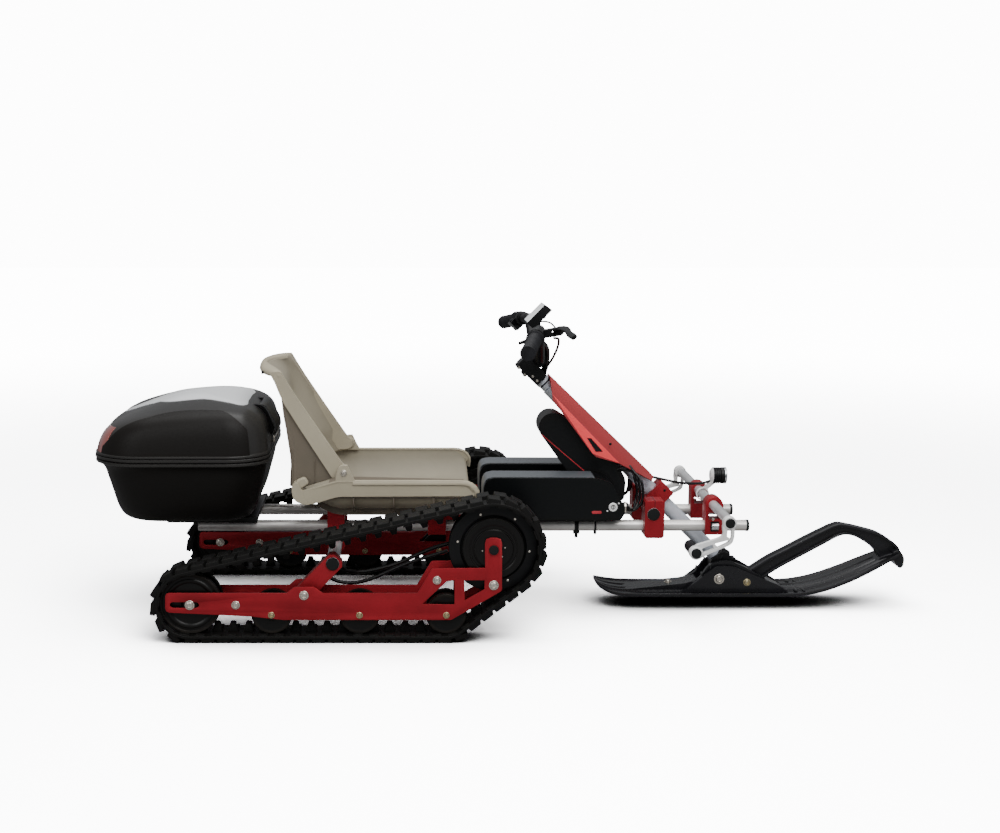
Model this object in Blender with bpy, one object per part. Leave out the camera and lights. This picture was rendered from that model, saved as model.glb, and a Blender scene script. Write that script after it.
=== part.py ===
"""Snow kart: an electric kart on two rubber tracks and one steered ski.

Metres. +X points forwards, to the ski, +Y to the rider's left and +Z up. The origin is on
the snow, under the middle of the kart's length and width.
"""

import math

import bmesh
import bpy
from mathutils import Matrix, Vector

RIGHT = -1
LEFT = 1
SIDES = {"right": RIGHT, "left": LEFT}

# Clearances
GAP = 0.0003
RUN_GAP = 0.0008
BORE_GAP = 0.0005

# Rubber belt
BELT_WIDTH = 0.090
BELT_CARCASS = 0.007
LUG_HEIGHT = 0.008
LUG_LENGTH = 0.027
LUG_PITCH = 0.0333
LUG_TAPER = 0.002
GUIDE_WIDTH = 0.018
GUIDE_HEIGHT = 0.022
GUIDE_TAPER = 0.008
GUIDE_SIDE_GAP = 0.002

# Track module
TRACK_CENTRE_Y = 0.290
PLATE_OUT = 0.036
PLATE_THICKNESS = 0.005
IDLER_X = -0.686
BOGIE_X = {"rear": -0.514, "middle": -0.328, "front": -0.145}
DRIVE_X = -0.046
DRIVE_Z = 0.200
IDLER_RADIUS = 0.0652
BOGIE_RADIUS = 0.0432
DRIVE_RADIUS = 0.0937
DISC_WIDTH = 0.016
DRIVE_DISC_WIDTH = 0.005
WHEEL_END_PLAY = 0.002
CHANNEL_DEPTH_GAP = 0.003
MOTOR_RADIUS = 0.066
MOTOR_HALF_WIDTH = 0.027
MOTOR_COVER_RADIUS = 0.042
BELT_STACK = BELT_CARCASS + LUG_HEIGHT
IDLER_Z = BELT_STACK + RUN_GAP + IDLER_RADIUS
BOGIE_Z = BELT_STACK + RUN_GAP + BOGIE_RADIUS

# Studs, bolts and their heads
STUD_RADIUS = 0.005
HEAD_RADIUS = 0.0085
HEAD_HEIGHT = 0.004
MOTOR_AXLE_RADIUS = 0.006
PIVOT_RADIUS = 0.006
SLOT_HALF_LENGTH = 0.031
SLOT_HALF_HEIGHT = 0.0065
STUD_SIDES = 8

# Track pivot, arm and rear cross tube
PIVOT_X = -0.445
PIVOT_Z = 0.102
REAR_TUBE_X = -0.385
REAR_TUBE_Z = 0.165
CROSS_TUBE_RADIUS = 0.014
REAR_TUBE_HALF_LENGTH = 0.309
ARM_WIDTH = 0.038
ARM_THICKNESS = 0.030
ARM_END = 0.017

# Rails
RAIL_Y = 0.087
RAIL_Z = 0.200
RAIL_RADIUS = 0.0125
RAIL_REAR_X = -0.694
RAIL_FRONT_X = 0.540
RAIL_PLUG_LENGTH = 0.006

# Clamp blocks
CLAMP_WIDTH = 0.040
REAR_CLAMP_LENGTH = 0.038
CLAMP_WALL = 0.005
SEAT_BRACKET_X = -0.160
SEAT_BRACKET_PLATE = 0.008
FRONT_TUBE_X = 0.317
FRONT_TUBE_Z = 0.231
FRONT_TUBE_HALF_LENGTH = 0.126
FRONT_CLAMP_LENGTH = 0.046
FRONT_CLAMP_INNER_Y = 0.062
FRONT_CLAMP_OUTER_Y = 0.118
FRONT_CLAMP_TOP = 0.030
FRONT_CLAMP_BOTTOM = 0.023

# Steering column, measured along (s) and square to (n) its 45 degree axis
COLUMN_X = 0.2985
COLUMN_Z = 0.2985
COLUMN_RAKE = math.radians(45)
HEAD_TUBE_RADIUS = 0.017
HEAD_TUBE_FROM = -0.2864
HEAD_TUBE_TO = 0.2312
STEERER_RADIUS = 0.012
STEERER_TOP = -0.345
COLUMN_CLAMP_HALF_LENGTH = 0.020
COLUMN_CLAMP_TOP = 0.030
COLUMN_CLAMP_BOTTOM = 0.054
COLUMN_CLAMP_HALF_WIDTH = 0.026
STEM_FROM = -0.377
STEM_TO = -0.312
STEM_HALF_THICKNESS = 0.0165
STEM_HALF_WIDTH = 0.025
BAR_S = -0.352
BAR_N = 0.0275
BAR_CLAMP_RADIUS = 0.0185

# Handlebar and its controls, along the straight end from the grip's inner end
BAR_RADIUS = 0.0111
BAR_SHOULDER_Y = 0.052
BAR_BEND_REACH = 0.014
BAR_BEND_Y = 0.150
GRIP_INNER = Vector((0.0415, 0.240, 0.6345))
GRIP_OUTER = Vector((0.0175, 0.355, 0.6175))
GRIP_RADIUS = 0.016
GRIP_FLANGE_RADIUS = 0.0195
GRIP_FLANGE = 0.004
GRIP_END_WALL = 0.004
THROTTLE_WIDTH = 0.012
THROTTLE_RADIUS = 0.0155
THROTTLE_REACH = 0.037
HOUSING_WIDTH = 0.012
HOUSING_RADIUS = 0.0185
PERCH_AT = -0.040
PERCH_WIDTH = 0.014
PERCH_RADIUS = 0.0165
LEVER_TILT = math.radians(-12)
LEVER_PIVOT_FORWARD = 0.044
LEVER_PIN_RADIUS = 0.003
LEVER_THICKNESS = 0.008
LEVER_TIP = Vector((0.088, 0.088))
POD_AT = -0.016
POD_WIDTH = 0.026
BUTTON_RADIUS = 0.006
BUTTON_TRAVEL = 0.0015
BUTTON_FROM_EDGE = 0.0087

# Seat
SEAT_HINGE_X = -0.364
SEAT_HINGE_Z = 0.342
SEAT_HALF_WIDTH = 0.212
SEAT_SIDE_THICKNESS = 0.022
SEAT_RIM_Z = 0.3255
SEAT_FLOOR_Z = 0.2445
SEAT_FLOOR_HALF_WIDTH = 0.150
SEAT_WALL = 0.008
SEAT_FRONT_X = -0.072
SEAT_EAR_RADIUS = 0.020
SEAT_WING_GAP = 0.002
SEAT_WING_THICKNESS = 0.012
SEAT_BOLT_RADIUS = 0.005
SEAT_BOLT_HEAD = 0.009

# Top case and its rack
CASE_REAR_X = -0.916
CASE_FRONT_X = -0.527
CASE_HALF_WIDTH = 0.250
CASE_SEAM_Z = 0.378
CASE_WALL = 0.005
CASE_TOP_Z = 0.504
RACK_THICKNESS = 0.014
RACK_REAR_X = -0.760
RACK_FRONT_X = -0.560
RACK_HALF_WIDTH = 0.120
LATCH_HALF_WIDTH = 0.055

# Batteries, controller and front panel
BATTERY_REAR_X = -0.060
BATTERY_FRONT_X = 0.271
BATTERY_WIDTH = 0.090
BATTERY_TOP_Z = 0.331
BATTERY_FOOT = 0.008
BATTERY_FOOT_WIDTH = 0.040
CONTROLLER_HALF_WIDTH = 0.040
PANEL_THICKNESS = 0.0025
PANEL_STUD_RADIUS = 0.006

# Foot rests and headlight
FOOT_BAR_X = 0.459
FOOT_BAR_Z = 0.249
FOOT_BAR_RADIUS = 0.0105
FOOT_BAR_HALF_LENGTH = 0.304
FOOT_BRACKET_HALF_LENGTH = 0.0195
FOOT_ARM_OUTER_Y = 0.300
FOOT_ARM_THICKNESS = 0.012
FOOT_ARM_RING = 0.0185
PEG_X = 0.383
PEG_Z = 0.187
PEG_RADIUS = 0.011
PEG_LENGTH = 0.078
LAMP_X = 0.468
LAMP_Y = 0.020
LAMP_Z = 0.296
LAMP_RADIUS = 0.019
LAMP_LENGTH = 0.036

# Ski
SKI_PIVOT_X = 0.487
SKI_PIVOT_Z = 0.065
SKI_PIN_RADIUS = 0.008
SADDLE_INNER_Y = 0.036
SADDLE_THICKNESS = 0.008
SPINDLE_HALF_WIDTH = 0.0355
LOOP_HALF_WIDTH = 0.017
SKI_KEEL = 0.006
SKI_KEEL_HALF_WIDTH = 0.012
SKI_EDGE_IN = 0.016

# Cords
MOTOR_CABLE_RADIUS = 0.0045
LIGHT_CABLE_RADIUS = 0.0025
BRAKE_CABLE_RADIUS = 0.0025

FINISHES = {
    "red_alloy": ("8A171C", 0.35, 0.7),
    "panel_red": ("C4473F", 0.35, 0.3),
    "bright_alloy": ("C6C8CA", 0.25, 1.0),
    "black_rubber": ("141210", 0.8, 0.0),
    "black_plastic": ("17130F", 0.5, 0.0),
    "gloss_plastic": ("0E0E10", 0.25, 0.0),
    "seat_plastic": ("A39C8A", 0.6, 0.0),
}


def channel_value(value):
    """Linear value of one 0 to 1 sRGB channel."""
    if value <= 0.04045:
        return value / 12.92
    return ((value + 0.055) / 1.055) ** 2.4


def finish(name):
    """The named material, made once."""
    if name in bpy.data.materials:
        return bpy.data.materials[name]
    colour, roughness, metallic = FINISHES[name]
    red, green, blue = (channel_value(int(colour[i:i + 2], 16) / 255) for i in (0, 2, 4))
    material = bpy.data.materials.new(name)
    material.use_nodes = True
    shader = material.node_tree.nodes["Principled BSDF"]
    shader.inputs["Base Color"].default_value = (red, green, blue, 1.0)
    shader.inputs["Roughness"].default_value = roughness
    shader.inputs["Metallic"].default_value = metallic
    return material


def object_from(bm, name):
    """Object made from a bmesh, with its faces pointing out."""
    bmesh.ops.recalc_face_normals(bm, faces=bm.faces)
    if bm.calc_volume(signed=True) < 0:
        bmesh.ops.reverse_faces(bm, faces=bm.faces)
    mesh = bpy.data.meshes.new(name)
    bm.to_mesh(mesh)
    bm.free()
    made = bpy.data.objects.new(name, mesh)
    bpy.context.collection.objects.link(made)
    return made


def bake(item):
    """Replace an object's mesh with what its modifiers make of it."""
    graph = bpy.context.evaluated_depsgraph_get()
    mesh = bpy.data.meshes.new_from_object(item.evaluated_get(graph))
    item.modifiers.clear()
    item.data = mesh


def combine(base, tools, operation):
    """Boolean of one object with others, which are used up."""
    for tool in tools:
        modifier = base.modifiers.new(operation.lower(), "BOOLEAN")
        modifier.operation = operation
        modifier.object = tool
    bake(base)
    for tool in tools:
        bpy.data.objects.remove(tool)
    return base


def cut(base, *tools):
    return combine(base, tools, "DIFFERENCE")


def fuse(base, *tools):
    return combine(base, tools, "UNION")


def finished(item, name, material, smooth=True):
    """Name an object, give it its material and shade its round faces smooth."""
    item.name = name
    item.data.name = name
    item.data.materials.clear()
    item.data.materials.append(finish(material))
    if smooth and item.type == "MESH":
        item.data.shade_smooth()
        item.data.set_sharp_from_angle(angle=math.radians(32))
    return item


def origin_at(item, x, y, z):
    """Move an object's origin to a point on its joint's axis, its shape staying put."""
    point = Vector((x, y, z))
    item.data.transform(Matrix.Translation(-point))
    item.location = point
    return item


def empty_at(name, x, y, z):
    guide = bpy.data.objects.new(name, None)
    guide.location = (x, y, z)
    bpy.context.collection.objects.link(guide)
    return guide


def carry(parent, *items):
    """Parent objects without moving them."""
    bpy.context.view_layer.update()
    for item in items:
        item.parent = parent
        item.matrix_parent_inverse = parent.matrix_world.inverted()


def arc(x, z, radius, from_degrees, to_degrees, steps):
    """Points on an arc in the kart's side view."""
    points = []
    for step in range(steps + 1):
        angle = math.radians(from_degrees + (to_degrees - from_degrees) * step / steps)
        points.append((x + radius * math.cos(angle), z + radius * math.sin(angle)))
    return points


def rounded(corners, steps=2):
    """Outline through (x, z) corners, each (x, z, radius) corner rounded."""
    points = []
    count = len(corners)
    for index, corner in enumerate(corners):
        here = Vector(corner[:2])
        radius = corner[2] if len(corner) > 2 else 0.0
        if radius == 0.0:
            points.append(tuple(here))
            continue
        before = Vector(corners[index - 1][:2]) - here
        after = Vector(corners[(index + 1) % count][:2]) - here
        half_angle = before.angle(after) / 2
        reach = min(radius / math.tan(half_angle), before.length * 0.48, after.length * 0.48)
        first = here + before.normalized() * reach
        last = here + after.normalized() * reach
        for step in range(steps + 1):
            t = step / steps
            point = first * (1 - t) ** 2 + here * 2 * t * (1 - t) + last * t ** 2
            points.append(tuple(point))
    return points


def slab(outline, y_from, y_to):
    """Solid with a side-view outline, between two planes across the kart."""
    bm = bmesh.new()
    face = bm.faces.new([bm.verts.new((x, y_from, z)) for x, z in outline])
    grown = bmesh.ops.extrude_face_region(bm, geom=[face])
    moved = [item for item in grown["geom"] if isinstance(item, bmesh.types.BMVert)]
    bmesh.ops.translate(bm, verts=moved, vec=(0, y_to - y_from, 0))
    return object_from(bm, "slab")


def box(x_from, x_to, y_from, y_to, z_from, z_to):
    return slab([(x_from, z_from), (x_to, z_from), (x_to, z_to), (x_from, z_to)], y_from, y_to)


def lengthwise(section, x_from, x_to):
    """Solid with a front-view (y, z) section, along the kart."""
    bm = bmesh.new()
    face = bm.faces.new([bm.verts.new((x_from, y, z)) for y, z in section])
    grown = bmesh.ops.extrude_face_region(bm, geom=[face])
    moved = [item for item in grown["geom"] if isinstance(item, bmesh.types.BMVert)]
    bmesh.ops.translate(bm, verts=moved, vec=(x_to - x_from, 0, 0))
    return object_from(bm, "section")


def frame_along(start, direction):
    """Matrix whose Z axis runs from a start along a direction."""
    turn = Vector(direction).to_track_quat("Z", "Y").to_matrix().to_4x4()
    return Matrix.Translation(start) @ turn


def rod(start, end, radius, sides=16):
    """Round bar between two points."""
    start = Vector(start)
    direction = Vector(end) - start
    bm = bmesh.new()
    bmesh.ops.create_cone(
        bm, cap_ends=True, segments=sides, radius1=radius, radius2=radius,
        depth=direction.length, matrix=Matrix.Translation((0, 0, direction.length / 2)))
    bm.transform(frame_along(start, direction))
    return object_from(bm, "rod")


def turned(profile, sides, frame, closed=False):
    """Solid turned about Z from (radius, height) points, placed by a frame."""
    bm = bmesh.new()
    line = [bm.verts.new((radius, 0, height)) for radius, height in profile]
    edges = [bm.edges.new(pair) for pair in zip(line, line[1:])]
    if closed:
        edges.append(bm.edges.new((line[-1], line[0])))
    bmesh.ops.spin(bm, geom=line + edges, cent=(0, 0, 0), axis=(0, 0, 1),
                   angle=math.tau, steps=sides, use_merge=True)
    bmesh.ops.remove_doubles(bm, verts=bm.verts, dist=1e-6)
    bm.transform(frame)
    return object_from(bm, "turned")


def bore(shaft, sides, gap=GAP):
    """Corner radius of a faceted hole whose flats clear a shaft's radius by a gap."""
    return (shaft + gap) / math.cos(math.pi / sides)


def across(x, y, z):
    """Frame whose Z axis points to the rider's left."""
    return frame_along((x, y, z), (0, 1, 0))


def loft(rings):
    """Closed solid through rings of equally many points, flat at both ends."""
    bm = bmesh.new()
    rows = [[bm.verts.new(point) for point in ring] for ring in rings]
    count = len(rows[0])
    for lower, upper in zip(rows, rows[1:]):
        for i in range(count):
            j = (i + 1) % count
            bm.faces.new((lower[i], lower[j], upper[j], upper[i]))
    bm.faces.new(rows[0])
    bm.faces.new(rows[-1])
    return object_from(bm, "loft")


def smooth_route(points, spacing):
    """Evenly spaced points on a smooth curve through a route's own points."""
    knots = [Vector(point) for point in points]
    knots = [2 * knots[0] - knots[1]] + knots + [2 * knots[-1] - knots[-2]]
    route = []
    for a, b, c, d in zip(knots, knots[1:], knots[2:], knots[3:]):
        steps = max(1, round((c - b).length / spacing))
        for step in range(steps):
            t = step / steps
            route.append(0.5 * (2 * b + (c - a) * t + (2 * a - 5 * b + 4 * c - d) * t ** 2
                                + (3 * b - a - 3 * c + d) * t ** 3))
    route.append(knots[-2])
    return route


def swept(points, radius, resolution):
    """Curve object with a round bevel and filled caps along a route."""
    curve = bpy.data.curves.new("route", "CURVE")
    curve.dimensions = "3D"
    curve.bevel_depth = radius
    curve.bevel_resolution = resolution
    curve.use_fill_caps = True
    spline = curve.splines.new("POLY")
    spline.points.add(len(points) - 1)
    for target, point in zip(spline.points, points):
        target.co = (*point, 1.0)
    made = bpy.data.objects.new("route", curve)
    bpy.context.collection.objects.link(made)
    return made


def as_mesh(item):
    """Mesh object with the shape of a curve object, which is used up."""
    graph = bpy.context.evaluated_depsgraph_get()
    mesh = bpy.data.meshes.new_from_object(item.evaluated_get(graph))
    made = bpy.data.objects.new(item.name, mesh)
    bpy.context.collection.objects.link(made)
    bpy.data.objects.remove(item)
    return made


def on_column(s, n):
    """Side-view point at s down the steering axis and n in front of it."""
    x = COLUMN_X + s * math.sin(COLUMN_RAKE) + n * math.cos(COLUMN_RAKE)
    z = COLUMN_Z - s * math.cos(COLUMN_RAKE) + n * math.sin(COLUMN_RAKE)
    return x, z


def column_point(s, n, y=0.0):
    x, z = on_column(s, n)
    return Vector((x, y, z))


def column_slab(outline, y_from, y_to):
    """Slab whose outline is given in (s, n) of the steering column."""
    return slab([on_column(s, n) for s, n in outline], y_from, y_to)


# Belt


def belt_runs():
    """The belt's inner path as arcs and straight runs, in the order that it is walked."""
    wheels = [
        (Vector((IDLER_X, IDLER_Z)), IDLER_RADIUS + RUN_GAP),
        (Vector((BOGIE_X["front"], BOGIE_Z)), BOGIE_RADIUS + RUN_GAP),
        (Vector((DRIVE_X, DRIVE_Z)), DRIVE_RADIUS + RUN_GAP),
    ]
    leaving = []
    for index, (centre, radius) in enumerate(wheels):
        next_centre, next_radius = wheels[(index + 1) % len(wheels)]
        step = next_centre - centre
        lead = math.atan2(step.y, step.x)
        leaving.append(lead - math.acos((radius - next_radius) / step.length))
    runs = []
    for index, (centre, radius) in enumerate(wheels):
        angle_in = leaving[index - 1]
        angle_out = leaving[index]
        while angle_out < angle_in:
            angle_out += math.tau
        runs.append(("arc", centre, radius, angle_in, angle_out, radius * (angle_out - angle_in)))
        next_centre, next_radius = wheels[(index + 1) % len(wheels)]
        outward = Vector((math.cos(angle_out), math.sin(angle_out)))
        start = centre + outward * radius
        end = next_centre + outward * next_radius
        runs.append(("line", start, end, outward, None, (end - start).length))
    return runs


def belt_station(runs, distance):
    """Point, outward direction and whether it is on a bend, at a distance along the belt."""
    total = sum(run[-1] for run in runs)
    distance %= total
    for run in runs:
        if distance <= run[-1]:
            break
        distance -= run[-1]
    if run[0] == "arc":
        centre, radius, angle_in = run[1:4]
        angle = angle_in + distance / radius
        outward = Vector((math.cos(angle), math.sin(angle)))
        return centre + outward * radius, outward, True
    start, end, outward = run[1:4]
    length = run[-1]
    return start.lerp(end, distance / length), outward, False


def raised_block(bm, rows, directions, height, taper):
    """Raise a tapered block from rows of (right, left) vertices along the belt."""
    middle = sum((row[0].co for row in rows), Vector()) / len(rows)
    along = (rows[-1][0].co - rows[0][0].co).normalized()
    tops = []
    for row, direction in zip(rows, directions):
        offset = (row[0].co - middle).dot(along)
        length = (rows[-1][0].co - rows[0][0].co).length
        shift = direction * height - along * (2 * offset / length) * taper
        tops.append([bm.verts.new(vertex.co + shift) for vertex in row])
    for (a, b), (c, d), (e, f), (g, h) in zip(rows, rows[1:], tops, tops[1:]):
        bm.faces.new((e, f, h, g))
        bm.faces.new((a, e, g, c))
        bm.faces.new((b, d, h, f))
    bm.faces.new((rows[0][0], rows[0][1], tops[0][1], tops[0][0]))
    bm.faces.new((rows[-1][0], tops[-1][0], tops[-1][1], rows[-1][1]))


def belt(side):
    """Rubber belt with its outer lugs and inner guide teeth, one per pitch."""
    runs = belt_runs()
    total = sum(run[-1] for run in runs)
    count = round(total / LUG_PITCH)
    pitch = total / count
    centre_y = side * TRACK_CENTRE_Y
    half = BELT_WIDTH / 2
    guide = GUIDE_WIDTH / 2
    bm = bmesh.new()
    outer, inner, outward = [], [], []
    blocks = []
    for index in range(count):
        start = index * pitch
        bends = [belt_station(runs, start + share * LUG_LENGTH)[2] for share in (0, 0.5, 1)]
        shares = (0, 0.5, 1) if any(bends) else (0, 1)
        block = []
        for share in shares:
            point, direction, _ = belt_station(runs, start + share * LUG_LENGTH)
            out = Vector((direction.x, 0, direction.y))
            base = Vector((point.x, centre_y, point.y))
            block.append(len(outer))
            outer.append([bm.verts.new(base + out * BELT_CARCASS + Vector((0, y, 0)))
                          for y in (-half, half)])
            inner.append([bm.verts.new(base + Vector((0, y, 0)))
                          for y in (-half, -guide, guide, half)])
            outward.append(out)
        blocks.append(block)
    lugged = {station for block in blocks for station in block[:-1]}
    rows = len(outer)
    for i in range(rows):
        j = (i + 1) % rows
        bm.faces.new((outer[i][0], inner[i][0], inner[j][0], outer[j][0]))
        bm.faces.new((outer[i][1], outer[j][1], inner[j][3], inner[i][3]))
        bm.faces.new((inner[i][0], inner[i][1], inner[j][1], inner[j][0]))
        bm.faces.new((inner[i][2], inner[i][3], inner[j][3], inner[j][2]))
        if i not in lugged:
            bm.faces.new((outer[i][0], outer[j][0], outer[j][1], outer[i][1]))
            bm.faces.new((inner[i][1], inner[i][2], inner[j][2], inner[j][1]))
    for block in blocks:
        directions = [outward[i] for i in block]
        raised_block(bm, [outer[i] for i in block], directions, LUG_HEIGHT, LUG_TAPER)
        raised_block(bm, [inner[i][1:3] for i in block], [-d for d in directions],
                     GUIDE_HEIGHT, GUIDE_TAPER)
    return object_from(bm, "belt")


# Track module


def plate_outline():
    low = BOGIE_Z - 0.0105
    bar_top = IDLER_Z + 0.026
    front = BOGIE_X["front"]
    return rounded([
        (IDLER_X - 0.051, bar_top, 0.008),
        (IDLER_X - 0.052, IDLER_Z - 0.016, 0.010),
        (BOGIE_X["rear"] - 0.042, low + 0.0075),
        (BOGIE_X["rear"] + 0.026, low),
        (front + 0.010, low, 0.008),
        (DRIVE_X + 0.018, DRIVE_Z - 0.088, 0.008),
        (DRIVE_X + 0.017, DRIVE_Z + 0.026, 0.012),
        (DRIVE_X - 0.019, DRIVE_Z + 0.026, 0.012),
        (DRIVE_X - 0.018, DRIVE_Z - 0.039),
        (front - 0.030, DRIVE_Z - 0.040, 0.006),
        (front - 0.061, bar_top),
        (PIVOT_X + 0.040, bar_top),
        (PIVOT_X + 0.021, PIVOT_Z + 0.018, 0.004),
        (PIVOT_X - 0.020, PIVOT_Z + 0.018, 0.004),
        (PIVOT_X - 0.036, bar_top),
    ])


def spacer_bolts():
    """Plain bolts that hold the two plates apart."""
    return [(IDLER_X + 0.097, IDLER_Z), (BOGIE_X["front"] - 0.020, BOGIE_Z + 0.076)]


def wheel_studs():
    """Side-view place and shaft radius of each stud through the plates."""
    studs = [(IDLER_X, IDLER_Z, STUD_RADIUS)]
    studs += [(x, BOGIE_Z, STUD_RADIUS) for x in BOGIE_X.values()]
    studs += [(x, z, STUD_RADIUS) for x, z in spacer_bolts()]
    studs.append((PIVOT_X, PIVOT_Z, PIVOT_RADIUS))
    studs.append((DRIVE_X, DRIVE_Z, MOTOR_AXLE_RADIUS))
    return studs


def plate_windows(y_from, y_to):
    """Cutters for the idler's slot and the two lightening windows."""
    front = BOGIE_X["front"]
    slot = arc(IDLER_X + SLOT_HALF_LENGTH - SLOT_HALF_HEIGHT - 0.011, IDLER_Z, SLOT_HALF_HEIGHT,
               -90, 90, 4)
    slot += arc(IDLER_X - SLOT_HALF_LENGTH + SLOT_HALF_HEIGHT - 0.011, IDLER_Z,
                SLOT_HALF_HEIGHT, 90, 270, 4)
    triangle = [(front - 0.051, BOGIE_Z + 0.024), (front + 0.017, BOGIE_Z + 0.023),
                (front + 0.017, BOGIE_Z + 0.076), (front + 0.001, BOGIE_Z + 0.074)]
    window = [(front + 0.037, DRIVE_Z - 0.065), (front + 0.039, DRIVE_Z - 0.109),
              (DRIVE_X - 0.019, DRIVE_Z - 0.085), (DRIVE_X - 0.019, DRIVE_Z - 0.065)]
    return [slab(shape, y_from, y_to) for shape in (slot, triangle, window)]


def plate_blank(side, depth_in, depth_out):
    """Plate between two depths from the track's middle, positive ones away from the kart."""
    y_from = side * (TRACK_CENTRE_Y + depth_in)
    y_to = side * (TRACK_CENTRE_Y + depth_out)
    middle = (y_from + y_to) / 2
    plate = slab(plate_outline(), y_from, y_to)
    return cut(plate, *plate_windows(middle - PLATE_THICKNESS, middle + PLATE_THICKNESS))


def stud(side, x, z, radius):
    """Bolt from the inner plate's head to a head outside the outer plate."""
    head_in = -PLATE_OUT - HEAD_HEIGHT
    face_out = PLATE_OUT + GAP
    profile = [
        (0, head_in), (HEAD_RADIUS, head_in), (HEAD_RADIUS, head_in + HEAD_HEIGHT + 0.001),
        (radius, head_in + HEAD_HEIGHT + 0.001), (radius, face_out), (HEAD_RADIUS, face_out),
        (HEAD_RADIUS, face_out + HEAD_HEIGHT), (0, face_out + HEAD_HEIGHT),
    ]
    return turned(profile, STUD_SIDES,
                  frame_along((x, side * TRACK_CENTRE_Y, z), (0, side, 0)))


def slot_washer(side):
    """Washer fixed over the inner plate's slot."""
    start = side * (TRACK_CENTRE_Y - PLATE_OUT - 0.001)
    end = side * (TRACK_CENTRE_Y - PLATE_OUT + PLATE_THICKNESS + 0.001)
    return rod((IDLER_X, start, IDLER_Z), (IDLER_X, end, IDLER_Z), SLOT_HALF_HEIGHT + 0.0045, 10)


def track_plates(side, word):
    """Inner plate with its studs, and the outer plate that they pass through."""
    outer = plate_blank(side, PLATE_OUT - PLATE_THICKNESS, PLATE_OUT)
    holes = []
    for x, z, radius in wheel_studs():
        y_mid = side * TRACK_CENTRE_Y
        holes.append(rod((x, y_mid, z), (x, y_mid + side * 0.05, z),
                         bore(radius, STUD_SIDES, BORE_GAP), STUD_SIDES))
    outer = cut(outer, *holes)
    inner = plate_blank(side, -PLATE_OUT, -PLATE_OUT + PLATE_THICKNESS)
    studs = [stud(side, x, z, radius) for x, z, radius in wheel_studs()]
    inner = fuse(inner, slot_washer(side), *studs)
    finished(outer, f"track_plate_outer_{word}", "red_alloy")
    finished(inner, f"track_plate_inner_{word}", "red_alloy")
    return outer, inner


def wheel(side, x, z, profile, axle, sides, name):
    """Wheel turned about its axle from half of its (radius, depth) profile."""
    hole = bore(axle, sides, BORE_GAP)
    outline = [(hole, -profile[0][1])] + [(radius, -depth) for radius, depth in profile]
    outline += [(radius, depth) for radius, depth in reversed(profile)] + [(hole, profile[0][1])]
    made = turned(outline, sides, across(x, side * TRACK_CENTRE_Y, z), closed=True)
    finished(made, name, "black_rubber" if "motor" not in name else "gloss_plastic")
    return origin_at(made, x, side * TRACK_CENTRE_Y, z)


def wheels(side, word):
    """Idler, three bogie wheels and the hub motor of one track."""
    disc_in = GUIDE_WIDTH / 2 + GUIDE_SIDE_GAP
    disc_out = disc_in + DISC_WIDTH
    hub = PLATE_OUT - PLATE_THICKNESS - WHEEL_END_PLAY
    idler_channel = IDLER_RADIUS - GUIDE_HEIGHT - CHANNEL_DEPTH_GAP
    idler_profile = [(0.016, hub), (0.020, disc_out - 0.004), (IDLER_RADIUS - 0.010, disc_out - 0.003),
                     (IDLER_RADIUS - 0.006, disc_out), (IDLER_RADIUS, disc_out),
                     (IDLER_RADIUS, disc_in), (idler_channel, disc_in)]
    made = [wheel(side, IDLER_X, IDLER_Z, idler_profile, STUD_RADIUS, 26, f"idler_wheel_{word}")]
    bogie_channel = BOGIE_RADIUS - GUIDE_HEIGHT - CHANNEL_DEPTH_GAP
    bogie_profile = [(0.014, hub), (BOGIE_RADIUS, disc_out), (BOGIE_RADIUS, disc_in),
                     (bogie_channel, disc_in)]
    for place, x in BOGIE_X.items():
        made.append(wheel(side, x, BOGIE_Z, bogie_profile, STUD_RADIUS, 18, f"bogie_wheel_{place}_{word}"))
    drive_out = disc_in + DRIVE_DISC_WIDTH
    drive_channel = DRIVE_RADIUS - GUIDE_HEIGHT - CHANNEL_DEPTH_GAP
    drive_profile = [(MOTOR_COVER_RADIUS, hub), (MOTOR_COVER_RADIUS, MOTOR_HALF_WIDTH),
                     (MOTOR_RADIUS, MOTOR_HALF_WIDTH), (MOTOR_RADIUS, drive_out),
                     (DRIVE_RADIUS, drive_out), (DRIVE_RADIUS, disc_in), (drive_channel, disc_in)]
    made.append(wheel(side, DRIVE_X, DRIVE_Z, drive_profile, MOTOR_AXLE_RADIUS, 30,
                      f"hub_motor_{word}"))
    return made


def track(side, word):
    """One track module, rocking on its arm's lower pin."""
    rubber = finished(belt(side), f"track_belt_{word}", "black_rubber", smooth=False)
    outer, inner = track_plates(side, word)
    rock = empty_at(f"track_rock_axis_{word}", PIVOT_X, side * TRACK_CENTRE_Y, PIVOT_Z)
    carry(rock, rubber, outer, inner, *wheels(side, word))


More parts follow.
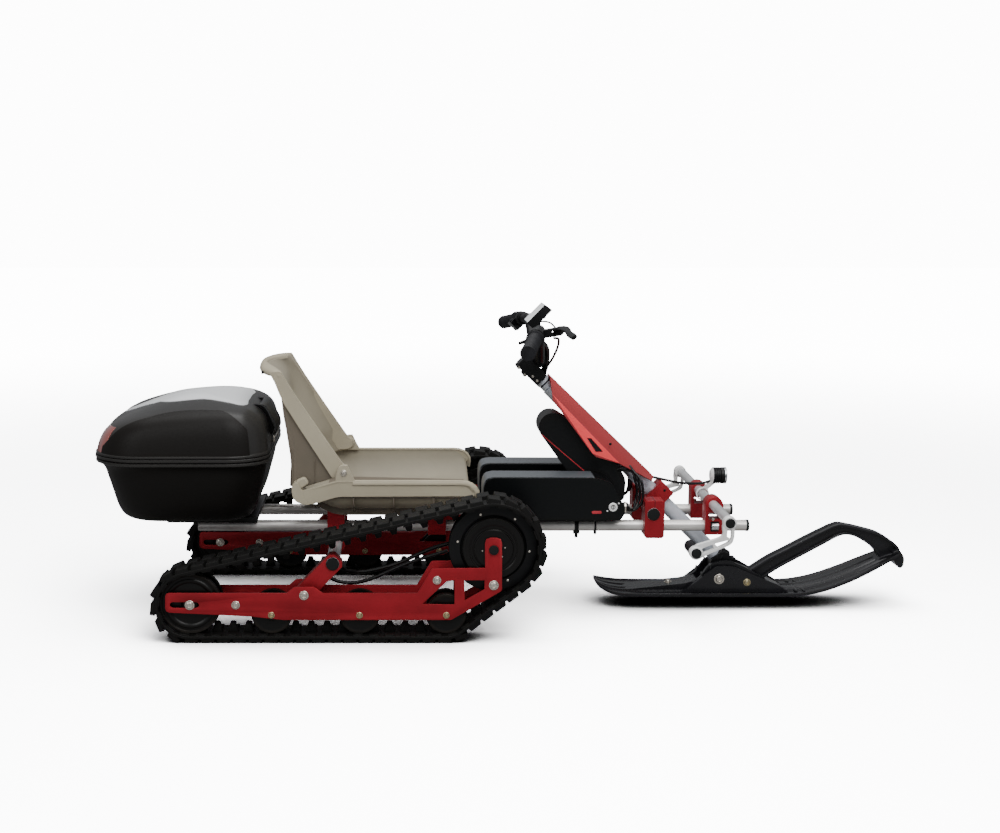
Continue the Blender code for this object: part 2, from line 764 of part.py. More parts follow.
def track_arm(side, word):
    """Flat bar from the rear cross tube's end down to the track's pivot."""
    pivot = Vector((PIVOT_X, PIVOT_Z))
    tube = Vector((REAR_TUBE_X, REAR_TUBE_Z))
    along = (tube - pivot).normalized()
    square = Vector((-along.y, along.x))
    half = ARM_WIDTH / 2
    lower = math.degrees(math.atan2(square.y, square.x))
    outline = arc(pivot.x, pivot.y, half, lower, lower + 180, 6)
    for sign in (-1, 1):
        corner = tube + along * ARM_END + square * half * sign
        outline.append(tuple(corner - along * 0.008) if sign < 0 else tuple(corner - square * 0.008))
        outline.append(tuple(corner + square * 0.008) if sign < 0 else tuple(corner - along * 0.008))
    y_mid = side * TRACK_CENTRE_Y
    arm = slab(outline, y_mid - ARM_THICKNESS / 2, y_mid + ARM_THICKNESS / 2)
    arm = cut(arm,
              rod((PIVOT_X, y_mid - 0.03, PIVOT_Z), (PIVOT_X, y_mid + 0.03, PIVOT_Z),
                  bore(PIVOT_RADIUS, STUD_SIDES, BORE_GAP), STUD_SIDES),
              rod((REAR_TUBE_X, y_mid - 0.03, REAR_TUBE_Z), (REAR_TUBE_X, y_mid + 0.03, REAR_TUBE_Z),
                  bore(CROSS_TUBE_RADIUS, 20), 20))
    return finished(arm, f"track_arm_{word}", "red_alloy")


# Frame


def cross_tube(x, z, half_length, name):
    """Round tube across the kart, closed at both ends by plugs."""
    tube = rod((x, -half_length, z), (x, half_length, z), CROSS_TUBE_RADIUS, 20)
    return finished(tube, name, "bright_alloy")


def rail(side, word):
    """Rail along the kart, with a plug in its front end."""
    y = side * RAIL_Y
    bar = rod((RAIL_REAR_X, y, RAIL_Z), (RAIL_FRONT_X - RAIL_PLUG_LENGTH, y, RAIL_Z), RAIL_RADIUS)
    plug = rod((RAIL_FRONT_X - RAIL_PLUG_LENGTH - 0.001, y, RAIL_Z), (RAIL_FRONT_X, y, RAIL_Z),
               RAIL_RADIUS + 0.001)
    return finished(fuse(bar, plug), f"rail_{word}", "bright_alloy")


def rail_bore(side, x_from, x_to):
    y = side * RAIL_Y
    return rod((x_from, y, RAIL_Z), (x_to, y, RAIL_Z), bore(RAIL_RADIUS, 16))


def tube_bore(x, z, y_from, y_to, radius=CROSS_TUBE_RADIUS):
    return rod((x, y_from, z), (x, y_to, z), bore(radius, 20), 20)


def rear_clamp(side, word):
    """Block that joins a rail to the rear cross tube and carries the seat's rear."""
    half = REAR_CLAMP_LENGTH / 2
    low = REAR_TUBE_Z - CROSS_TUBE_RADIUS - CLAMP_WALL
    high = SEAT_FLOOR_Z - GAP
    outline = rounded([(REAR_TUBE_X - half, low, 0.006), (REAR_TUBE_X + half, low, 0.006),
                       (REAR_TUBE_X + half, high, 0.003), (REAR_TUBE_X - half, high, 0.003)], 1)
    inner = side * RAIL_Y - CLAMP_WIDTH / 2
    outer = side * RAIL_Y + CLAMP_WIDTH / 2
    block = slab(outline, inner, outer)
    block = cut(block, rail_bore(side, REAR_TUBE_X - 0.05, REAR_TUBE_X + 0.05),
                tube_bore(REAR_TUBE_X, REAR_TUBE_Z, inner - 0.01, outer + 0.01))
    return finished(block, f"rear_clamp_{word}", "red_alloy")


def seat_bracket():
    """Bridge over both rails under the seat's front."""
    half = CLAMP_WIDTH / 2
    high = SEAT_FLOOR_Z - GAP
    low = RAIL_Z - RAIL_RADIUS - CLAMP_WALL
    outer = RAIL_Y + half
    section = [(-outer, low), (-RAIL_Y + half, low), (-RAIL_Y + half, high - SEAT_BRACKET_PLATE),
               (RAIL_Y - half, high - SEAT_BRACKET_PLATE), (RAIL_Y - half, low), (outer, low),
               (outer, high), (-outer, high)]
    bridge = lengthwise(section, SEAT_BRACKET_X - half, SEAT_BRACKET_X + half)
    bores = [rail_bore(side, SEAT_BRACKET_X - 0.05, SEAT_BRACKET_X + 0.05) for side in (RIGHT, LEFT)]
    return finished(cut(bridge, *bores), "seat_bracket", "red_alloy")


def front_clamp(side, word):
    """Block that joins a rail to the front cross tube, slit at its top."""
    half = FRONT_CLAMP_LENGTH / 2
    x = FRONT_TUBE_X + 0.004
    low = RAIL_Z - FRONT_CLAMP_BOTTOM
    high = FRONT_TUBE_Z + FRONT_CLAMP_TOP
    outline = [(x - half + 0.005, low), (x + half - 0.005, low), (x + half, low + 0.012),
               (x + half, high - 0.004), (x + half - 0.004, high), (FRONT_TUBE_X + 0.0015, high),
               (FRONT_TUBE_X + 0.0015, FRONT_TUBE_Z), (FRONT_TUBE_X - 0.0015, FRONT_TUBE_Z),
               (FRONT_TUBE_X - 0.0015, high), (x - half + 0.004, high), (x - half, high - 0.004),
               (x - half, low + 0.012)]
    ends = sorted((side * FRONT_CLAMP_INNER_Y, side * FRONT_CLAMP_OUTER_Y))
    block = slab(outline, *ends)
    block = cut(block, rail_bore(side, x - 0.05, x + 0.05),
                tube_bore(FRONT_TUBE_X, FRONT_TUBE_Z, ends[0] - 0.01, ends[1] + 0.01))
    return finished(block, f"front_clamp_{word}", "red_alloy")


def column_clamp():
    """Slanted block that holds the head tube on the front cross tube."""
    tube_s = ((FRONT_TUBE_X - COLUMN_X) * math.sin(COLUMN_RAKE)
              - (FRONT_TUBE_Z - COLUMN_Z) * math.cos(COLUMN_RAKE))
    half = COLUMN_CLAMP_HALF_LENGTH
    outline = rounded([(tube_s - half, -COLUMN_CLAMP_BOTTOM, 0.004),
                       (tube_s + half, -COLUMN_CLAMP_BOTTOM, 0.004),
                       (tube_s + half, COLUMN_CLAMP_TOP, 0.003),
                       (tube_s - half, COLUMN_CLAMP_TOP, 0.003)], 1)
    width = COLUMN_CLAMP_HALF_WIDTH
    block = column_slab(outline, -width, width)
    block = cut(block, head_tube_solid(bore(HEAD_TUBE_RADIUS, 20), 0.01),
                tube_bore(FRONT_TUBE_X, FRONT_TUBE_Z, -width - 0.01, width + 0.01))
    return finished(block, "column_clamp", "red_alloy")


def head_tube_solid(radius, extra=0.0):
    return rod(column_point(HEAD_TUBE_FROM - extra, 0), column_point(HEAD_TUBE_TO + extra, 0),
               radius, 20)


def head_tube():
    hole = rod(column_point(HEAD_TUBE_FROM - 0.01, 0), column_point(HEAD_TUBE_TO + 0.01, 0),
               bore(STEERER_RADIUS, 20, BORE_GAP), 20)
    return finished(cut(head_tube_solid(HEAD_TUBE_RADIUS), hole), "head_tube", "bright_alloy")


# Seat


def seat_base():
    """Tray with two side plates, the hinge ears and their bolts."""
    inner_y = SEAT_HALF_WIDTH - SEAT_SIDE_THICKNESS
    wall_foot = SEAT_FLOOR_HALF_WIDTH
    tray_rear = SEAT_HINGE_X + SEAT_EAR_RADIUS
    under = [(wall_foot, SEAT_FLOOR_Z), (wall_foot + 0.018, SEAT_FLOOR_Z + 0.020),
             (inner_y + 0.002, SEAT_FLOOR_Z + 0.050), (inner_y + 0.002, SEAT_RIM_Z)]
    above = [(inner_y - 0.010, SEAT_RIM_Z), (wall_foot + 0.012, SEAT_FLOOR_Z + 0.024),
             (wall_foot - 0.004, SEAT_FLOOR_Z + SEAT_WALL)]
    section = under + above + [(-y, z) for y, z in reversed(above)]
    section += [(-y, z) for y, z in reversed(under)]
    tray = lengthwise(section, tray_rear, SEAT_FRONT_X - 0.006)
    floor = [(tray_rear + 0.002, SEAT_FLOOR_Z), (-0.404, SEAT_FLOOR_Z), (-0.424, 0.268),
             (-0.424, 0.296), (-0.415, 0.296), (-0.415, 0.270), (-0.400, SEAT_FLOOR_Z + SEAT_WALL),
             (tray_rear + 0.002, SEAT_FLOOR_Z + SEAT_WALL)]
    side_low = SEAT_FLOOR_Z + 0.042
    side_plate = [(-0.437, 0.308), (-0.428, 0.286), (-0.410, 0.275), (-0.388, 0.274),
                  (-0.362, side_low), (SEAT_FRONT_X - 0.010, side_low + 0.003),
                  (SEAT_FRONT_X, 0.300), (SEAT_FRONT_X - 0.010, 0.317),
                  (SEAT_FRONT_X - 0.028, SEAT_RIM_Z), (SEAT_HINGE_X + 0.026, SEAT_RIM_Z)]
    side_plate += arc(SEAT_HINGE_X, SEAT_HINGE_Z, SEAT_EAR_RADIUS, 10, 170, 6)
    side_plate += [(SEAT_HINGE_X - 0.030, 0.322)]
    pieces = [slab(floor, -inner_y - 0.002, inner_y + 0.002)]
    for side in (RIGHT, LEFT):
        ends = sorted((side * inner_y, side * SEAT_HALF_WIDTH))
        pieces.append(slab(side_plate, *ends))
        wing_in = inner_y - SEAT_WING_GAP - SEAT_WING_THICKNESS
        start = (SEAT_HINGE_X, side * (wing_in - 0.003), SEAT_HINGE_Z)
        end = (SEAT_HINGE_X, side * (SEAT_HALF_WIDTH + 0.003), SEAT_HINGE_Z)
        pieces.append(rod(start, end, SEAT_BOLT_RADIUS, 10))
    base = fuse(tray, *pieces)
    return finished(base, "seat_base", "seat_plastic")


def seat_back():
    """Folding back: two wings, the panel between them and a rolled top."""
    wing_out = SEAT_HALF_WIDTH - SEAT_SIDE_THICKNESS - SEAT_WING_GAP
    wing_in = wing_out - SEAT_WING_THICKNESS
    wing = [(-0.386, 0.326), (-0.455, 0.312), (-0.479, 0.324), (-0.482, 0.373), (-0.495, 0.464),
            (-0.504, 0.516), (-0.521, 0.556), (-0.538, 0.568), (-0.538, 0.575), (-0.517, 0.583),
            (-0.503, 0.582), (-0.376, 0.361)]
    wing += arc(SEAT_HINGE_X, SEAT_HINGE_Z, SEAT_EAR_RADIUS - 0.003, 80, -80, 4)
    panel = [(-0.455, 0.312), (-0.479, 0.324), (-0.482, 0.373), (-0.495, 0.464), (-0.504, 0.516),
             (-0.521, 0.556), (-0.538, 0.568), (-0.538, 0.575), (-0.517, 0.583), (-0.506, 0.579),
             (-0.506, 0.566), (-0.494, 0.516), (-0.486, 0.464), (-0.474, 0.373), (-0.470, 0.332),
             (-0.452, 0.320)]
    wings = [slab(wing, *sorted((side * wing_in, side * wing_out))) for side in (RIGHT, LEFT)]
    back = fuse(slab(panel, -wing_in - 0.001, wing_in + 0.001), *wings)
    hole = rod((SEAT_HINGE_X, -SEAT_HALF_WIDTH, SEAT_HINGE_Z),
               (SEAT_HINGE_X, SEAT_HALF_WIDTH, SEAT_HINGE_Z),
               bore(SEAT_BOLT_RADIUS, 10, BORE_GAP), 10)
    back = finished(cut(back, hole), "seat_back", "seat_plastic")
    return origin_at(back, SEAT_HINGE_X, 0, SEAT_HINGE_Z)


# Top case


def case_ring(inset_rear, inset_front, inset_side, z_rear, z_front, steps=4):
    """Rounded plan outline of the case, its height sloping from rear to front."""
    x_from = CASE_REAR_X + inset_rear
    x_to = CASE_FRONT_X - inset_front
    half = CASE_HALF_WIDTH - inset_side
    radius = {-1: 0.105, 1: 0.085}
    ring = []
    for x_sign, y_sign, start in ((1, 1, 0), (-1, 1, 90), (-1, -1, 180), (1, -1, 270)):
        corner = radius[x_sign] * min(1.0, half / CASE_HALF_WIDTH)
        x_end = x_to if x_sign > 0 else x_from
        centre = (x_end - x_sign * corner, y_sign * (half - corner))
        for step in range(steps + 1):
            angle = math.radians(start + 90 * step / steps)
            x = centre[0] + corner * math.cos(angle)
            y = centre[1] + corner * math.sin(angle)
            share = (x - CASE_REAR_X) / (CASE_FRONT_X - CASE_REAR_X)
            ring.append((x, y, z_rear + (z_front - z_rear) * share))
    return ring


def case_tub():
    """Lower half of the case, open at the top."""
    low = RAIL_Z + RAIL_RADIUS + GAP + RACK_THICKNESS + GAP
    rim = CASE_SEAM_Z - GAP / 2
    rings = [
        case_ring(0.085, 0.060, 0.070, low, low),
        case_ring(0.058, 0.030, 0.052, low + 0.018, low + 0.018),
        case_ring(0.030, 0.016, 0.028, low + 0.075, low + 0.075),
        case_ring(0.006, 0.004, 0.004, rim - 0.012, rim - 0.012),
        case_ring(0.000, 0.000, 0.000, rim, rim),
        case_ring(CASE_WALL, CASE_WALL, CASE_WALL, rim, rim),
        case_ring(0.030 + CASE_WALL, 0.016 + CASE_WALL, 0.028 + CASE_WALL, low + 0.075, low + 0.075),
        case_ring(0.085, 0.060, 0.070, low + CASE_WALL, low + CASE_WALL),
    ]
    return finished(loft(rings), "case_tub", "black_plastic")


def case_lid():
    """Upper half of the case, a domed shell open underneath."""
    rim = CASE_SEAM_Z + GAP / 2
    top = CASE_TOP_Z
    wall = CASE_WALL
    rings = [
        case_ring(0.110, 0.075, 0.110, top - 0.046, top),
        case_ring(0.055, 0.048, 0.070, top - 0.056, top - 0.007),
        case_ring(0.030, 0.026, 0.040, top - 0.075, top - 0.026),
        case_ring(0.008, 0.008, 0.012, rim + 0.030, rim + 0.050),
        case_ring(0.000, 0.000, 0.000, rim + 0.004, rim + 0.004),
        case_ring(0.000, 0.000, 0.000, rim, rim),
        case_ring(wall, wall, wall, rim, rim),
        case_ring(0.008 + wall, 0.008 + wall, 0.012 + wall, rim + 0.030, rim + 0.050),
        case_ring(0.032 + wall, 0.028 + wall, 0.042 + wall, top - 0.080, top - 0.031),
        case_ring(0.110, 0.075, 0.110, top - 0.046 - wall, top - wall),
    ]
    lid = finished(loft(rings), "case_lid", "black_plastic")
    return origin_at(lid, CASE_REAR_X, 0, CASE_SEAM_Z)


LATCH_HINGE = (-0.5580, 0.4791)
LATCH_BACK = [LATCH_HINGE, (-0.5490, 0.4740), (-0.5405, 0.462), (-0.5315, 0.435), (-0.5245, 0.405)]
LATCH_FRONT = [(-0.516, 0.402), (-0.509, 0.428), (-0.522, 0.462), (-0.546, 0.489)]


def case_latch():
    """Pull handle on the case's front face, hinged at its upper edge."""
    latch = slab(LATCH_BACK + LATCH_FRONT, -LATCH_HALF_WIDTH, LATCH_HALF_WIDTH)
    finished(latch, "case_latch", "black_plastic")
    return origin_at(latch, LATCH_HINGE[0], 0, LATCH_HINGE[1])


def case_rack():
    """Plate on the rails' rear ends, under the case."""
    low = RAIL_Z + RAIL_RADIUS + GAP
    plate = box(RACK_REAR_X, RACK_FRONT_X, -RACK_HALF_WIDTH, RACK_HALF_WIDTH, low, low + RACK_THICKNESS)
    return finished(plate, "case_rack", "black_plastic", smooth=False)


# Batteries, controller and front panel


def battery(side, word):
    """Battery on its rail foot."""
    foot_low = RAIL_Z + RAIL_RADIUS + GAP
    low = foot_low + BATTERY_FOOT
    front = BATTERY_FRONT_X
    outline = rounded([
        (BATTERY_REAR_X, low), (BATTERY_REAR_X, BATTERY_TOP_Z, 0.040),
        (front - 0.085, BATTERY_TOP_Z, 0.030), (front - 0.045, BATTERY_TOP_Z - 0.018),
        (front, BATTERY_TOP_Z - 0.075, 0.012), (front, low + 0.012), (front - 0.012, low),
    ], 3)
    half = BATTERY_WIDTH / 2
    foot_half = BATTERY_FOOT_WIDTH / 2
    y = side * RAIL_Y
    shell = slab(outline, y - half, y + half)
    foot = box(BATTERY_REAR_X + 0.020, front - 0.040, y - foot_half, y + foot_half,
               foot_low, low + 0.004)
    return finished(fuse(shell, foot), f"battery_{word}", "gloss_plastic")


def controller():
    """Motor controller's housing, strapped behind the head tube."""
    front_n = -HEAD_TUBE_RADIUS - GAP
    s_top = -0.2395
    top = on_column(s_top, front_n)
    bottom = on_column(0.0125, front_n)
    outline = [top, (0.103, 0.456), (0.083, 0.447), (0.072, 0.422), (0.073, 0.397),
               (0.153, 0.296), (0.211, 0.250), (bottom[0] - 0.016, 0.250),
               (bottom[0] - 0.003, 0.256)]
    outline.append(bottom)
    body = slab(outline, -CONTROLLER_HALF_WIDTH, CONTROLLER_HALF_WIDTH)
    return finished(body, "motor_controller", "black_plastic")


PANEL_ROWS = {
    "fold": ((-0.3068, 0.030, 0.0205), (0.0230, 0.030, 0.0265)),
    "edge": ((-0.2786, 0.060, -0.004), (-0.0601, 0.062, -0.0065), (0.0240, 0.047, 0.0180)),
    "skirt": ((-0.2680, 0.062, -0.014), (-0.2420, 0.064, -0.0160), (-0.1200, 0.067, -0.0340),
              (-0.1080, 0.067, -0.0330)),
}


def panel_point(row, index, side):
    s, y, n = PANEL_ROWS[row][index]
    return column_point(s, n, side * y)


def front_panel():
    """Folded sheet cover over the head tube, with two studs that seat on the tube."""
    bm = bmesh.new()
    corners = {}
    for side in (RIGHT, LEFT):
        for row, places in PANEL_ROWS.items():
            for index in range(len(places)):
                corners[row, index, side] = bm.verts.new(panel_point(row, index, side))
    bm.faces.new([corners["fold", 0, RIGHT], corners["fold", 1, RIGHT],
                  corners["fold", 1, LEFT], corners["fold", 0, LEFT]])
    for side in (RIGHT, LEFT):
        bm.faces.new([corners["fold", 0, side], corners["edge", 0, side],
                      corners["edge", 1, side], corners["edge", 2, side], corners["fold", 1, side]])
        bm.faces.new([corners["edge", 0, side], corners["skirt", 0, side],
                      corners["skirt", 1, side], corners["skirt", 2, side],
                      corners["skirt", 3, side], corners["edge", 1, side]])
    bmesh.ops.triangulate(bm, faces=[face for face in bm.faces if len(face.verts) > 4])
    bmesh.ops.recalc_face_normals(bm, faces=bm.faces)
    up = column_point(0, 1) - column_point(0, 0)
    if sum(face.normal.dot(up) * face.calc_area() for face in bm.faces) < 0:
        bmesh.ops.reverse_faces(bm, faces=bm.faces)
    mesh = bpy.data.meshes.new("panel")
    bm.to_mesh(mesh)
    bm.free()
    panel = bpy.data.objects.new("panel", mesh)
    bpy.context.collection.objects.link(panel)
    solid = panel.modifiers.new("sheet", "SOLIDIFY")
    solid.thickness = PANEL_THICKNESS
    solid.offset = -1.0
    solid.use_even_offset = True
    bake(panel)
    studs = []
    for s, n in ((-0.250, 0.0200), (-0.020, 0.0240)):
        studs.append(rod(column_point(s, HEAD_TUBE_RADIUS + GAP), column_point(s, n),
                         PANEL_STUD_RADIUS, 10))
    return finished(fuse(panel, *studs), "front_panel", "panel_red", smooth=False)


# Foot rests and headlight


def foot_bracket(side, word):
    """Upright plate pair that stands the foot bar on a rail, with a window between."""
    half = FOOT_BRACKET_HALF_LENGTH
    low = RAIL_Z - RAIL_RADIUS - CLAMP_WALL
    outline = [(FOOT_BAR_X - half, low), (FOOT_BAR_X + half, low)]
    outline += arc(FOOT_BAR_X, FOOT_BAR_Z, half, 0, 180, 8)
    inner = side * RAIL_Y - CLAMP_WIDTH / 2
    outer = side * RAIL_Y + CLAMP_WIDTH / 2
    block = slab(outline, inner, outer)
    window = box(FOOT_BAR_X - half + 0.007, FOOT_BAR_X + half - 0.007, inner - 0.01, outer + 0.01,
                 RAIL_Z + RAIL_RADIUS + 0.005, FOOT_BAR_Z - FOOT_BAR_RADIUS - 0.006)
    block = cut(block, rail_bore(side, FOOT_BAR_X - 0.05, FOOT_BAR_X + 0.05), window,
                tube_bore(FOOT_BAR_X, FOOT_BAR_Z, inner - 0.01, outer + 0.01, FOOT_BAR_RADIUS))
    return finished(block, f"foot_bracket_{word}", "red_alloy")


def foot_bar():
    bar = rod((FOOT_BAR_X, -FOOT_BAR_HALF_LENGTH, FOOT_BAR_Z),
              (FOOT_BAR_X, FOOT_BAR_HALF_LENGTH, FOOT_BAR_Z), FOOT_BAR_RADIUS, 20)
    return finished(bar, "foot_bar", "bright_alloy")


def foot_arm(side, word):
    """Skeleton arm on the foot bar's end, with its peg."""
    hub = (FOOT_BAR_X, FOOT_BAR_Z)
    ring = FOOT_ARM_RING
    outline = arc(*hub, ring, 190, 20, 8)
    outline += [(FOOT_BAR_X + 0.024, FOOT_BAR_Z - 0.026), (FOOT_BAR_X + 0.027, FOOT_BAR_Z - 0.042),
                (FOOT_BAR_X + 0.014, FOOT_BAR_Z - 0.062)]
    outline += arc(PEG_X, PEG_Z, ring, -55, -250, 8)
    outline += [(FOOT_BAR_X - 0.008, FOOT_BAR_Z - 0.032)]
    outer = side * FOOT_ARM_OUTER_Y
    inner = outer - side * FOOT_ARM_THICKNESS
    arm = slab(outline, *sorted((inner, outer)))
    windows = [
        [(FOOT_BAR_X + 0.002, FOOT_BAR_Z - 0.026), (FOOT_BAR_X + 0.016, FOOT_BAR_Z - 0.028),
         (FOOT_BAR_X + 0.018, FOOT_BAR_Z - 0.038), (FOOT_BAR_X + 0.004, FOOT_BAR_Z - 0.036)],
        [(PEG_X + 0.024, PEG_Z - 0.006), (FOOT_BAR_X + 0.010, FOOT_BAR_Z - 0.055),
         (FOOT_BAR_X + 0.014, FOOT_BAR_Z - 0.045), (PEG_X + 0.026, PEG_Z + 0.004)],
    ]
    cutters = [slab(window, *sorted((inner - side * 0.01, outer + side * 0.01)))
               for window in windows]
    cutters.append(tube_bore(FOOT_BAR_X, FOOT_BAR_Z, *sorted((inner - side * 0.01,
                                                              outer + side * 0.01)),
                             FOOT_BAR_RADIUS))
    peg = rod((PEG_X, outer + side * 0.003, PEG_Z), (PEG_X, outer - side * PEG_LENGTH, PEG_Z),
              PEG_RADIUS)
    return finished(fuse(cut(arm, *cutters), peg), f"foot_arm_{word}", "bright_alloy")


def headlight():
    """Drum lamp on a stalk whose ring turns on the foot bar."""
    hole = bore(FOOT_BAR_RADIUS, 20)
    ring = [(hole, -0.006), (FOOT_BAR_RADIUS + 0.006, -0.006),
            (FOOT_BAR_RADIUS + 0.006, 0.006), (hole, 0.006)]
    clamp = turned(ring, 20, across(FOOT_BAR_X, LAMP_Y, FOOT_BAR_Z), closed=True)
    stalk_low = FOOT_BAR_Z + FOOT_BAR_RADIUS + 0.002
    stalk = slab([(FOOT_BAR_X - 0.004, stalk_low), (FOOT_BAR_X + 0.006, stalk_low),
                  (LAMP_X + 0.018, LAMP_Z - LAMP_RADIUS + 0.004),
                  (LAMP_X + 0.006, LAMP_Z - LAMP_RADIUS + 0.004)], LAMP_Y - 0.004, LAMP_Y + 0.004)
    drum = rod((LAMP_X, LAMP_Y, LAMP_Z), (LAMP_X + LAMP_LENGTH, LAMP_Y, LAMP_Z), LAMP_RADIUS)
    lamp = finished(fuse(clamp, stalk, drum), "headlight", "gloss_plastic")
    return origin_at(lamp, FOOT_BAR_X, 0, FOOT_BAR_Z)


# Steering


def stem():
    """Block on the steerer with the handlebar's clamp in front."""
    outline = rounded([(STEM_FROM, -STEM_HALF_THICKNESS, 0.005), (STEM_TO, -STEM_HALF_THICKNESS, 0.003),
                       (STEM_TO, STEM_HALF_THICKNESS, 0.003), (STEM_FROM, STEM_HALF_THICKNESS, 0.005)], 1)
    block = column_slab(outline, -STEM_HALF_WIDTH, STEM_HALF_WIDTH)
    centre = column_point(BAR_S, BAR_N)
    drum = rod(centre + Vector((0, -STEM_HALF_WIDTH, 0)), centre + Vector((0, STEM_HALF_WIDTH, 0)),
               BAR_CLAMP_RADIUS, 16)
    block = fuse(block, drum)
    reach = Vector((0, STEM_HALF_WIDTH + 0.01, 0))
    bar_hole = rod(centre - reach, centre + reach, bore(BAR_RADIUS, 16), 16)
    steerer_hole = rod(column_point(STEERER_TOP - GAP, 0), column_point(STEM_TO + 0.01, 0),
                       bore(STEERER_RADIUS, 20), 20)
    return finished(cut(block, bar_hole, steerer_hole), "stem", "black_plastic")


def bar_end_frame(side):
    """Frame at a grip's inner end: X forwards, Y along the bar to the left, Z up."""
    inner = Vector((GRIP_INNER.x, side * GRIP_INNER.y, GRIP_INNER.z))
    outer = Vector((GRIP_OUTER.x, side * GRIP_OUTER.y, GRIP_OUTER.z))
    along = (outer - inner).normalized() * side
    forward = (Vector((1, 0, 0)) - along * along.x).normalized()
    up = forward.cross(along)
    frame = Matrix((forward, along, up)).transposed().to_4x4()
    frame.translation = inner
    return frame


def lever_frame(side):
    return bar_end_frame(side) @ Matrix.Rotation(LEVER_TILT, 4, "Y")


def placed(item, frame):
    item.data.transform(frame)
    return item


def bar_ring(side, start, length, radius, sides=16):
    """Ring on the bar's straight end, from a distance outward of the grip's inner end."""
    hole = bore(BAR_RADIUS, sides)
    profile = [(hole, start), (radius, start), (radius, start + length), (hole, start + length)]
    return turned(profile, sides, bar_end_frame(side) @ frame_along((0, 0, 0), (0, side, 0)),
                  closed=True)


def bar_route():
    """Centre line of the handlebar from its right end to its left end."""
    half = []
    direction = GRIP_OUTER - GRIP_INNER
    share = (BAR_BEND_Y - GRIP_INNER.y) / direction.y
    bend = GRIP_INNER + direction * share
    centre = column_point(BAR_S, BAR_N)
    shoulder = centre + Vector((0, BAR_SHOULDER_Y, 0))
    corners = [centre, shoulder, bend, GRIP_OUTER]
    for before, corner, after in zip(corners, corners[1:], corners[2:]):
        first = corner + (before - corner).normalized() * BAR_BEND_REACH
        last = corner + (after - corner).normalized() * BAR_BEND_REACH
        for step in range(4):
            t = step / 3
            half.append(first * (1 - t) ** 2 + corner * 2 * t * (1 - t) + last * t ** 2)
    half.append(GRIP_OUTER)
    mirrored = [Vector((point.x, -point.y, point.z)) for point in reversed(half)]
    return mirrored + half


def handlebar():
    """Bent bar with the two lever perches and the throttle's housing."""
    bar = as_mesh(swept(bar_route(), BAR_RADIUS, 6))
    extras = []
    for side in (RIGHT, LEFT):
        perch = placed(rod((0, side * PERCH_AT - PERCH_WIDTH / 2, 0),
                           (0, side * PERCH_AT + PERCH_WIDTH / 2, 0), PERCH_RADIUS, 14),
                       bar_end_frame(side))
        fork = placed(box(0.006, LEVER_PIVOT_FORWARD + 0.008, side * PERCH_AT - PERCH_WIDTH / 2,
                          side * PERCH_AT + PERCH_WIDTH / 2, -0.0085, 0.0085), lever_frame(side))
        slot_half = LEVER_THICKNESS / 2 + GAP
        slot = placed(box(LEVER_PIVOT_FORWARD - 0.012, LEVER_PIVOT_FORWARD + 0.02,
                          side * PERCH_AT - PERCH_WIDTH, side * PERCH_AT + PERCH_WIDTH,
                          -slot_half, slot_half), lever_frame(side))
        pin_y = side * PERCH_AT
        pin = placed(rod((LEVER_PIVOT_FORWARD, pin_y, -0.0095), (LEVER_PIVOT_FORWARD, pin_y, 0.0095),
                         LEVER_PIN_RADIUS, 8), lever_frame(side))
        fork = fuse(cut(fork, slot), pin)
        extras += [perch, fork]
    housing_start = -THROTTLE_WIDTH - 0.0015 - GAP - HOUSING_WIDTH
    housing = placed(rod((0, RIGHT * housing_start, 0), (0, RIGHT * (housing_start + HOUSING_WIDTH), 0),
                         HOUSING_RADIUS, 16), bar_end_frame(RIGHT))
    return finished(fuse(bar, housing, *extras), "handlebar", "black_plastic")


def grip(side, word):
    """Rubber grip, closed at its outer end."""
    length = (GRIP_OUTER - GRIP_INNER).length
    hole = bore(BAR_RADIUS, 16)
    profile = [(hole, 0), (GRIP_FLANGE_RADIUS, 0), (GRIP_FLANGE_RADIUS, GRIP_FLANGE),
               (GRIP_RADIUS, GRIP_FLANGE + 0.001), (GRIP_RADIUS, length + GRIP_END_WALL - 0.002),
               (GRIP_RADIUS - 0.002, length + GRIP_END_WALL), (0, length + GRIP_END_WALL),
               (0, length + GAP), (hole, length + GAP)]
    frame = bar_end_frame(side) @ frame_along((0, 0, 0), (0, side, 0))
    sleeve = turned(profile, 16, frame, closed=True)
    return finished(sleeve, f"grip_{word}", "black_rubber")


def brake_lever(side, word):
    """Blade on the perch's pin, in front of the grip."""
    pivot = Vector((LEVER_PIVOT_FORWARD, PERCH_AT))
    tip = LEVER_TIP
    centre_line = [pivot, Vector((0.058, -0.020)), Vector((0.070, 0.010)), Vector((0.076, 0.050)), tip]
    front = [point + Vector((0.0065, -0.002)) for point in centre_line[1:]]
    rear = [point - Vector((0.0060, -0.002)) for point in centre_line[1:]]
    outline = arc(pivot.x, pivot.y, 0.0085, 200, 350, 5) + front
    outline += [(tip.x + 0.004, tip.y + 0.007), (tip.x - 0.004, tip.y + 0.007)]
    outline += list(reversed(rear))
    bm = bmesh.new()
    half = LEVER_THICKNESS / 2
    face = bm.faces.new([bm.verts.new((point[0], side * point[1], -half)) for point in outline])
    grown = bmesh.ops.extrude_face_region(bm, geom=[face])
    moved = [item for item in grown["geom"] if isinstance(item, bmesh.types.BMVert)]
    bmesh.ops.translate(bm, verts=moved, vec=(0, 0, LEVER_THICKNESS))
    blade = object_from(bm, "blade")
    blade = cut(blade, rod((pivot.x, side * pivot.y, -0.02), (pivot.x, side * pivot.y, 0.02),
                           bore(LEVER_PIN_RADIUS, 8), 8))
    placed(blade, lever_frame(side))
    finished(blade, f"brake_lever_{word}", "black_plastic")
    centre = lever_frame(side) @ Vector((pivot.x, side * pivot.y, 0))
    return origin_at(blade, *centre)


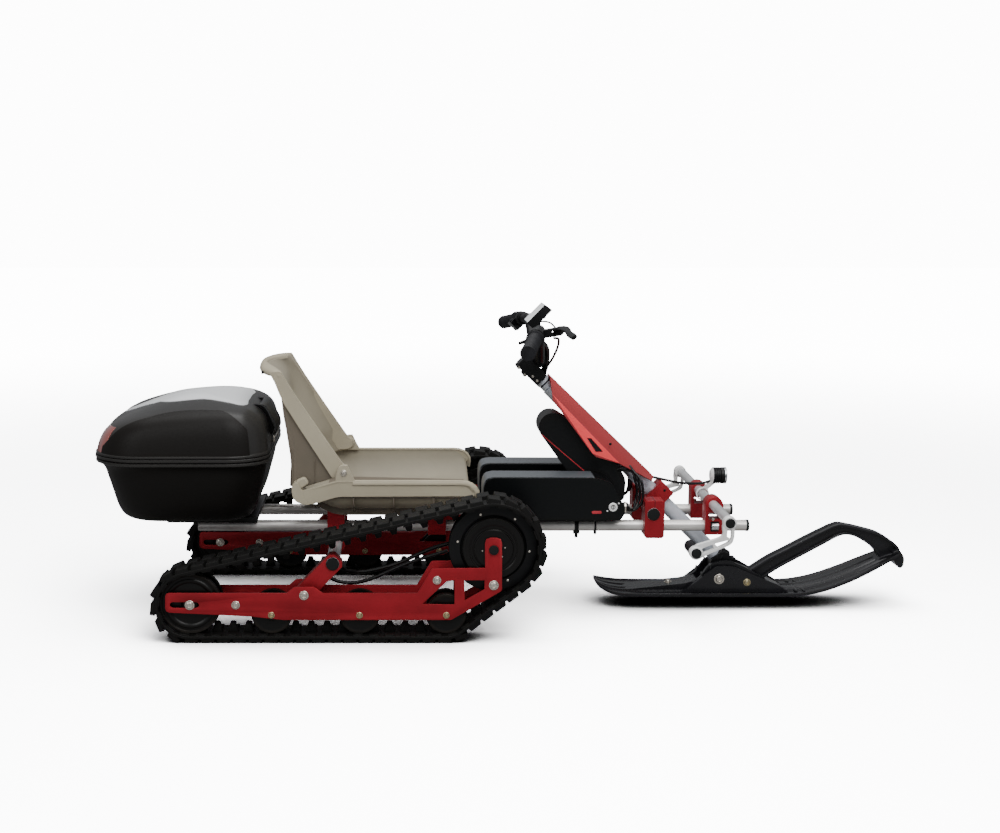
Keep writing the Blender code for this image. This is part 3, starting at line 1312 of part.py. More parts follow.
def thumb_throttle():
    """Ring on the bar inside the right grip, with the thumb's paddle behind it."""
    start = -THROTTLE_WIDTH - 0.0015
    ring = bar_ring(RIGHT, start, THROTTLE_WIDTH, THROTTLE_RADIUS)
    droop = math.radians(200)
    reach = Vector((math.cos(droop), 0, math.sin(droop)))
    lift = Vector((-math.sin(droop), 0, math.cos(droop)))
    y_from = RIGHT * (start + 0.001)
    y_to = RIGHT * (start + THROTTLE_WIDTH - 0.001)
    corners = [reach * 0.013 + lift * 0.004, reach * THROTTLE_REACH + lift * 0.0025,
               reach * THROTTLE_REACH - lift * 0.0025, reach * 0.013 - lift * 0.004]
    paddle = placed(slab([(point.x, point.z) for point in corners], y_from, y_to),
                    bar_end_frame(RIGHT))
    throttle = finished(fuse(ring, paddle), "thumb_throttle", "black_plastic")
    return origin_at(throttle, *bar_end_frame(RIGHT).translation)


POD_OUTLINE = [(-0.026, -0.010), (-0.007, -0.028), (0.020, -0.001), (0.001, 0.019)]


def button_seat():
    """Button's place on the control pod's upper face and the way out, in the bar's frame."""
    low = Vector(POD_OUTLINE[0])
    high = Vector(POD_OUTLINE[3])
    edge = (high - low).normalized()
    return low + edge * BUTTON_FROM_EDGE, Vector((-edge.y, edge.x))


def control_pod():
    """Switch housing on the bar inside the left grip, with a well for its button."""
    y_from = POD_AT - POD_WIDTH / 2
    y_to = POD_AT + POD_WIDTH / 2
    frame = bar_end_frame(LEFT)
    body = placed(slab(POD_OUTLINE, y_from, y_to), frame)
    hole = placed(rod((0, y_from - 0.01, 0), (0, y_to + 0.01, 0), bore(BAR_RADIUS, 16), 16), frame)
    middle, out = button_seat()
    well_floor = middle - out * 0.004
    well_top = middle + out * 0.004
    well = placed(rod((well_floor.x, POD_AT, well_floor.y), (well_top.x, POD_AT, well_top.y),
                      bore(BUTTON_RADIUS, 12), 12), frame)
    return finished(cut(body, hole, well), "control_pod", "gloss_plastic")


def pod_button():
    """Push button, resting its travel above the well's floor."""
    middle, out = button_seat()
    low = middle - out * (0.004 - BUTTON_TRAVEL - GAP)
    high = middle + out * 0.002
    frame = bar_end_frame(LEFT)
    button = placed(rod((low.x, POD_AT, low.y), (high.x, POD_AT, high.y), BUTTON_RADIUS, 12), frame)
    finished(button, "pod_button", "black_rubber")
    centre = frame @ Vector((middle.x, POD_AT, middle.y))
    return origin_at(button, *centre)


def display():
    """Slanted display on an arm whose ring sits on the bar beside the stem."""
    case = slab([(0.043, 0.6475), (0.083, 0.6885), (0.100, 0.677), (0.058, 0.6345)], -0.010, 0.074)
    centre = column_point(BAR_S, BAR_N)
    hole = bore(BAR_RADIUS, 16)
    ring_profile = [(hole, 0.0265), (0.0165, 0.0265), (0.0165, 0.0365), (hole, 0.0365)]
    ring = turned(ring_profile, 16, across(centre.x, 0, centre.z), closed=True)
    arm = slab([(centre.x - 0.006, centre.z + 0.0125), (centre.x + 0.006, centre.z + 0.0125),
                (0.078, 0.660), (0.062, 0.648)], 0.0265, 0.0365)
    return finished(fuse(ring, arm, case), "display", "bright_alloy")


def steering_spindle():
    """Steerer through the head tube, its upper collar and the leg that carries the ski."""
    collar_top = STEM_TO + GAP
    collar_foot = HEAD_TUBE_FROM - GAP
    lower_top = HEAD_TUBE_TO + GAP
    lower_foot = lower_top + 0.012
    profile = [
        (0, STEERER_TOP), (STEERER_RADIUS, STEERER_TOP), (STEERER_RADIUS, collar_top),
        (HEAD_TUBE_RADIUS - 0.0005, collar_top), (HEAD_TUBE_RADIUS - 0.0005, collar_foot),
        (STEERER_RADIUS, collar_foot), (STEERER_RADIUS, lower_top), (0.021, lower_top),
        (0.021, lower_foot), (0, lower_foot),
    ]
    down = column_point(1, 0) - column_point(0, 0)
    shaft = turned(profile, 20, frame_along(column_point(0, 0), down))
    a = on_column(lower_foot - 0.004, -0.016)
    b = on_column(lower_foot - 0.004, 0.016)
    outline = [a, b, (0.508, 0.116), (0.505, SKI_PIVOT_Z)]
    outline += arc(SKI_PIVOT_X, SKI_PIVOT_Z, 0.016, -20, -200, 5)
    outline += [(0.458, 0.098)]
    leg = slab(outline, -SPINDLE_HALF_WIDTH, SPINDLE_HALF_WIDTH)
    outer = SADDLE_INNER_Y + SADDLE_THICKNESS + GAP
    pin_profile = [(0, -outer - 0.006), (0.011, -outer - 0.006), (0.011, -outer),
                   (SKI_PIN_RADIUS, -outer), (SKI_PIN_RADIUS, outer), (0.011, outer),
                   (0.011, outer + 0.006), (0, outer + 0.006)]
    pin = turned(pin_profile, 12, across(SKI_PIVOT_X, 0, SKI_PIVOT_Z))
    return finished(fuse(shaft, leg, pin), "steering_spindle", "black_plastic")


# Ski

SKI_STATIONS = [
    # x, underside, thickness, half width, keel
    (0.207, 0.047, 0.006, 0.040, 0.0),
    (0.222, 0.035, 0.008, 0.052, 0.0),
    (0.250, 0.022, 0.010, 0.062, 0.0),
    (0.292, 0.011, 0.013, 0.068, 0.0),
    (0.350, 0.006, 0.016, 0.070, 0.0),
    (0.400, 0.006, 0.017, 0.070, 1.0),
    (0.600, 0.006, 0.018, 0.070, 1.0),
    (0.650, 0.010, 0.017, 0.070, 0.0),
    (0.720, 0.023, 0.016, 0.070, 0.0),
    (0.800, 0.044, 0.015, 0.068, 0.0),
    (0.860, 0.073, 0.014, 0.062, 0.0),
    (0.903, 0.099, 0.012, 0.044, 0.0),
]


def ski_section(x, underside, thickness, half_width, keel):
    """Front-view ring of the blade: flat top, slanting edges and a keel in the middle."""
    top = underside + thickness
    edge = half_width - SKI_EDGE_IN
    keel_low = underside - SKI_KEEL * keel
    half_keel = SKI_KEEL_HALF_WIDTH
    half = [(half_width, top), (half_width, top - thickness * 0.4), (edge, underside),
            (half_keel, underside), (half_keel * 0.8, keel_low)]
    ring = half + [(-y, z) for y, z in reversed(half)]
    return [(x, y, z) for y, z in ring]


def ski():
    """Blade, raised front loop and the saddle that the spindle's leg stands in."""
    blade = loft([ski_section(*station) for station in SKI_STATIONS])
    loop = [(0.545, 0.018), (0.540, 0.060), (0.558, 0.075), (0.750, 0.184), (0.766, 0.189),
            (0.777, 0.189), (0.836, 0.176), (0.885, 0.151), (0.908, 0.124), (0.916, 0.108),
            (0.914, 0.098), (0.903, 0.094), (0.880, 0.090), (0.850, 0.074), (0.770, 0.044),
            (0.700, 0.028), (0.620, 0.017)]
    window = [(0.600, 0.072), (0.764, 0.165), (0.774, 0.166), (0.817, 0.153), (0.846, 0.128),
              (0.852, 0.112), (0.853, 0.082), (0.770, 0.050), (0.700, 0.033), (0.625, 0.021)]
    width = LOOP_HALF_WIDTH
    loop_solid = cut(slab(loop, -width, width), slab(window, -width - 0.01, width + 0.01))
    saddle = [(0.421, 0.014), (0.421, 0.057), (0.443, 0.059), (0.472, 0.088), (0.482, 0.095),
              (0.514, 0.095), (0.542, 0.086), (0.604, 0.062), (0.604, 0.014)]
    plates = []
    for side in (RIGHT, LEFT):
        ends = sorted((side * SADDLE_INNER_Y, side * (SADDLE_INNER_Y + SADDLE_THICKNESS)))
        plates.append(slab(saddle, *ends))
    bolt_y = SADDLE_INNER_Y + SADDLE_THICKNESS + 0.003
    plates.append(rod((0.551, -bolt_y, 0.060), (0.551, bolt_y, 0.060), 0.006, 8))
    whole = fuse(blade, loop_solid, *plates)
    hole = rod((SKI_PIVOT_X, -0.06, SKI_PIVOT_Z), (SKI_PIVOT_X, 0.06, SKI_PIVOT_Z),
               bore(SKI_PIN_RADIUS, 12, BORE_GAP), 12)
    whole = finished(cut(whole, hole), "ski", "gloss_plastic")
    return origin_at(whole, SKI_PIVOT_X, 0, SKI_PIVOT_Z)


# Cords

BRAKE_CABLE_FOOT_S = -0.322


def motor_cable():
    """Lead from one hub motor to the other, hung under the rear cross tube."""
    axle_end = TRACK_CENTRE_Y - PLATE_OUT - HEAD_HEIGHT - GAP
    low = REAR_TUBE_Z - CROSS_TUBE_RADIUS - CLAMP_WALL - GAP - MOTOR_CABLE_RADIUS
    half = [(REAR_TUBE_X, 0.000, low), (REAR_TUBE_X, 0.120, low), (REAR_TUBE_X, 0.160, low),
            (-0.372, 0.206, 0.132), (-0.335, 0.224, 0.127), (-0.260, 0.224, 0.142),
            (-0.165, 0.222, 0.182), (-0.095, 0.222, 0.198), (DRIVE_X - 0.016, 0.225, DRIVE_Z),
            (DRIVE_X - 0.002, 0.234, DRIVE_Z), (DRIVE_X, 0.242, DRIVE_Z),
            (DRIVE_X, axle_end, DRIVE_Z)]
    route = [(x, -y, z) for x, y, z in reversed(half[1:])] + half
    cord = swept(smooth_route(route, MOTOR_CABLE_RADIUS * 5), MOTOR_CABLE_RADIUS, 2)
    return finished(cord, "motor_cable", "black_rubber")


def light_cable():
    """Lead from under the front panel to the headlight's back."""
    end = LAMP_X - GAP
    route = [(0.3345, LAMP_Y, 0.3000), (0.350, LAMP_Y, 0.3020), (0.372, LAMP_Y, 0.2960),
             (0.405, LAMP_Y, 0.2830), (0.435, LAMP_Y, 0.2820), (0.450, LAMP_Y, 0.2880),
             (end - 0.008, LAMP_Y, 0.2915), (end, LAMP_Y, 0.2915)]
    cord = swept(smooth_route(route, LIGHT_CABLE_RADIUS * 5), LIGHT_CABLE_RADIUS, 2)
    return finished(cord, "light_cable", "black_rubber")


def brake_cable():
    """Thin lead from the right lever's perch down to the stem."""
    perch = lever_frame(RIGHT) @ Vector((0.030, RIGHT * PERCH_AT, -0.0085 - GAP))
    under = lever_frame(RIGHT) @ Vector((0.030, RIGHT * PERCH_AT, -0.020))
    foot = column_point(BRAKE_CABLE_FOOT_S, STEM_HALF_THICKNESS + GAP, -0.012)
    before = column_point(BRAKE_CABLE_FOOT_S, STEM_HALF_THICKNESS + 0.012, -0.013)
    route = [perch, under, (0.106, -0.165, 0.600), (0.103, -0.110, 0.575), (0.098, -0.050, 0.556),
             before, foot]
    cord = swept(smooth_route(route, BRAKE_CABLE_RADIUS * 5), BRAKE_CABLE_RADIUS, 2)
    return finished(cord, "brake_cable", "black_rubber")


def build():
    for item in list(bpy.data.objects):
        bpy.data.objects.remove(item)
    for word, side in SIDES.items():
        track(side, word)
        track_arm(side, word)
        rail(side, word)
        rear_clamp(side, word)
        front_clamp(side, word)
        battery(side, word)
        foot_bracket(side, word)
        foot_arm(side, word)
    cross_tube(REAR_TUBE_X, REAR_TUBE_Z, REAR_TUBE_HALF_LENGTH, "rear_cross_tube")
    cross_tube(FRONT_TUBE_X, FRONT_TUBE_Z, FRONT_TUBE_HALF_LENGTH, "front_cross_tube")
    seat_bracket()
    column_clamp()
    head_tube()
    seat_base()
    seat_back()
    case_rack()
    case_tub()
    lid = case_lid()
    carry(lid, case_latch())
    controller()
    front_panel()
    foot_bar()
    headlight()
    steering = empty_at("steering_axis", *column_point(0, 0))
    carry(steering, stem(), handlebar(), display(), control_pod(), pod_button(), thumb_throttle(),
          steering_spindle(), ski(), brake_cable())
    for word, side in SIDES.items():
        carry(steering, grip(side, word), brake_lever(side, word))
    motor_cable()
    light_cable()


build()
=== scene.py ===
import math

import bmesh
import bpy
from mathutils import Matrix, Vector


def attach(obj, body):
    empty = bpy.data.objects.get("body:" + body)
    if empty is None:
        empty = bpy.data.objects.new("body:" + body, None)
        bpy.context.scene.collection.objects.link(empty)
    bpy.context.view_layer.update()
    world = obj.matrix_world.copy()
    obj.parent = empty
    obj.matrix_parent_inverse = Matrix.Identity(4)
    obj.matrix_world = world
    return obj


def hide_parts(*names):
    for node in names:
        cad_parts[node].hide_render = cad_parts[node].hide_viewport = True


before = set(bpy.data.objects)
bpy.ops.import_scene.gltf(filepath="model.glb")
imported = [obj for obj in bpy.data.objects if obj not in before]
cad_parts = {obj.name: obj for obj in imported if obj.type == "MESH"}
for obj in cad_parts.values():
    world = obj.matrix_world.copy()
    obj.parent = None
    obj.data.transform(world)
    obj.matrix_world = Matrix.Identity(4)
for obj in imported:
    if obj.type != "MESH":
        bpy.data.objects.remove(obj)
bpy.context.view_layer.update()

bl_info = {
    "name": "Snow Kart",
    "version": (1, 0, 0),
    "blender": (4, 5, 0),
    "location": "View3D > Sidebar > Snow Kart",
    "description": "Builds the dressed snow kart piece by piece",
    "category": "Object",
}

SIDES = {"right": -1, "left": 1}
PLACES = ("rear", "middle", "front")

# Track module
TRACK_Y = 0.29
PLATE_OUT = 0.036
PLATE_THICKNESS = 0.005
BELT_WIDTH = 0.09
BELT_CARCASS = 0.007
BELT_PITCH = 0.0333
GUIDE_HEIGHT = 0.022
WHEEL_CLEARANCE = 0.0008
IDLER = Vector((-0.686, 0.081))
BOGIE_X = {"rear": -0.514, "middle": -0.328, "front": -0.145}
BOGIE_Z = 0.059
DRIVE = Vector((-0.046, 0.2))
IDLER_RADIUS = 0.0652
BOGIE_RADIUS = 0.0432
DRIVE_RADIUS = 0.0937
PIVOT = Vector((-0.445, 0.102))
SPACERS = ((-0.589, 0.081), (-0.165, 0.135))

# Frame
REAR_TUBE = Vector((-0.385, 0.165))
REAR_TUBE_HALF = 0.309
FRONT_TUBE = Vector((0.3215, 0.2315))
FRONT_TUBE_HALF = 0.1205
CROSS_TUBE_RADIUS = 0.014
CAP_RADIUS = 0.0147
RAIL_Y = 0.087
RAIL_Z = 0.2
RAIL_RADIUS = 0.0125
RAIL_ENDS = (-0.694, 0.534)

# Steering column, s down its 45 degree axis and n in front of it
COLUMN = Vector((0.2985, 0.2985))
HEAD_TUBE_RADIUS = 0.017
HEAD_TUBE_ENDS = (-0.2864, 0.2312)
BAR_S = -0.352
BAR_N = 0.0275
GRIP_INNER = Vector((0.0415, 0.24, 0.6345))
GRIP_OUTER = Vector((0.0175, 0.355, 0.6175))
# The levers' blades are turned up about their rear ends
LEVER_TURN = math.radians(-27)

# Seat
HINGE = Vector((-0.364, 0.342))
SEAT_RIM_Z = 0.3255
TRAY_FLOOR_Z = 0.2525
WING_OUT = 0.188

# Top case
CASE_REAR = -0.916
CASE_FRONT = -0.527
CASE_HALF = 0.25
CASE_SEAM = 0.378
CASE_LOW = 0.2271
CASE_BOW = 0.008
CASE_REAR_CORNER = 0.11
CASE_FRONT_CORNER = 0.085
LID_RISE = 0.119
LID_PEAK_X = -0.62

# Batteries, panel, foot rests, headlight and ski
BATTERY_X = (-0.0575, 0.257)
BATTERY_TOP = 0.317
FOOT_BAR = Vector((0.456, 0.2505))
FOOT_HUB = Vector((0.4525, 0.252))
FOOT_BAR_RADIUS = 0.0105
FOOT_BAR_HALF = 0.304
PEG = Vector((0.383, 0.187))
LAMP = Vector((0.4735, 0.02, 0.294))
SKI_PIVOT = Vector((0.487, 0.065))

# Ski: (x, height of the underside, half width) of the blade, and (x, z) lines of its front loop
SKI_ROWS = (
    (0.2065, 0.052, 0.008),
    (0.209, 0.049, 0.03),
    (0.218, 0.043, 0.05),
    (0.24, 0.0355, 0.066),
    (0.28, 0.0308, 0.07),
    (0.38, 0.03, 0.07),
    (0.48, 0.03, 0.07),
    (0.58, 0.03, 0.07),
    (0.65, 0.0305, 0.07),
    (0.69, 0.0345, 0.07),
    (0.733, 0.045, 0.069),
    (0.784, 0.064, 0.066),
    (0.83, 0.085, 0.06),
    (0.87, 0.104, 0.05),
    (0.9, 0.115, 0.034),
)
LOOP_OUTER = ((0.548, 0.066), (0.57, 0.083), (0.608, 0.108), (0.644, 0.127), (0.69, 0.152),
              (0.736, 0.1755), (0.751, 0.1825), (0.767, 0.1865), (0.79, 0.183), (0.82, 0.176),
              (0.857, 0.165), (0.889, 0.146), (0.904, 0.131), (0.909, 0.115), (0.907, 0.1))
LOOP_INNER = ((0.59, 0.056), (0.63, 0.083), (0.68, 0.111), (0.73, 0.139), (0.768, 0.1595),
              (0.794, 0.16), (0.821, 0.147), (0.848, 0.127), (0.86, 0.108), (0.862, 0.096))

# Studio: how bright the paper and the backdrop look, and the light that the room gives
PAPER = 7.0
BACKDROP = 13.0
ROOM = 0.34
CAMERA_AT = (-0.249, -3.5237, 0.9654)
CAMERA_TURN = math.radians(81)
# Name, place, point that it looks at, size in metres and power of each lamp
LIGHTS = (("key", (0.5, -1.9, 2.5), (0.0, 0.0, 0.2), 2.0, 80.0),
          ("overhead", (-0.2, 0.5, 2.8), (-0.1, 0.0, 0.2), 2.6, 62.0),
          ("fill", (-2.2, -2.6, 1.9), (0.0, 0.0, 0.3), 1.6, 34.0))


def linear(code):
    """Linear RGBA of an sRGB hex code."""
    channels = [int(code[i:i + 2], 16) / 255 for i in (0, 2, 4)]
    return (*[c / 12.92 if c <= 0.04045 else ((c + 0.055) / 1.055) ** 2.4 for c in channels], 1.0)


class SnowKartSizes(bpy.types.PropertyGroup):
    """Sizes that a user may change"""
    lug_height: bpy.props.FloatProperty(
        name="Lug Height", description="Height of the belt's outer lugs",
        default=0.008, unit="LENGTH")
    lug_length: bpy.props.FloatProperty(
        name="Lug Length", description="Length of one lug along the belt",
        default=0.0284, unit="LENGTH")
    edge_round: bpy.props.FloatProperty(
        name="Plate Edge", description="Rounding of the cut metal plates' edges",
        default=0.0007, unit="LENGTH")
    bolt_head: bpy.props.FloatProperty(
        name="Bolt Head", description="Radius of the socket heads on the track plates",
        default=0.0068, unit="LENGTH")
    grip_ribs: bpy.props.IntProperty(
        name="Grip Ribs", description="Number of ribs on each grip", default=24)
    seat_wall: bpy.props.FloatProperty(
        name="Seat Wall", description="Thickness of the seat's moulded walls",
        default=0.005, unit="LENGTH")


class SnowKartColours(bpy.types.PropertyGroup):
    """sRGB hex colours that a user may change"""
    red_alloy: bpy.props.StringProperty(
        name="Red Alloy", description="Anodised plates, arms and clamps", default="98242C")
    panel: bpy.props.StringProperty(
        name="Front Panel", description="Painted sheet of the front panel", default="963234")
    # The flange colour is a brighter copy of the panel's paint: painted light for the light that falls on
    # the sideways flanges
    panel_flange_painted_light: bpy.props.StringProperty(
        name="Panel Flange", description="Brighter paint of the panel's lower flange",
        default="F4484C")
    seat: bpy.props.StringProperty(name="Seat", description="Moulded seat plastic", default="A39B87")
    case: bpy.props.StringProperty(
        name="Top Case", description="Textured case plastic", default="110E0C")
    case_trim: bpy.props.StringProperty(
        name="Case Trim", description="Silver top of the lid", default="F2F5F8")
    rubber: bpy.props.StringProperty(
        name="Belt Rubber", description="Rubber of the belts", default="070605")


def add_node(tree, kind, settings=None, inputs=None):
    """Add a node, set its properties, and fill or link its inputs."""
    made = tree.nodes.new(kind)
    for name, value in (settings or {}).items():
        setattr(made, name, value)
    for key, value in (inputs or {}).items():
        if isinstance(value, bpy.types.NodeSocket):
            tree.links.new(value, made.inputs[key])
        else:
            made.inputs[key].default_value = value
    return made


def started(name, roughness, metallic=0.0, specular=0.5):
    """New material with its tree, shader and object coordinates."""
    made = bpy.data.materials.new(name)
    made.use_nodes = True
    tree = made.node_tree
    shader = tree.nodes["Principled BSDF"]
    shader.inputs["Roughness"].default_value = roughness
    shader.inputs["Metallic"].default_value = metallic
    shader.inputs["Specular IOR Level"].default_value = specular
    place = add_node(tree, "ShaderNodeTexCoord").outputs["Object"]
    return made, tree, shader, place


def two_tones(tree, shader, source, first, last, low=0.0, high=1.0):
    """Base colour that runs from one tone to another as a pattern rises."""
    ramp = add_node(tree, "ShaderNodeValToRGB", None, {"Fac": source})
    for element, position, code in zip(ramp.color_ramp.elements, (low, high), (first, last)):
        element.position = position
        element.color = linear(code)
    tree.links.new(ramp.outputs["Color"], shader.inputs["Base Color"])


def mottled(tree, shader, place, light, dark, patch, low=0.35, high=0.65):
    """Colour that drifts between two tones over patches of a real size."""
    noise = add_node(tree, "ShaderNodeTexNoise", None,
                     {"Vector": place, "Scale": 1 / patch, "Detail": 4.0, "Roughness": 0.55})
    two_tones(tree, shader, noise.outputs["Fac"], dark, light, low, high)
    return noise


def grained(tree, shader, source, low=0.0, high=0.0, depth=0.0, strength=0.0):
    """A pattern's roughness between two limits, and its bump of a real depth in metres."""
    if high:
        spread = add_node(tree, "ShaderNodeMapRange", None,
                          {"Value": source, "To Min": low, "To Max": high})
        tree.links.new(spread.outputs["Result"], shader.inputs["Roughness"])
    if depth:
        bump = add_node(tree, "ShaderNodeBump", None,
                        {"Height": source, "Distance": depth, "Strength": strength})
        tree.links.new(bump.outputs["Normal"], shader.inputs["Normal"])


def darker(code, share):
    """Hex code scaled towards black."""
    return "".join(f"{min(255, int(int(code[i:i + 2], 16) * share)):02X}" for i in (0, 2, 4))


def anodised_red():
    """Bead-blasted aluminium plate, anodised red: satin, with a fine even grain."""
    code = bpy.context.scene.snow_kart_colours.red_alloy
    made, tree, shader, place = started("red_anodised_aluminium", 0.38, 0.45, 0.2)
    mottled(tree, shader, place, darker(code, 1.08), darker(code, 0.93), 0.12)
    # A 0.1 mm blast grain is drawn at 0.7 mm so that it shows
    grain = add_node(tree, "ShaderNodeTexNoise", None,
                     {"Vector": place, "Scale": 1 / 0.0007, "Detail": 3.0})
    grained(tree, shader, grain.outputs["Fac"], 0.32, 0.46, 0.00008, 0.35)
    return made


def painted_panel(name, code):
    """Powder-coated sheet metal: an even coral red under a soft gloss with orange peel."""
    made, tree, shader, place = started(name, 0.42, 0.0, 0.3)
    mottled(tree, shader, place, darker(code, 1.03), darker(code, 0.96), 0.09)
    peel = add_node(tree, "ShaderNodeTexNoise", None,
                    {"Vector": place, "Scale": 1 / 0.0018, "Detail": 2.0})
    grained(tree, shader, peel.outputs["Fac"], 0.36, 0.5, 0.0001, 0.3)
    shader.inputs["Coat Weight"].default_value = 0.25
    shader.inputs["Coat Roughness"].default_value = 0.18
    return made


def brushed_aluminium(name, stretch, code="CFD0D1", roughness=0.3):
    """Drawn aluminium with long fine brush lines along one axis that blur the highlight."""
    made, tree, shader, place = started(name, roughness, 0.5)
    mottled(tree, shader, place, code, darker(code, 0.9), 0.06)
    # Brush lines 0.3 mm apart, drawn at 0.6 mm so that they show, and 40 mm long
    lined = add_node(tree, "ShaderNodeMapping", None,
                     {"Vector": place, "Scale": tuple(1 / 0.04 if axis == stretch else 1 / 0.0006
                                                      for axis in "XYZ")})
    lines = add_node(tree, "ShaderNodeTexNoise", None,
                     {"Vector": lined.outputs["Vector"], "Scale": 1.0, "Detail": 3.0})
    grained(tree, shader, lines.outputs["Fac"], roughness - 0.07, roughness + 0.1, 0.00003, 0.3)
    return made


def tumbled_aluminium():
    """Machined and tumbled alloy of the foot rests: pale, satin and slightly cloudy."""
    made, tree, shader, place = started("tumbled_aluminium", 0.42, 0.25)
    cloud = mottled(tree, shader, place, "F6F6F4", "E9E9E7", 0.018)
    grained(tree, shader, cloud.outputs["Fac"], 0.34, 0.5)
    grain = add_node(tree, "ShaderNodeTexNoise", None,
                     {"Vector": place, "Scale": 1 / 0.0008, "Detail": 2.0})
    grained(tree, shader, grain.outputs["Fac"], depth=0.00006, strength=0.3)
    return made


def plated_steel(name, code):
    """Zinc-plated steel of bolts and washers: bright, with a faint crystalline haze."""
    made, tree, shader, place = started(name, 0.24, 1.0)
    mottled(tree, shader, place, code, darker(code, 0.8), 0.004)
    haze = add_node(tree, "ShaderNodeTexVoronoi", None, {"Vector": place, "Scale": 1 / 0.0012})
    grained(tree, shader, haze.outputs["Distance"], 0.18, 0.34, 0.00003, 0.25)
    return made


def moulded_rubber(name, code, grain=0.0016, roughness=0.62):
    """Moulded rubber: near black, dusty where it is worn, with a fine matt grain."""
    made, tree, shader, place = started(name, roughness, 0.0, 0.2)
    mottled(tree, shader, place, darker(code, 1.3), darker(code, 0.85), 0.022, 0.4, 0.72)
    fine = add_node(tree, "ShaderNodeTexNoise", None,
                    {"Vector": place, "Scale": 1 / grain, "Detail": 4.0, "Roughness": 0.65})
    grained(tree, shader, fine.outputs["Fac"], roughness - 0.14, roughness + 0.14, 0.00025, 0.45)
    return made


def textured_plastic(name, code, roughness=0.45, grain=0.0011, depth=0.00012, specular=0.22):
    """Injection-moulded plastic with the leathery spark-eroded grain of its mould."""
    made, tree, shader, place = started(name, roughness, 0.0, specular)
    mottled(tree, shader, place, darker(code, 1.02), darker(code, 0.97), 0.11)
    # Grain cells of about half a millimetre, drawn twice as coarse so that they show
    cells = add_node(tree, "ShaderNodeTexVoronoi", {"feature": "SMOOTH_F1"},
                     {"Vector": place, "Scale": 1 / grain, "Smoothness": 0.6})
    grained(tree, shader, cells.outputs["Distance"], roughness - 0.06, roughness + 0.08, depth, 0.35)
    return made


def gloss_plastic(name, code, roughness=0.16):
    """Polished black ABS: a deep, slightly wavy mirror with fine handling haze."""
    made, tree, shader, place = started(name, roughness, 0.0, 0.35)
    mottled(tree, shader, place, darker(code, 1.1), darker(code, 0.92), 0.05)
    wave = add_node(tree, "ShaderNodeTexNoise", None,
                    {"Vector": place, "Scale": 1 / 0.012, "Detail": 2.0})
    grained(tree, shader, wave.outputs["Fac"], roughness - 0.05, roughness + 0.08, 0.0001, 0.2)
    return made


def silver_paint():
    """Silver-painted trim: fine metal flake under clear lacquer."""
    code = bpy.context.scene.snow_kart_colours.case_trim
    made, tree, shader, place = started("silver_lacquer", 0.34, 0.12)
    flake = add_node(tree, "ShaderNodeTexVoronoi", None, {"Vector": place, "Scale": 1 / 0.001})
    two_tones(tree, shader, flake.outputs["Distance"], darker(code, 1.05), darker(code, 0.94))
    grained(tree, shader, flake.outputs["Distance"], 0.28, 0.4)
    shader.inputs["Coat Weight"].default_value = 0.5
    shader.inputs["Coat Roughness"].default_value = 0.08
    return made


def reflector_plastic():
    """Red reflector: clear acrylic over small moulded prisms."""
    made, tree, shader, place = started("red_reflector", 0.16)
    prisms = add_node(tree, "ShaderNodeTexVoronoi", {"distance": "CHEBYCHEV"},
                      {"Vector": place, "Scale": 1 / 0.0028, "Randomness": 0.0})
    two_tones(tree, shader, prisms.outputs["Distance"], "9A4A42", "6A2822")
    grained(tree, shader, prisms.outputs["Distance"], depth=0.0004, strength=0.4)
    shader.inputs["Coat Weight"].default_value = 1.0
    shader.inputs["Coat Roughness"].default_value = 0.05
    return made


def clear_lens():
    """Clear polycarbonate lens, thick enough to bend what lies behind it."""
    made, tree, shader, place = started("clear_lens", 0.03)
    flow = add_node(tree, "ShaderNodeTexNoise", None,
                    {"Vector": place, "Scale": 1 / 0.009, "Detail": 1.0})
    grained(tree, shader, flow.outputs["Fac"], 0.02, 0.06, 0.00015, 0.2)
    shader.inputs["Base Color"].default_value = linear("F2F5F7")
    shader.inputs["Transmission Weight"].default_value = 0.85
    shader.inputs["IOR"].default_value = 1.58
    return made


def display_glass_painted_glow():
    """Liquid crystal display: pale grey glass with a dot grid, and a faint painted glow that brightens it.
    """
    made, tree, shader, place = started("display_glass_painted_glow", 0.12)
    dots = add_node(tree, "ShaderNodeTexVoronoi", None,
                    {"Vector": place, "Scale": 1 / 0.0012, "Randomness": 0.0})
    two_tones(tree, shader, dots.outputs["Distance"], "DDE3E4", "C9D1D3")
    grained(tree, shader, dots.outputs["Distance"], 0.1, 0.18)
    shader.inputs["Coat Weight"].default_value = 0.6
    # Painted glow: a faint emission that brightens the grey glass
    shader.inputs["Emission Color"].default_value = (1.0, 1.0, 1.0, 1.0)
    shader.inputs["Emission Strength"].default_value = 0.7
    return made


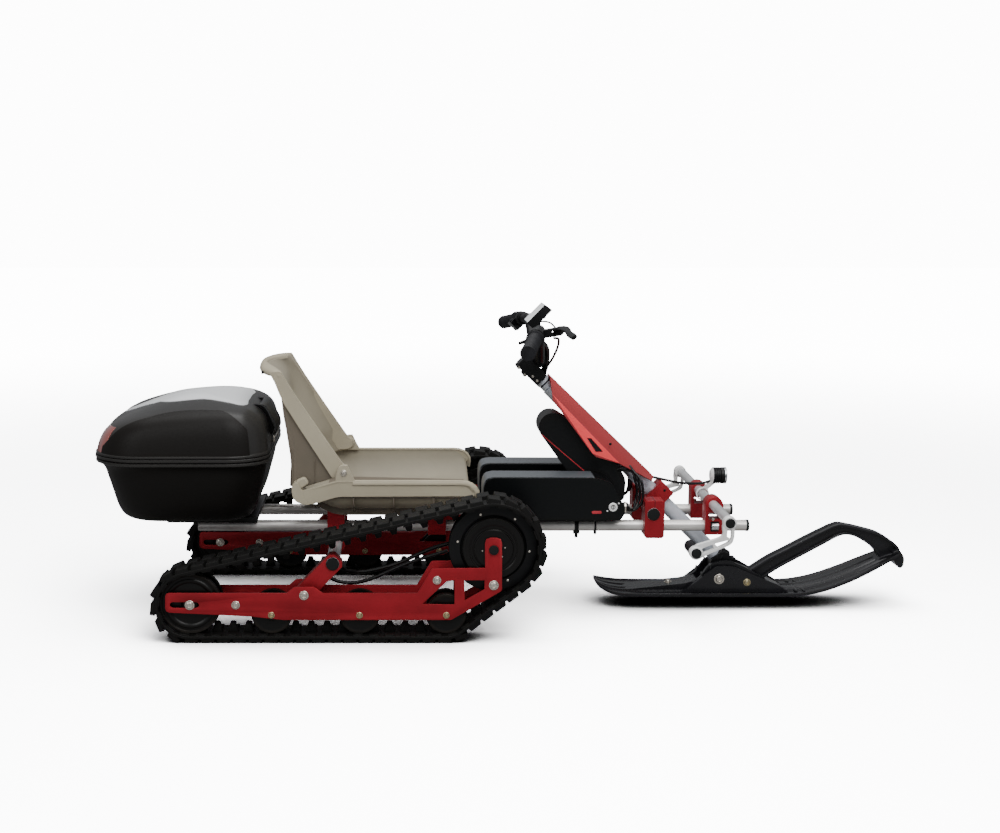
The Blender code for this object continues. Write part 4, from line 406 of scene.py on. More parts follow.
def studio_floor():
    """Seamless paper sweep: matt white with a faint tooth.

    It lights the kart no more than a grey floor would, so that black parts stay deep.
    """
    made, tree, shader, place = started("paper_sweep", 0.9)
    tooth = mottled(tree, shader, place, "8E8E8E", "8A8A8A", 0.3)
    grained(tree, shader, tooth.outputs["Fac"], depth=0.0004, strength=0.05)
    rays = add_node(tree, "ShaderNodeLightPath")
    # Painted shadow: close under the kart the paper's colour is darkened where the kart hems it in,
    # standing in for the shadow under a lamp that is wider than the room
    near = add_node(tree, "ShaderNodeAmbientOcclusion", {"samples": 16}, {"Distance": 0.32})
    shade = add_node(tree, "ShaderNodeMapRange", {"interpolation_type": "SMOOTHSTEP"},
                     {"Value": near.outputs["AO"], "From Min": 0.2, "From Max": 0.97,
                      "To Min": 0.02, "To Max": PAPER})
    paper = add_node(tree, "ShaderNodeBsdfDiffuse", None, {"Color": shade.outputs["Result"]})
    # Away from the kart the paper is lit on its own, so that it meets the backdrop
    far = add_node(tree, "ShaderNodeVectorMath", {"operation": "LENGTH"}, {0: place})
    rise = add_node(tree, "ShaderNodeMapRange", {"interpolation_type": "SMOOTHSTEP"},
                    {"Value": far.outputs["Value"], "From Min": 1.2, "From Max": 6.0,
                     "To Min": 0.0, "To Max": BACKDROP * 0.9})
    glow = add_node(tree, "ShaderNodeEmission", None, {"Strength": rise.outputs["Result"]})
    both = add_node(tree, "ShaderNodeAddShader", None, {0: paper.outputs[0], 1: glow.outputs[0]})
    mixed = add_node(tree, "ShaderNodeMixShader", None,
                     {0: rays.outputs["Is Camera Ray"], 1: shader.outputs[0], 2: both.outputs[0]})
    tree.links.new(mixed.outputs[0], tree.nodes["Material Output"].inputs["Surface"])
    return made


FINISHES = {
    "red": anodised_red,
    "panel": lambda: painted_panel(
        "coral_powder_coat", bpy.context.scene.snow_kart_colours.panel),
    # Painted light: the flange takes a lit copy of the panel's paint
    "flange": lambda: painted_panel(
        "coral_powder_coat_painted_light", bpy.context.scene.snow_kart_colours.panel_flange_painted_light),
    "rail": lambda: brushed_aluminium("brushed_aluminium_rail", "X", "DAD7D3", 0.34),
    "cross": lambda: brushed_aluminium("brushed_aluminium_cross", "Y", "D2D3D4", 0.32),
    "round": lambda: brushed_aluminium("polished_aluminium", "Z", "DDE3EC", 0.38),
    "pale": tumbled_aluminium,
    "steel": lambda: plated_steel("zinc_plated_steel", "EDE6DA"),
    "brass": lambda: plated_steel("yellow_zinc_steel", "D6C9A0"),
    "rubber": lambda: moulded_rubber("belt_rubber", bpy.context.scene.snow_kart_colours.rubber),
    "tyre": lambda: moulded_rubber("wheel_rubber", "14110E", 0.0012, 0.55),
    "soft": lambda: moulded_rubber("grip_rubber", "17171A", 0.0009, 0.58),
    "jacket": lambda: gloss_plastic("cable_jacket", "0A0A0B", 0.34),
    "plug": lambda: textured_plastic("black_nylon_plug", "141616", 0.42, 0.0009),
    "case": lambda: textured_plastic(
        "textured_case_plastic", bpy.context.scene.snow_kart_colours.case, 0.5, 0.0014, 0.00012, 0.16),
    "case_gloss": lambda: textured_plastic("smooth_case_plastic", "2B2A29", 0.3, 0.001, 0.00004),
    "flap": lambda: textured_plastic("grey_flap_plastic", "4C4D4D", 0.4, 0.0012),
    "black": lambda: textured_plastic("black_moulded_plastic", "0B0B0C", 0.36, 0.001),
    "battery": lambda: textured_plastic("satin_battery_shell", "08090A", 0.3, 0.001, 0.00004),
    # Painted reflection: grey for the battery's top and rounded rear edge, where the bright room is
    # mirrored
    "strip": lambda: textured_plastic("battery_top_painted_reflection", "54585C", 0.34, 0.0012, 0.00006),
    "gloss": lambda: gloss_plastic("polished_black_plastic", "060607"),
    "motor": lambda: textured_plastic("black_painted_motor", "0D0C0B", 0.3, 0.0009, 0.00006),
    "ski": lambda: gloss_plastic("satin_black_ski", "17171A", 0.24),
    "silver": silver_paint,
    "reflector": reflector_plastic,
    "seat": lambda: textured_plastic(
        "moulded_seat_plastic", bpy.context.scene.snow_kart_colours.seat, 0.5, 0.0012, 0.0001),
    # Painted shade: a darker copy of the seat plastic for the inside of the tray and of the back
    "seat_inside_painted_shade": lambda: textured_plastic(
        "seat_plastic_inside_painted_shade", darker(bpy.context.scene.snow_kart_colours.seat, 0.87), 0.46, 0.0012,
        0.0001),
    # Painted shade: a still darker copy of the seat plastic for the ribs and keel under the seat and the
    # web behind the back's wings
    "seat_painted_shade": lambda: textured_plastic("seat_plastic_painted_shade", "665E52", 0.55, 0.0012),
    "chrome": lambda: plated_steel("bright_chrome", "E4E6E8"),
    "red_mark": lambda: gloss_plastic("red_window_plastic", "B0313A", 0.2),
    "lens": clear_lens,
    "screen": display_glass_painted_glow,
    "floor": studio_floor,
}


def finish(name):
    """The material of a finish, made once."""
    holder = f"finish_{name}"
    known = bpy.context.scene.get(holder)
    if known and known in bpy.data.materials:
        return bpy.data.materials[known]
    made = FINISHES[name]()
    bpy.context.scene[holder] = made.name
    return made


def along(start, direction):
    """Matrix whose Z axis runs from a start along a direction."""
    turn = Vector(direction).to_track_quat("Z", "Y").to_matrix().to_4x4()
    return Matrix.Translation(start) @ turn


def across(x, y, z, side=1):
    """Matrix whose Z axis runs across the kart, away from its middle on the given side."""
    return along((x, y, z), (0, side, 0))


def column(s, n, y=0.0):
    """Point at s down the steering axis and n in front of it."""
    share = math.sqrt(0.5)
    return Vector((COLUMN.x + (s + n) * share, y, COLUMN.y + (n - s) * share))


def join(bm, other, finish_index=None, matrix=None):
    """Add another bmesh, which is used up."""
    if matrix is not None:
        other.transform(matrix)
    if finish_index is not None:
        for face in other.faces:
            face.material_index = finish_index
    mesh = bpy.data.meshes.new("joined")
    other.to_mesh(mesh)
    other.free()
    bm.from_mesh(mesh)
    bpy.data.meshes.remove(mesh)
    return bm


def revolve(profile, steps=48, closed=False):
    """Shape turned about Z through (radius, height) points."""
    bm = bmesh.new()
    line = [bm.verts.new((radius, 0, height)) for radius, height in profile]
    edges = [bm.edges.new(pair) for pair in zip(line, line[1:])]
    if closed:
        edges.append(bm.edges.new((line[-1], line[0])))
    bmesh.ops.spin(bm, geom=line + edges, cent=(0, 0, 0), axis=(0, 0, 1),
                   angle=math.tau, steps=steps, use_merge=True)
    bmesh.ops.remove_doubles(bm, verts=bm.verts, dist=1e-6)
    bmesh.ops.recalc_face_normals(bm, faces=bm.faces)
    return bm


def plate(corners, y_from, y_to, segments=4):
    """Side-view outline of (x, z) or (x, z, radius) corners, extruded across the kart."""
    bm = bmesh.new()
    verts = [bm.verts.new((corner[0], y_from, corner[1])) for corner in corners]
    bm.faces.new(verts)
    for vert, corner in zip(verts, corners):
        if len(corner) > 2:
            bmesh.ops.bevel(bm, geom=[vert], offset=corner[2], segments=segments, profile=0.5,
                            affect="VERTICES", material=-1, clamp_overlap=True)
    grown = bmesh.ops.extrude_face_region(bm, geom=list(bm.faces))
    moved = [item for item in grown["geom"] if isinstance(item, bmesh.types.BMVert)]
    bmesh.ops.translate(bm, verts=moved, vec=(0, y_to - y_from, 0))
    bmesh.ops.recalc_face_normals(bm, faces=bm.faces)
    return bm


def smooth_line(points, steps):
    """Points of a smooth curve through (x, z) knots."""
    return [tuple(through(points, index / steps)) for index in range(steps + 1)]


def ribbon(points, depth, half):
    """Flat bar that follows (x, z) points, lying on the right of their direction."""
    inner = []
    for index, (x, z) in enumerate(points):
        before = points[max(index - 1, 0)]
        after = points[min(index + 1, len(points) - 1)]
        way = Vector((after[0] - before[0], after[1] - before[1])).normalized()
        inner.append((x + way.y * depth, z - way.x * depth))
    return plate(list(points) + inner[::-1], -half, half)


def block(low, high, rounding=0.0, segments=2):
    """Box between two corners, with rounded edges."""
    low, high = Vector(low), Vector(high)
    bm = bmesh.new()
    bmesh.ops.create_cube(bm, size=1.0)
    bmesh.ops.scale(bm, verts=bm.verts, vec=high - low)
    bmesh.ops.translate(bm, verts=bm.verts, vec=(high + low) / 2)
    if rounding:
        bmesh.ops.bevel(bm, geom=list(bm.edges), offset=rounding, segments=segments, profile=0.5,
                        affect="EDGES", material=-1, clamp_overlap=True)
    return bm


def bar(start, end, radius, sides=32, rounding=0.0):
    """Round bar between two points, with rounded end edges."""
    start, end = Vector(start), Vector(end)
    length = (end - start).length
    profile = [(0, 0), (radius - rounding, 0), (radius, rounding), (radius, length - rounding),
               (radius - rounding, length), (0, length)]
    if not rounding:
        profile = [(0, 0), (radius, 0), (radius, length), (0, length)]
    bm = revolve(profile, sides)
    bm.transform(along(start, end - start))
    return bm


def sheet_of(place, columns, rows, closed=False):
    """Grid whose (u, v) points, 0 to 1, are put where place says."""
    bm = bmesh.new()
    bmesh.ops.create_grid(bm, x_segments=columns, y_segments=rows, size=0.5)
    for vert in bm.verts:
        vert.co = place(vert.co.x + 0.5, vert.co.y + 0.5)
    if closed:
        bmesh.ops.remove_doubles(bm, verts=bm.verts, dist=2e-5)
    return bm


def outwards(bm):
    """Turn every face of a closed or nearly closed shape outwards."""
    bmesh.ops.recalc_face_normals(bm, faces=bm.faces)
    if bm.calc_volume(signed=True) < 0:
        bmesh.ops.reverse_faces(bm, faces=bm.faces)
    return bm


def through(rows, share):
    """Smooth value at a share of the way through rows of numbers."""
    reach = share * (len(rows) - 1)
    index = min(int(reach), len(rows) - 2)
    t = reach - index
    before = rows[max(index - 1, 0)]
    after = rows[min(index + 2, len(rows) - 1)]
    values = []
    for a, b, c, d in zip(before, rows[index], rows[index + 1], after):
        values.append(0.5 * (2 * b + (c - a) * t + (2 * a - 5 * b + 4 * c - d) * t ** 2
                             + (3 * b - a - 3 * c + d) * t ** 3))
    return values


def level(values, share):
    """Smooth value at a share of the way through a row of single numbers."""
    return through([(value,) for value in values], share)[0]


def copy_of(*nodes):
    """Merged copy of CAD nodes, with their flat faces made whole again."""
    bm = bmesh.new()
    for node in nodes:
        bm.from_mesh(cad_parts[node].data)
    for face in bm.faces:
        face.material_index = 0
    bmesh.ops.remove_doubles(bm, verts=bm.verts, dist=1e-5)
    bmesh.ops.dissolve_limit(bm, angle_limit=math.radians(1.0), verts=bm.verts, edges=bm.edges)
    return bm


def shown(name, data, body, nodes):
    """Object in the scene that rides on a body and stands for the given CAD nodes."""
    piece = bpy.data.objects.new(name, data)
    bpy.context.scene.collection.objects.link(piece)
    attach(piece, body)
    if nodes:
        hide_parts(*nodes)
    return piece


def placed(bm, name, body, finishes, nodes=(), edge=0.0, segments=2, angle=32.0, wall=0.0):
    """Finished object that rides on a body and stands for the given CAD nodes."""
    mesh = bpy.data.meshes.new(name)
    bm.to_mesh(mesh)
    bm.free()
    mesh.shade_smooth()
    if not edge:
        mesh.set_sharp_from_angle(angle=math.radians(angle))
    for key in finishes:
        mesh.materials.append(finish(key))
    piece = shown(name, mesh, body, nodes)
    if wall:
        solid = piece.modifiers.new("wall", "SOLIDIFY")
        solid.thickness = wall
        solid.offset = -1.0
        solid.material_offset = len(finishes) - 1
        solid.material_offset_rim = len(finishes) - 1
    if edge:
        rounded = piece.modifiers.new("edge", "BEVEL")
        rounded.width = edge
        rounded.segments = segments
        rounded.limit_method = "ANGLE"
        rounded.angle_limit = math.radians(angle)
        rounded.harden_normals = True
        rounded.use_clamp_overlap = True
    return piece


def dressed(node, name, body, key, edge, segments=2):
    """A CAD node in its own shape, with one finish and rounded edges."""
    return placed(copy_of(node), name, body, [key], [node], edge=edge, segments=segments)


def wire(points, radius, name, body, nodes=()):
    """Round cable along a smooth curve through its knots."""
    knots = [Vector(point) for point in points]
    knots = [2 * knots[0] - knots[1]] + knots + [2 * knots[-1] - knots[-2]]
    route = []
    for a, b, c, d in zip(knots, knots[1:], knots[2:], knots[3:]):
        steps = max(2, round((c - b).length / (radius * 4)))
        for step in range(steps):
            t = step / steps
            route.append(0.5 * (2 * b + (c - a) * t + (2 * a - 5 * b + 4 * c - d) * t ** 2
                                + (3 * b - a - 3 * c + d) * t ** 3))
    route.append(knots[-2])
    curve = bpy.data.curves.new(name, "CURVE")
    curve.dimensions = "3D"
    curve.bevel_depth = radius
    curve.bevel_resolution = 5
    curve.use_fill_caps = True
    spline = curve.splines.new("POLY")
    spline.points.add(len(route) - 1)
    for target, point in zip(spline.points, route):
        target.co = (*point, 1.0)
    spline.use_smooth = True
    curve.materials.append(finish("jacket"))
    return shown(name, curve, body, nodes)


def socket_bolt(radius, height, washer=0.0):
    """Button-head bolt with a hexagon socket, standing on Z = 0, over a washer."""
    bm = bmesh.new()
    base = 0.0
    if washer:
        base = 0.0012
        join(bm, revolve([(0, -0.0002), (washer - 0.0004, -0.0002), (washer, 0.0002),
                          (washer, base - 0.0003), (washer - 0.0004, base), (0, base)], 32), 0)
    top = base + height
    join(bm, revolve([(0, base - 0.0002), (radius, base - 0.0002), (radius, base + height * 0.45),
                      (radius * 0.93, base + height * 0.78), (radius * 0.78, top),
                      (radius * 0.56, top), (radius * 0.54, top - 0.0004),
                      (radius * 0.5, top - height * 0.85), (0, top - height * 0.85)], 24), 0)
    return bm


def hex_bolt(radius, height):
    """Hexagon head with a chamfered top on a flanged foot, standing on Z = 0."""
    bm = bmesh.new()
    join(bm, revolve([(0, 0), (radius * 1.12, 0), (radius * 1.12, height * 0.25), (0, height * 0.25)],
                     28), 0)
    join(bm, revolve([(0, height * 0.2), (radius, height * 0.2), (radius, height * 0.85),
                      (radius * 0.86, height), (0, height)], 6), 0)
    return bm


def cap(radius, height):
    """Domed press-in plug standing on Z = 0."""
    return revolve([(0, 0), (radius, 0), (radius, height * 0.5), (radius * 0.93, height * 0.9),
                    (radius * 0.8, height), (0, height)], 36)


def bar_frame(side):
    """Frame at a grip's inner end: X forwards, Y along the bar to the left, Z up."""
    inner = Vector((GRIP_INNER.x, side * GRIP_INNER.y, GRIP_INNER.z))
    outer = Vector((GRIP_OUTER.x, side * GRIP_OUTER.y, GRIP_OUTER.z))
    along_bar = (outer - inner).normalized() * side
    forward = (Vector((1, 0, 0)) - along_bar * along_bar.x).normalized()
    up = forward.cross(along_bar)
    made = Matrix((forward, along_bar, up)).transposed().to_4x4()
    made.translation = inner
    return made


def belt_runs():
    """The belt's inner path as arcs and straight runs round the idler, front bogie and drive."""
    gap = WHEEL_CLEARANCE
    wheels = [(IDLER, IDLER_RADIUS + gap), (Vector((BOGIE_X["front"], BOGIE_Z)), BOGIE_RADIUS + gap),
              (DRIVE, DRIVE_RADIUS + gap)]
    leaving = []
    for index, (centre, radius) in enumerate(wheels):
        next_centre, next_radius = wheels[(index + 1) % 3]
        step = next_centre - centre
        leaving.append(math.atan2(step.y, step.x) - math.acos((radius - next_radius) / step.length))
    runs = []
    for index, (centre, radius) in enumerate(wheels):
        angle_in = leaving[index - 1]
        angle_out = leaving[index]
        while angle_out < angle_in:
            angle_out += math.tau
        runs.append(("arc", centre, radius, angle_in, angle_out, radius * (angle_out - angle_in)))
        next_centre, next_radius = wheels[(index + 1) % 3]
        out = Vector((math.cos(angle_out), math.sin(angle_out)))
        start = centre + out * radius
        end = next_centre + out * next_radius
        runs.append(("line", start, end, out, None, (end - start).length))
    return runs


def belt_station(runs, distance):
    """Point on the belt's inside and the outward direction, at a distance along it."""
    distance %= sum(run[-1] for run in runs)
    for run in runs:
        if distance <= run[-1]:
            break
        distance -= run[-1]
    if run[0] == "arc":
        centre, radius, angle_in = run[1:4]
        angle = angle_in + distance / radius
        out = Vector((math.cos(angle), math.sin(angle)))
        return centre + out * radius, out
    start, end, out = run[1:4]
    return start.lerp(end, distance / run[-1]), out


def belt_carcass(runs, y):
    """Flat rubber loop, spun round each wheel and extruded along each straight run."""
    half = BELT_WIDTH / 2
    centre, radius, angle_in = runs[0][1:4]
    out = Vector((math.cos(angle_in), 0, math.sin(angle_in)))
    base = Vector((centre.x, y, centre.y))
    section = [(radius, -half + 0.001), (radius + 0.001, -half),
               (radius + BELT_CARCASS - 0.0015, -half), (radius + BELT_CARCASS, -half + 0.0015)]
    section += [(height, -across_y) for height, across_y in reversed(section)]
    bm = bmesh.new()
    ring = [bm.verts.new(base + out * height + Vector((0, offset, 0))) for height, offset in section]
    geom = ring + [bm.edges.new(pair) for pair in zip(ring, ring[1:] + ring[:1])]
    for run in runs:
        if run[0] == "arc":
            centre, radius, angle_in, angle_out, length = run[1:]
            made = bmesh.ops.spin(bm, geom=geom, cent=(centre.x, y, centre.y), axis=(0, -1, 0),
                                  angle=angle_out - angle_in, steps=max(4, round(length / 0.006)))
            geom = made["geom_last"]
        else:
            edges = [item for item in geom if isinstance(item, bmesh.types.BMEdge)]
            made = bmesh.ops.extrude_edge_only(bm, edges=edges)
            geom = [item for item in made["geom"] if not isinstance(item, bmesh.types.BMFace)]
            step = run[2] - run[1]
            moved = [item for item in geom if isinstance(item, bmesh.types.BMVert)]
            bmesh.ops.translate(bm, verts=moved, vec=(step.x, 0, step.y))
    bmesh.ops.remove_doubles(bm, verts=bm.verts, dist=5e-5)
    return outwards(bm)


def lug(length, width, sink, height):
    """Tapered rubber block with a dished top, standing on Z = 0 of the belt's inside."""
    bm = bmesh.new()
    bmesh.ops.create_cube(bm, size=1.0)
    bmesh.ops.scale(bm, verts=bm.verts, vec=(length, width, sink + height))
    bmesh.ops.translate(bm, verts=bm.verts, vec=(0, 0, (height - sink) / 2))
    bm.faces.ensure_lookup_table()
    top = max(bm.faces, key=lambda face: face.calc_center_median().z)
    bmesh.ops.scale(bm, verts=top.verts, vec=(0.92, 0.96, 1))
    bmesh.ops.bevel(bm, geom=list(top.edges), offset=0.0012, segments=1, profile=0.5,
                    affect="EDGES", material=-1, clamp_overlap=True)
    top = max(bm.faces, key=lambda face: (face.calc_center_median().z, face.calc_area()))
    bmesh.ops.inset_region(bm, faces=[top], thickness=0.0034, depth=-0.0007, use_even_offset=True)
    return bm


def belt_pattern(sizes):
    """One pitch of the belt: an outer lug of each row, a guide tooth and two inner ribs."""
    bm = bmesh.new()
    row = BELT_WIDTH / 4 + 0.0006
    width = BELT_WIDTH / 2 - 0.003
    for offset, shift in ((-row, 0.0), (row, 0.5)):
        block_here = lug(sizes.lug_length, width, 0.003, sizes.lug_height)
        join(bm, block_here, None, Matrix.Translation((shift * BELT_PITCH, offset, BELT_CARCASS)))
    tooth = bmesh.new()
    bmesh.ops.create_cube(tooth, size=1.0)
    bmesh.ops.scale(tooth, verts=tooth.verts, vec=(0.024, 0.018, GUIDE_HEIGHT + 0.002))
    bmesh.ops.translate(tooth, verts=tooth.verts, vec=(0, 0, -GUIDE_HEIGHT / 2 + 0.001))
    low = min(tooth.faces, key=lambda face: face.calc_center_median().z)
    bmesh.ops.scale(tooth, verts=low.verts, vec=(0.45, 0.62, 1))
    bmesh.ops.bevel(tooth, geom=[edge for edge in tooth.edges if edge.calc_length() > 0.001],
                    offset=0.002, segments=2, profile=0.5, affect="EDGES", material=-1,
                    clamp_overlap=True)
    join(bm, tooth)
    for offset in (-0.0368, 0.0368):
        rib = block((-0.01, offset - 0.007, -0.0035), (0.01, offset + 0.007, 0.002), 0.0008, 1)
        join(bm, rib)
    return bm


class SNOWKART_OT_belts(bpy.types.Operator):
    """Rubber belts with two staggered rows of lugs, guide teeth and inner ribs"""
    bl_idname = "snow_kart.belts"
    bl_label = "Track Belts"

    def execute(self, context):
        sizes = context.scene.snow_kart_sizes
        runs = belt_runs()
        total = sum(run[-1] for run in runs)
        count = round(total / BELT_PITCH)
        pattern_mesh = bpy.data.meshes.new("pattern")
        pattern = belt_pattern(sizes)
        pattern.to_mesh(pattern_mesh)
        pattern.free()
        for word, side in SIDES.items():
            bm = belt_carcass(runs, side * TRACK_Y)
            for index in range(count):
                point, out = belt_station(runs, index * total / count + 0.0135)
                outward = Vector((out.x, 0, out.y))
                sideways = Vector((0, -1, 0))
                forward = sideways.cross(outward)
                turn = Matrix((forward, sideways, outward)).transposed().to_4x4()
                turn.translation = (point.x, side * TRACK_Y, point.y)
                pitch = bmesh.new()
                pitch.from_mesh(pattern_mesh)
                join(bm, pitch, None, turn)
            # The lugs that carry the kart are pressed flat on the ground
            for vert in bm.verts:
                vert.co.z = max(vert.co.z, 0.0)
            placed(bm, f"belt_{word}", f"track_{word}", ["rubber"],
                   [f"track_belt_{word}"], angle=25)
        bpy.data.meshes.remove(pattern_mesh)
        return {"FINISHED"}


def wheel(profile, steps, tread):
    """Wheel turned from its outer half section, with its second finish beyond a radius."""
    other_half = [(radius, -depth) for radius, depth in profile]
    bm = revolve(other_half + list(reversed(profile)), steps, closed=True)
    for face in bm.faces:
        if Vector(face.calc_center_median().xy).length > tread:
            face.material_index = 1
    return bm


# Half section of the idler wheel: (radius, distance from its middle plane)
IDLER_PROFILE = [
    (0.0056, 0.0288), (0.0145, 0.0288), (0.0165, 0.0265), (0.02, 0.0232), (0.044, 0.0232),
    (0.0465, 0.025), (0.049, 0.0258), (0.052, 0.0258), (0.054, 0.0246), (0.0585, 0.0246),
    (0.06, 0.0262), (0.0638, 0.0268), (0.0652, 0.0256), (0.0652, 0.0112), (0.0402, 0.0112)
]
# Half section of a bogie wheel
BOGIE_PROFILE = [
    (0.0056, 0.0288), (0.013, 0.0288), (0.0145, 0.0272), (0.036, 0.0262), (0.038, 0.027),
    (0.0418, 0.027), (0.0432, 0.0256), (0.0432, 0.0112), (0.0182, 0.0112)
]


class SNOWKART_OT_wheels(bpy.types.Operator):
    """Idler and bogie wheels with their raised rims and rubber tyres"""
    bl_idname = "snow_kart.wheels"
    bl_label = "Idlers and Bogies"

    def execute(self, context):
        for word, side in SIDES.items():
            bm = wheel(IDLER_PROFILE, 96, 0.0575)
            bm.transform(across(IDLER.x, side * TRACK_Y, IDLER.y, side))
            placed(bm, f"idler_{word}", f"idler_{word}", ["motor", "tyre"],
                   [f"idler_wheel_{word}"], angle=30)
            for place in PLACES:
                bm = wheel(BOGIE_PROFILE, 72, 0.0365)
                bm.transform(across(BOGIE_X[place], side * TRACK_Y, BOGIE_Z, side))
                placed(bm, f"bogie_{place}_{word}", f"bogie_{place}_{word}",
                       ["motor", "tyre"], [f"bogie_wheel_{place}_{word}"], angle=30)
        return {"FINISHED"}


# Half section of the drive wheel with its hub motor
MOTOR_PROFILE = [
    (0.0066, 0.0288), (0.037, 0.0288), (0.0405, 0.0284), (0.042, 0.027), (0.0422, 0.024),
    (0.05, 0.024), (0.0502, 0.0262), (0.0515, 0.027), (0.064, 0.0266), (0.0656, 0.0252),
    (0.066, 0.019), (0.069, 0.015), (0.0705, 0.0162), (0.0905, 0.016), (0.0926, 0.0158),
    (0.0937, 0.0148), (0.0937, 0.0112), (0.0688, 0.0112)
]


class SNOWKART_OT_motors(bpy.types.Operator):
    """Hub motors in the drive wheels, with their cover screws"""
    bl_idname = "snow_kart.motors"
    bl_label = "Hub Motors"

    def execute(self, context):
        for word, side in SIDES.items():
            bm = wheel(MOTOR_PROFILE, 120, 0.0665)
            for turn in (-6, 54, 111, 170, 230, 294):
                angle = math.radians(turn)
                spot = (0.0765 * math.cos(angle), 0.0765 * math.sin(angle))
                for depth, way in ((0.016, 1), (-0.016, -1)):
                    screw = hex_bolt(0.0022, 0.0012)
                    join(bm, screw, 2, along((*spot, depth), (0, 0, way)))
            for turn in (8, 78, 128, 188, 262, 318):
                angle = math.radians(turn)
                spot = (0.024 * math.cos(angle), 0.024 * math.sin(angle))
                for depth, way in ((0.0288, 1), (-0.0288, -1)):
                    screw = revolve([(0, 0), (0.0018, 0), (0.0015, 0.0005), (0, 0.0006)], 12)
                    join(bm, screw, 2, along((*spot, depth), (0, 0, way)))
            bm.transform(across(DRIVE.x, side * TRACK_Y, DRIVE.y, side))
            placed(bm, f"motor_{word}", f"hub_motor_{word}",
                   ["motor", "black", "steel"], [f"hub_motor_{word}"], angle=30)
        return {"FINISHED"}


def plate_bolts():
    """Side-view place, head radius and finish of each bolt on a track plate."""
    bolts = [(IDLER.x, IDLER.y, 1.15, 1), (PIVOT.x, PIVOT.y, 1.1, 1)]
    bolts += [(x, z, 1.0, 1) for x, z in SPACERS]
    bolts += [(x, BOGIE_Z, 0.78, 2) for x in BOGIE_X.values()]
    bolts.append((-0.0455, BOGIE_Z + 0.065, 1.15, 1))
    return bolts


class SNOWKART_OT_plates(bpy.types.Operator):
    """Red side plates of the tracks with their bolts, washers and axle caps"""
    bl_idname = "snow_kart.plates"
    bl_label = "Track Plates"

    def execute(self, context):
        sizes = context.scene.snow_kart_sizes
        for word, side in SIDES.items():
            outer_face = side * (TRACK_Y + PLATE_OUT)
            inner_face = side * (TRACK_Y - PLATE_OUT)
            dressed(f"track_plate_outer_{word}", f"plate_outer_{word}", f"track_{word}",
                    "red", sizes.edge_round)
            bm = copy_of(f"track_plate_inner_{word}")
            for depth, way in ((inner_face + side * PLATE_THICKNESS, side), (inner_face, -side)):
                bmesh.ops.bisect_plane(bm, geom=list(bm.verts) + list(bm.edges) + list(bm.faces),
                                       dist=1e-6, plane_co=(0, depth, 0), plane_no=(0, way, 0),
                                       clear_outer=True)
                open_edges = [edge for edge in bm.edges if edge.is_boundary]
                bmesh.ops.holes_fill(bm, edges=open_edges)
            placed(bm, f"plate_inner_{word}", f"track_{word}", ["red"],
                   edge=sizes.edge_round)
            bm = bmesh.new()
            shafts = [(x, z, 0.0049) for x, z, _, _ in plate_bolts()]
            shafts.append((DRIVE.x, DRIVE.y, 0.0059))
            for x, z, radius in shafts:
                join(bm, bar((x, inner_face, z), (x, outer_face, z), radius, 24), 0)
            for x, z in SPACERS:
                join(bm, bar((x, inner_face + side * 0.0052, z), (x, outer_face - side * 0.0052, z),
                             0.0085, 28), 0)
            for x, z, share, key in plate_bolts():
                for y, way in ((outer_face, side), (inner_face, -side)):
                    bolt = socket_bolt(sizes.bolt_head * share, 0.0036, sizes.bolt_head * share * 1.32)
                    join(bm, bolt, key - 1, along((x, y, z), (0, way, 0)))
            for y, way in ((outer_face, side), (inner_face, -side)):
                join(bm, cap(0.0104, 0.004), 2, along((DRIVE.x, y, DRIVE.y), (0, way, 0)))
            placed(bm, f"plate_bolts_{word}", f"track_{word}",
                   ["steel", "brass", "plug"], [f"track_plate_inner_{word}"], angle=35)
            dressed(f"track_arm_{word}", f"arm_{word}", "frame", "red", 0.0018, 3)
        return {"FINISHED"}


class SNOWKART_OT_tubes(bpy.types.Operator):
    """Brushed rails, cross tubes and head tube with their plugs"""
    bl_idname = "snow_kart.tubes"
    bl_label = "Rails and Tubes"

    def execute(self, context):
        for word, side in SIDES.items():
            y = side * RAIL_Y
            bm = bar((RAIL_ENDS[0], y, RAIL_Z), (RAIL_ENDS[1], y, RAIL_Z), RAIL_RADIUS, 64, 0.0006)
            join(bm, revolve([(0, 0), (RAIL_RADIUS + 0.0008, 0), (RAIL_RADIUS + 0.0008, 0.0045),
                              (RAIL_RADIUS - 0.0008, 0.006), (0, 0.006)], 48), 1,
                 along((RAIL_ENDS[1], y, RAIL_Z), (1, 0, 0)))
            join(bm, cap(RAIL_RADIUS - 0.001, 0.0015), 1, along((RAIL_ENDS[0], y, RAIL_Z), (-1, 0, 0)))
            placed(bm, f"tube_rail_{word}", "frame", ["rail", "plug"],
                   [f"rail_{word}"], angle=30)
        for name, centre, half in (("rear", REAR_TUBE, REAR_TUBE_HALF),
                                   ("front", FRONT_TUBE, FRONT_TUBE_HALF)):
            ends = [(centre.x, way * (half - 0.0015), centre.y) for way in (-1, 1)]
            bm = bar(*ends, CROSS_TUBE_RADIUS, 56, 0.0008)
            for way in (-1, 1):
                join(bm, cap(CAP_RADIUS - 0.0009, 0.003), 1,
                     across(centre.x, way * (half - 0.0025), centre.y, way))
            placed(bm, f"tube_{name}", "frame", ["cross", "plug"],
                   [f"{name}_cross_tube"], angle=30)
        start, end = (column(s, 0) for s in HEAD_TUBE_ENDS)
        length = HEAD_TUBE_ENDS[1] - HEAD_TUBE_ENDS[0]
        radius = HEAD_TUBE_RADIUS
        bm = revolve([(0.0126, 0), (radius - 0.001, 0), (radius, 0.001), (radius, length - 0.001),
                      (radius - 0.001, length), (0.0126, length)], 64, closed=True)
        bm.transform(along(start, end - start))
        placed(bm, "tube_head", "frame", ["round"], ["head_tube"], angle=30)
        return {"FINISHED"}


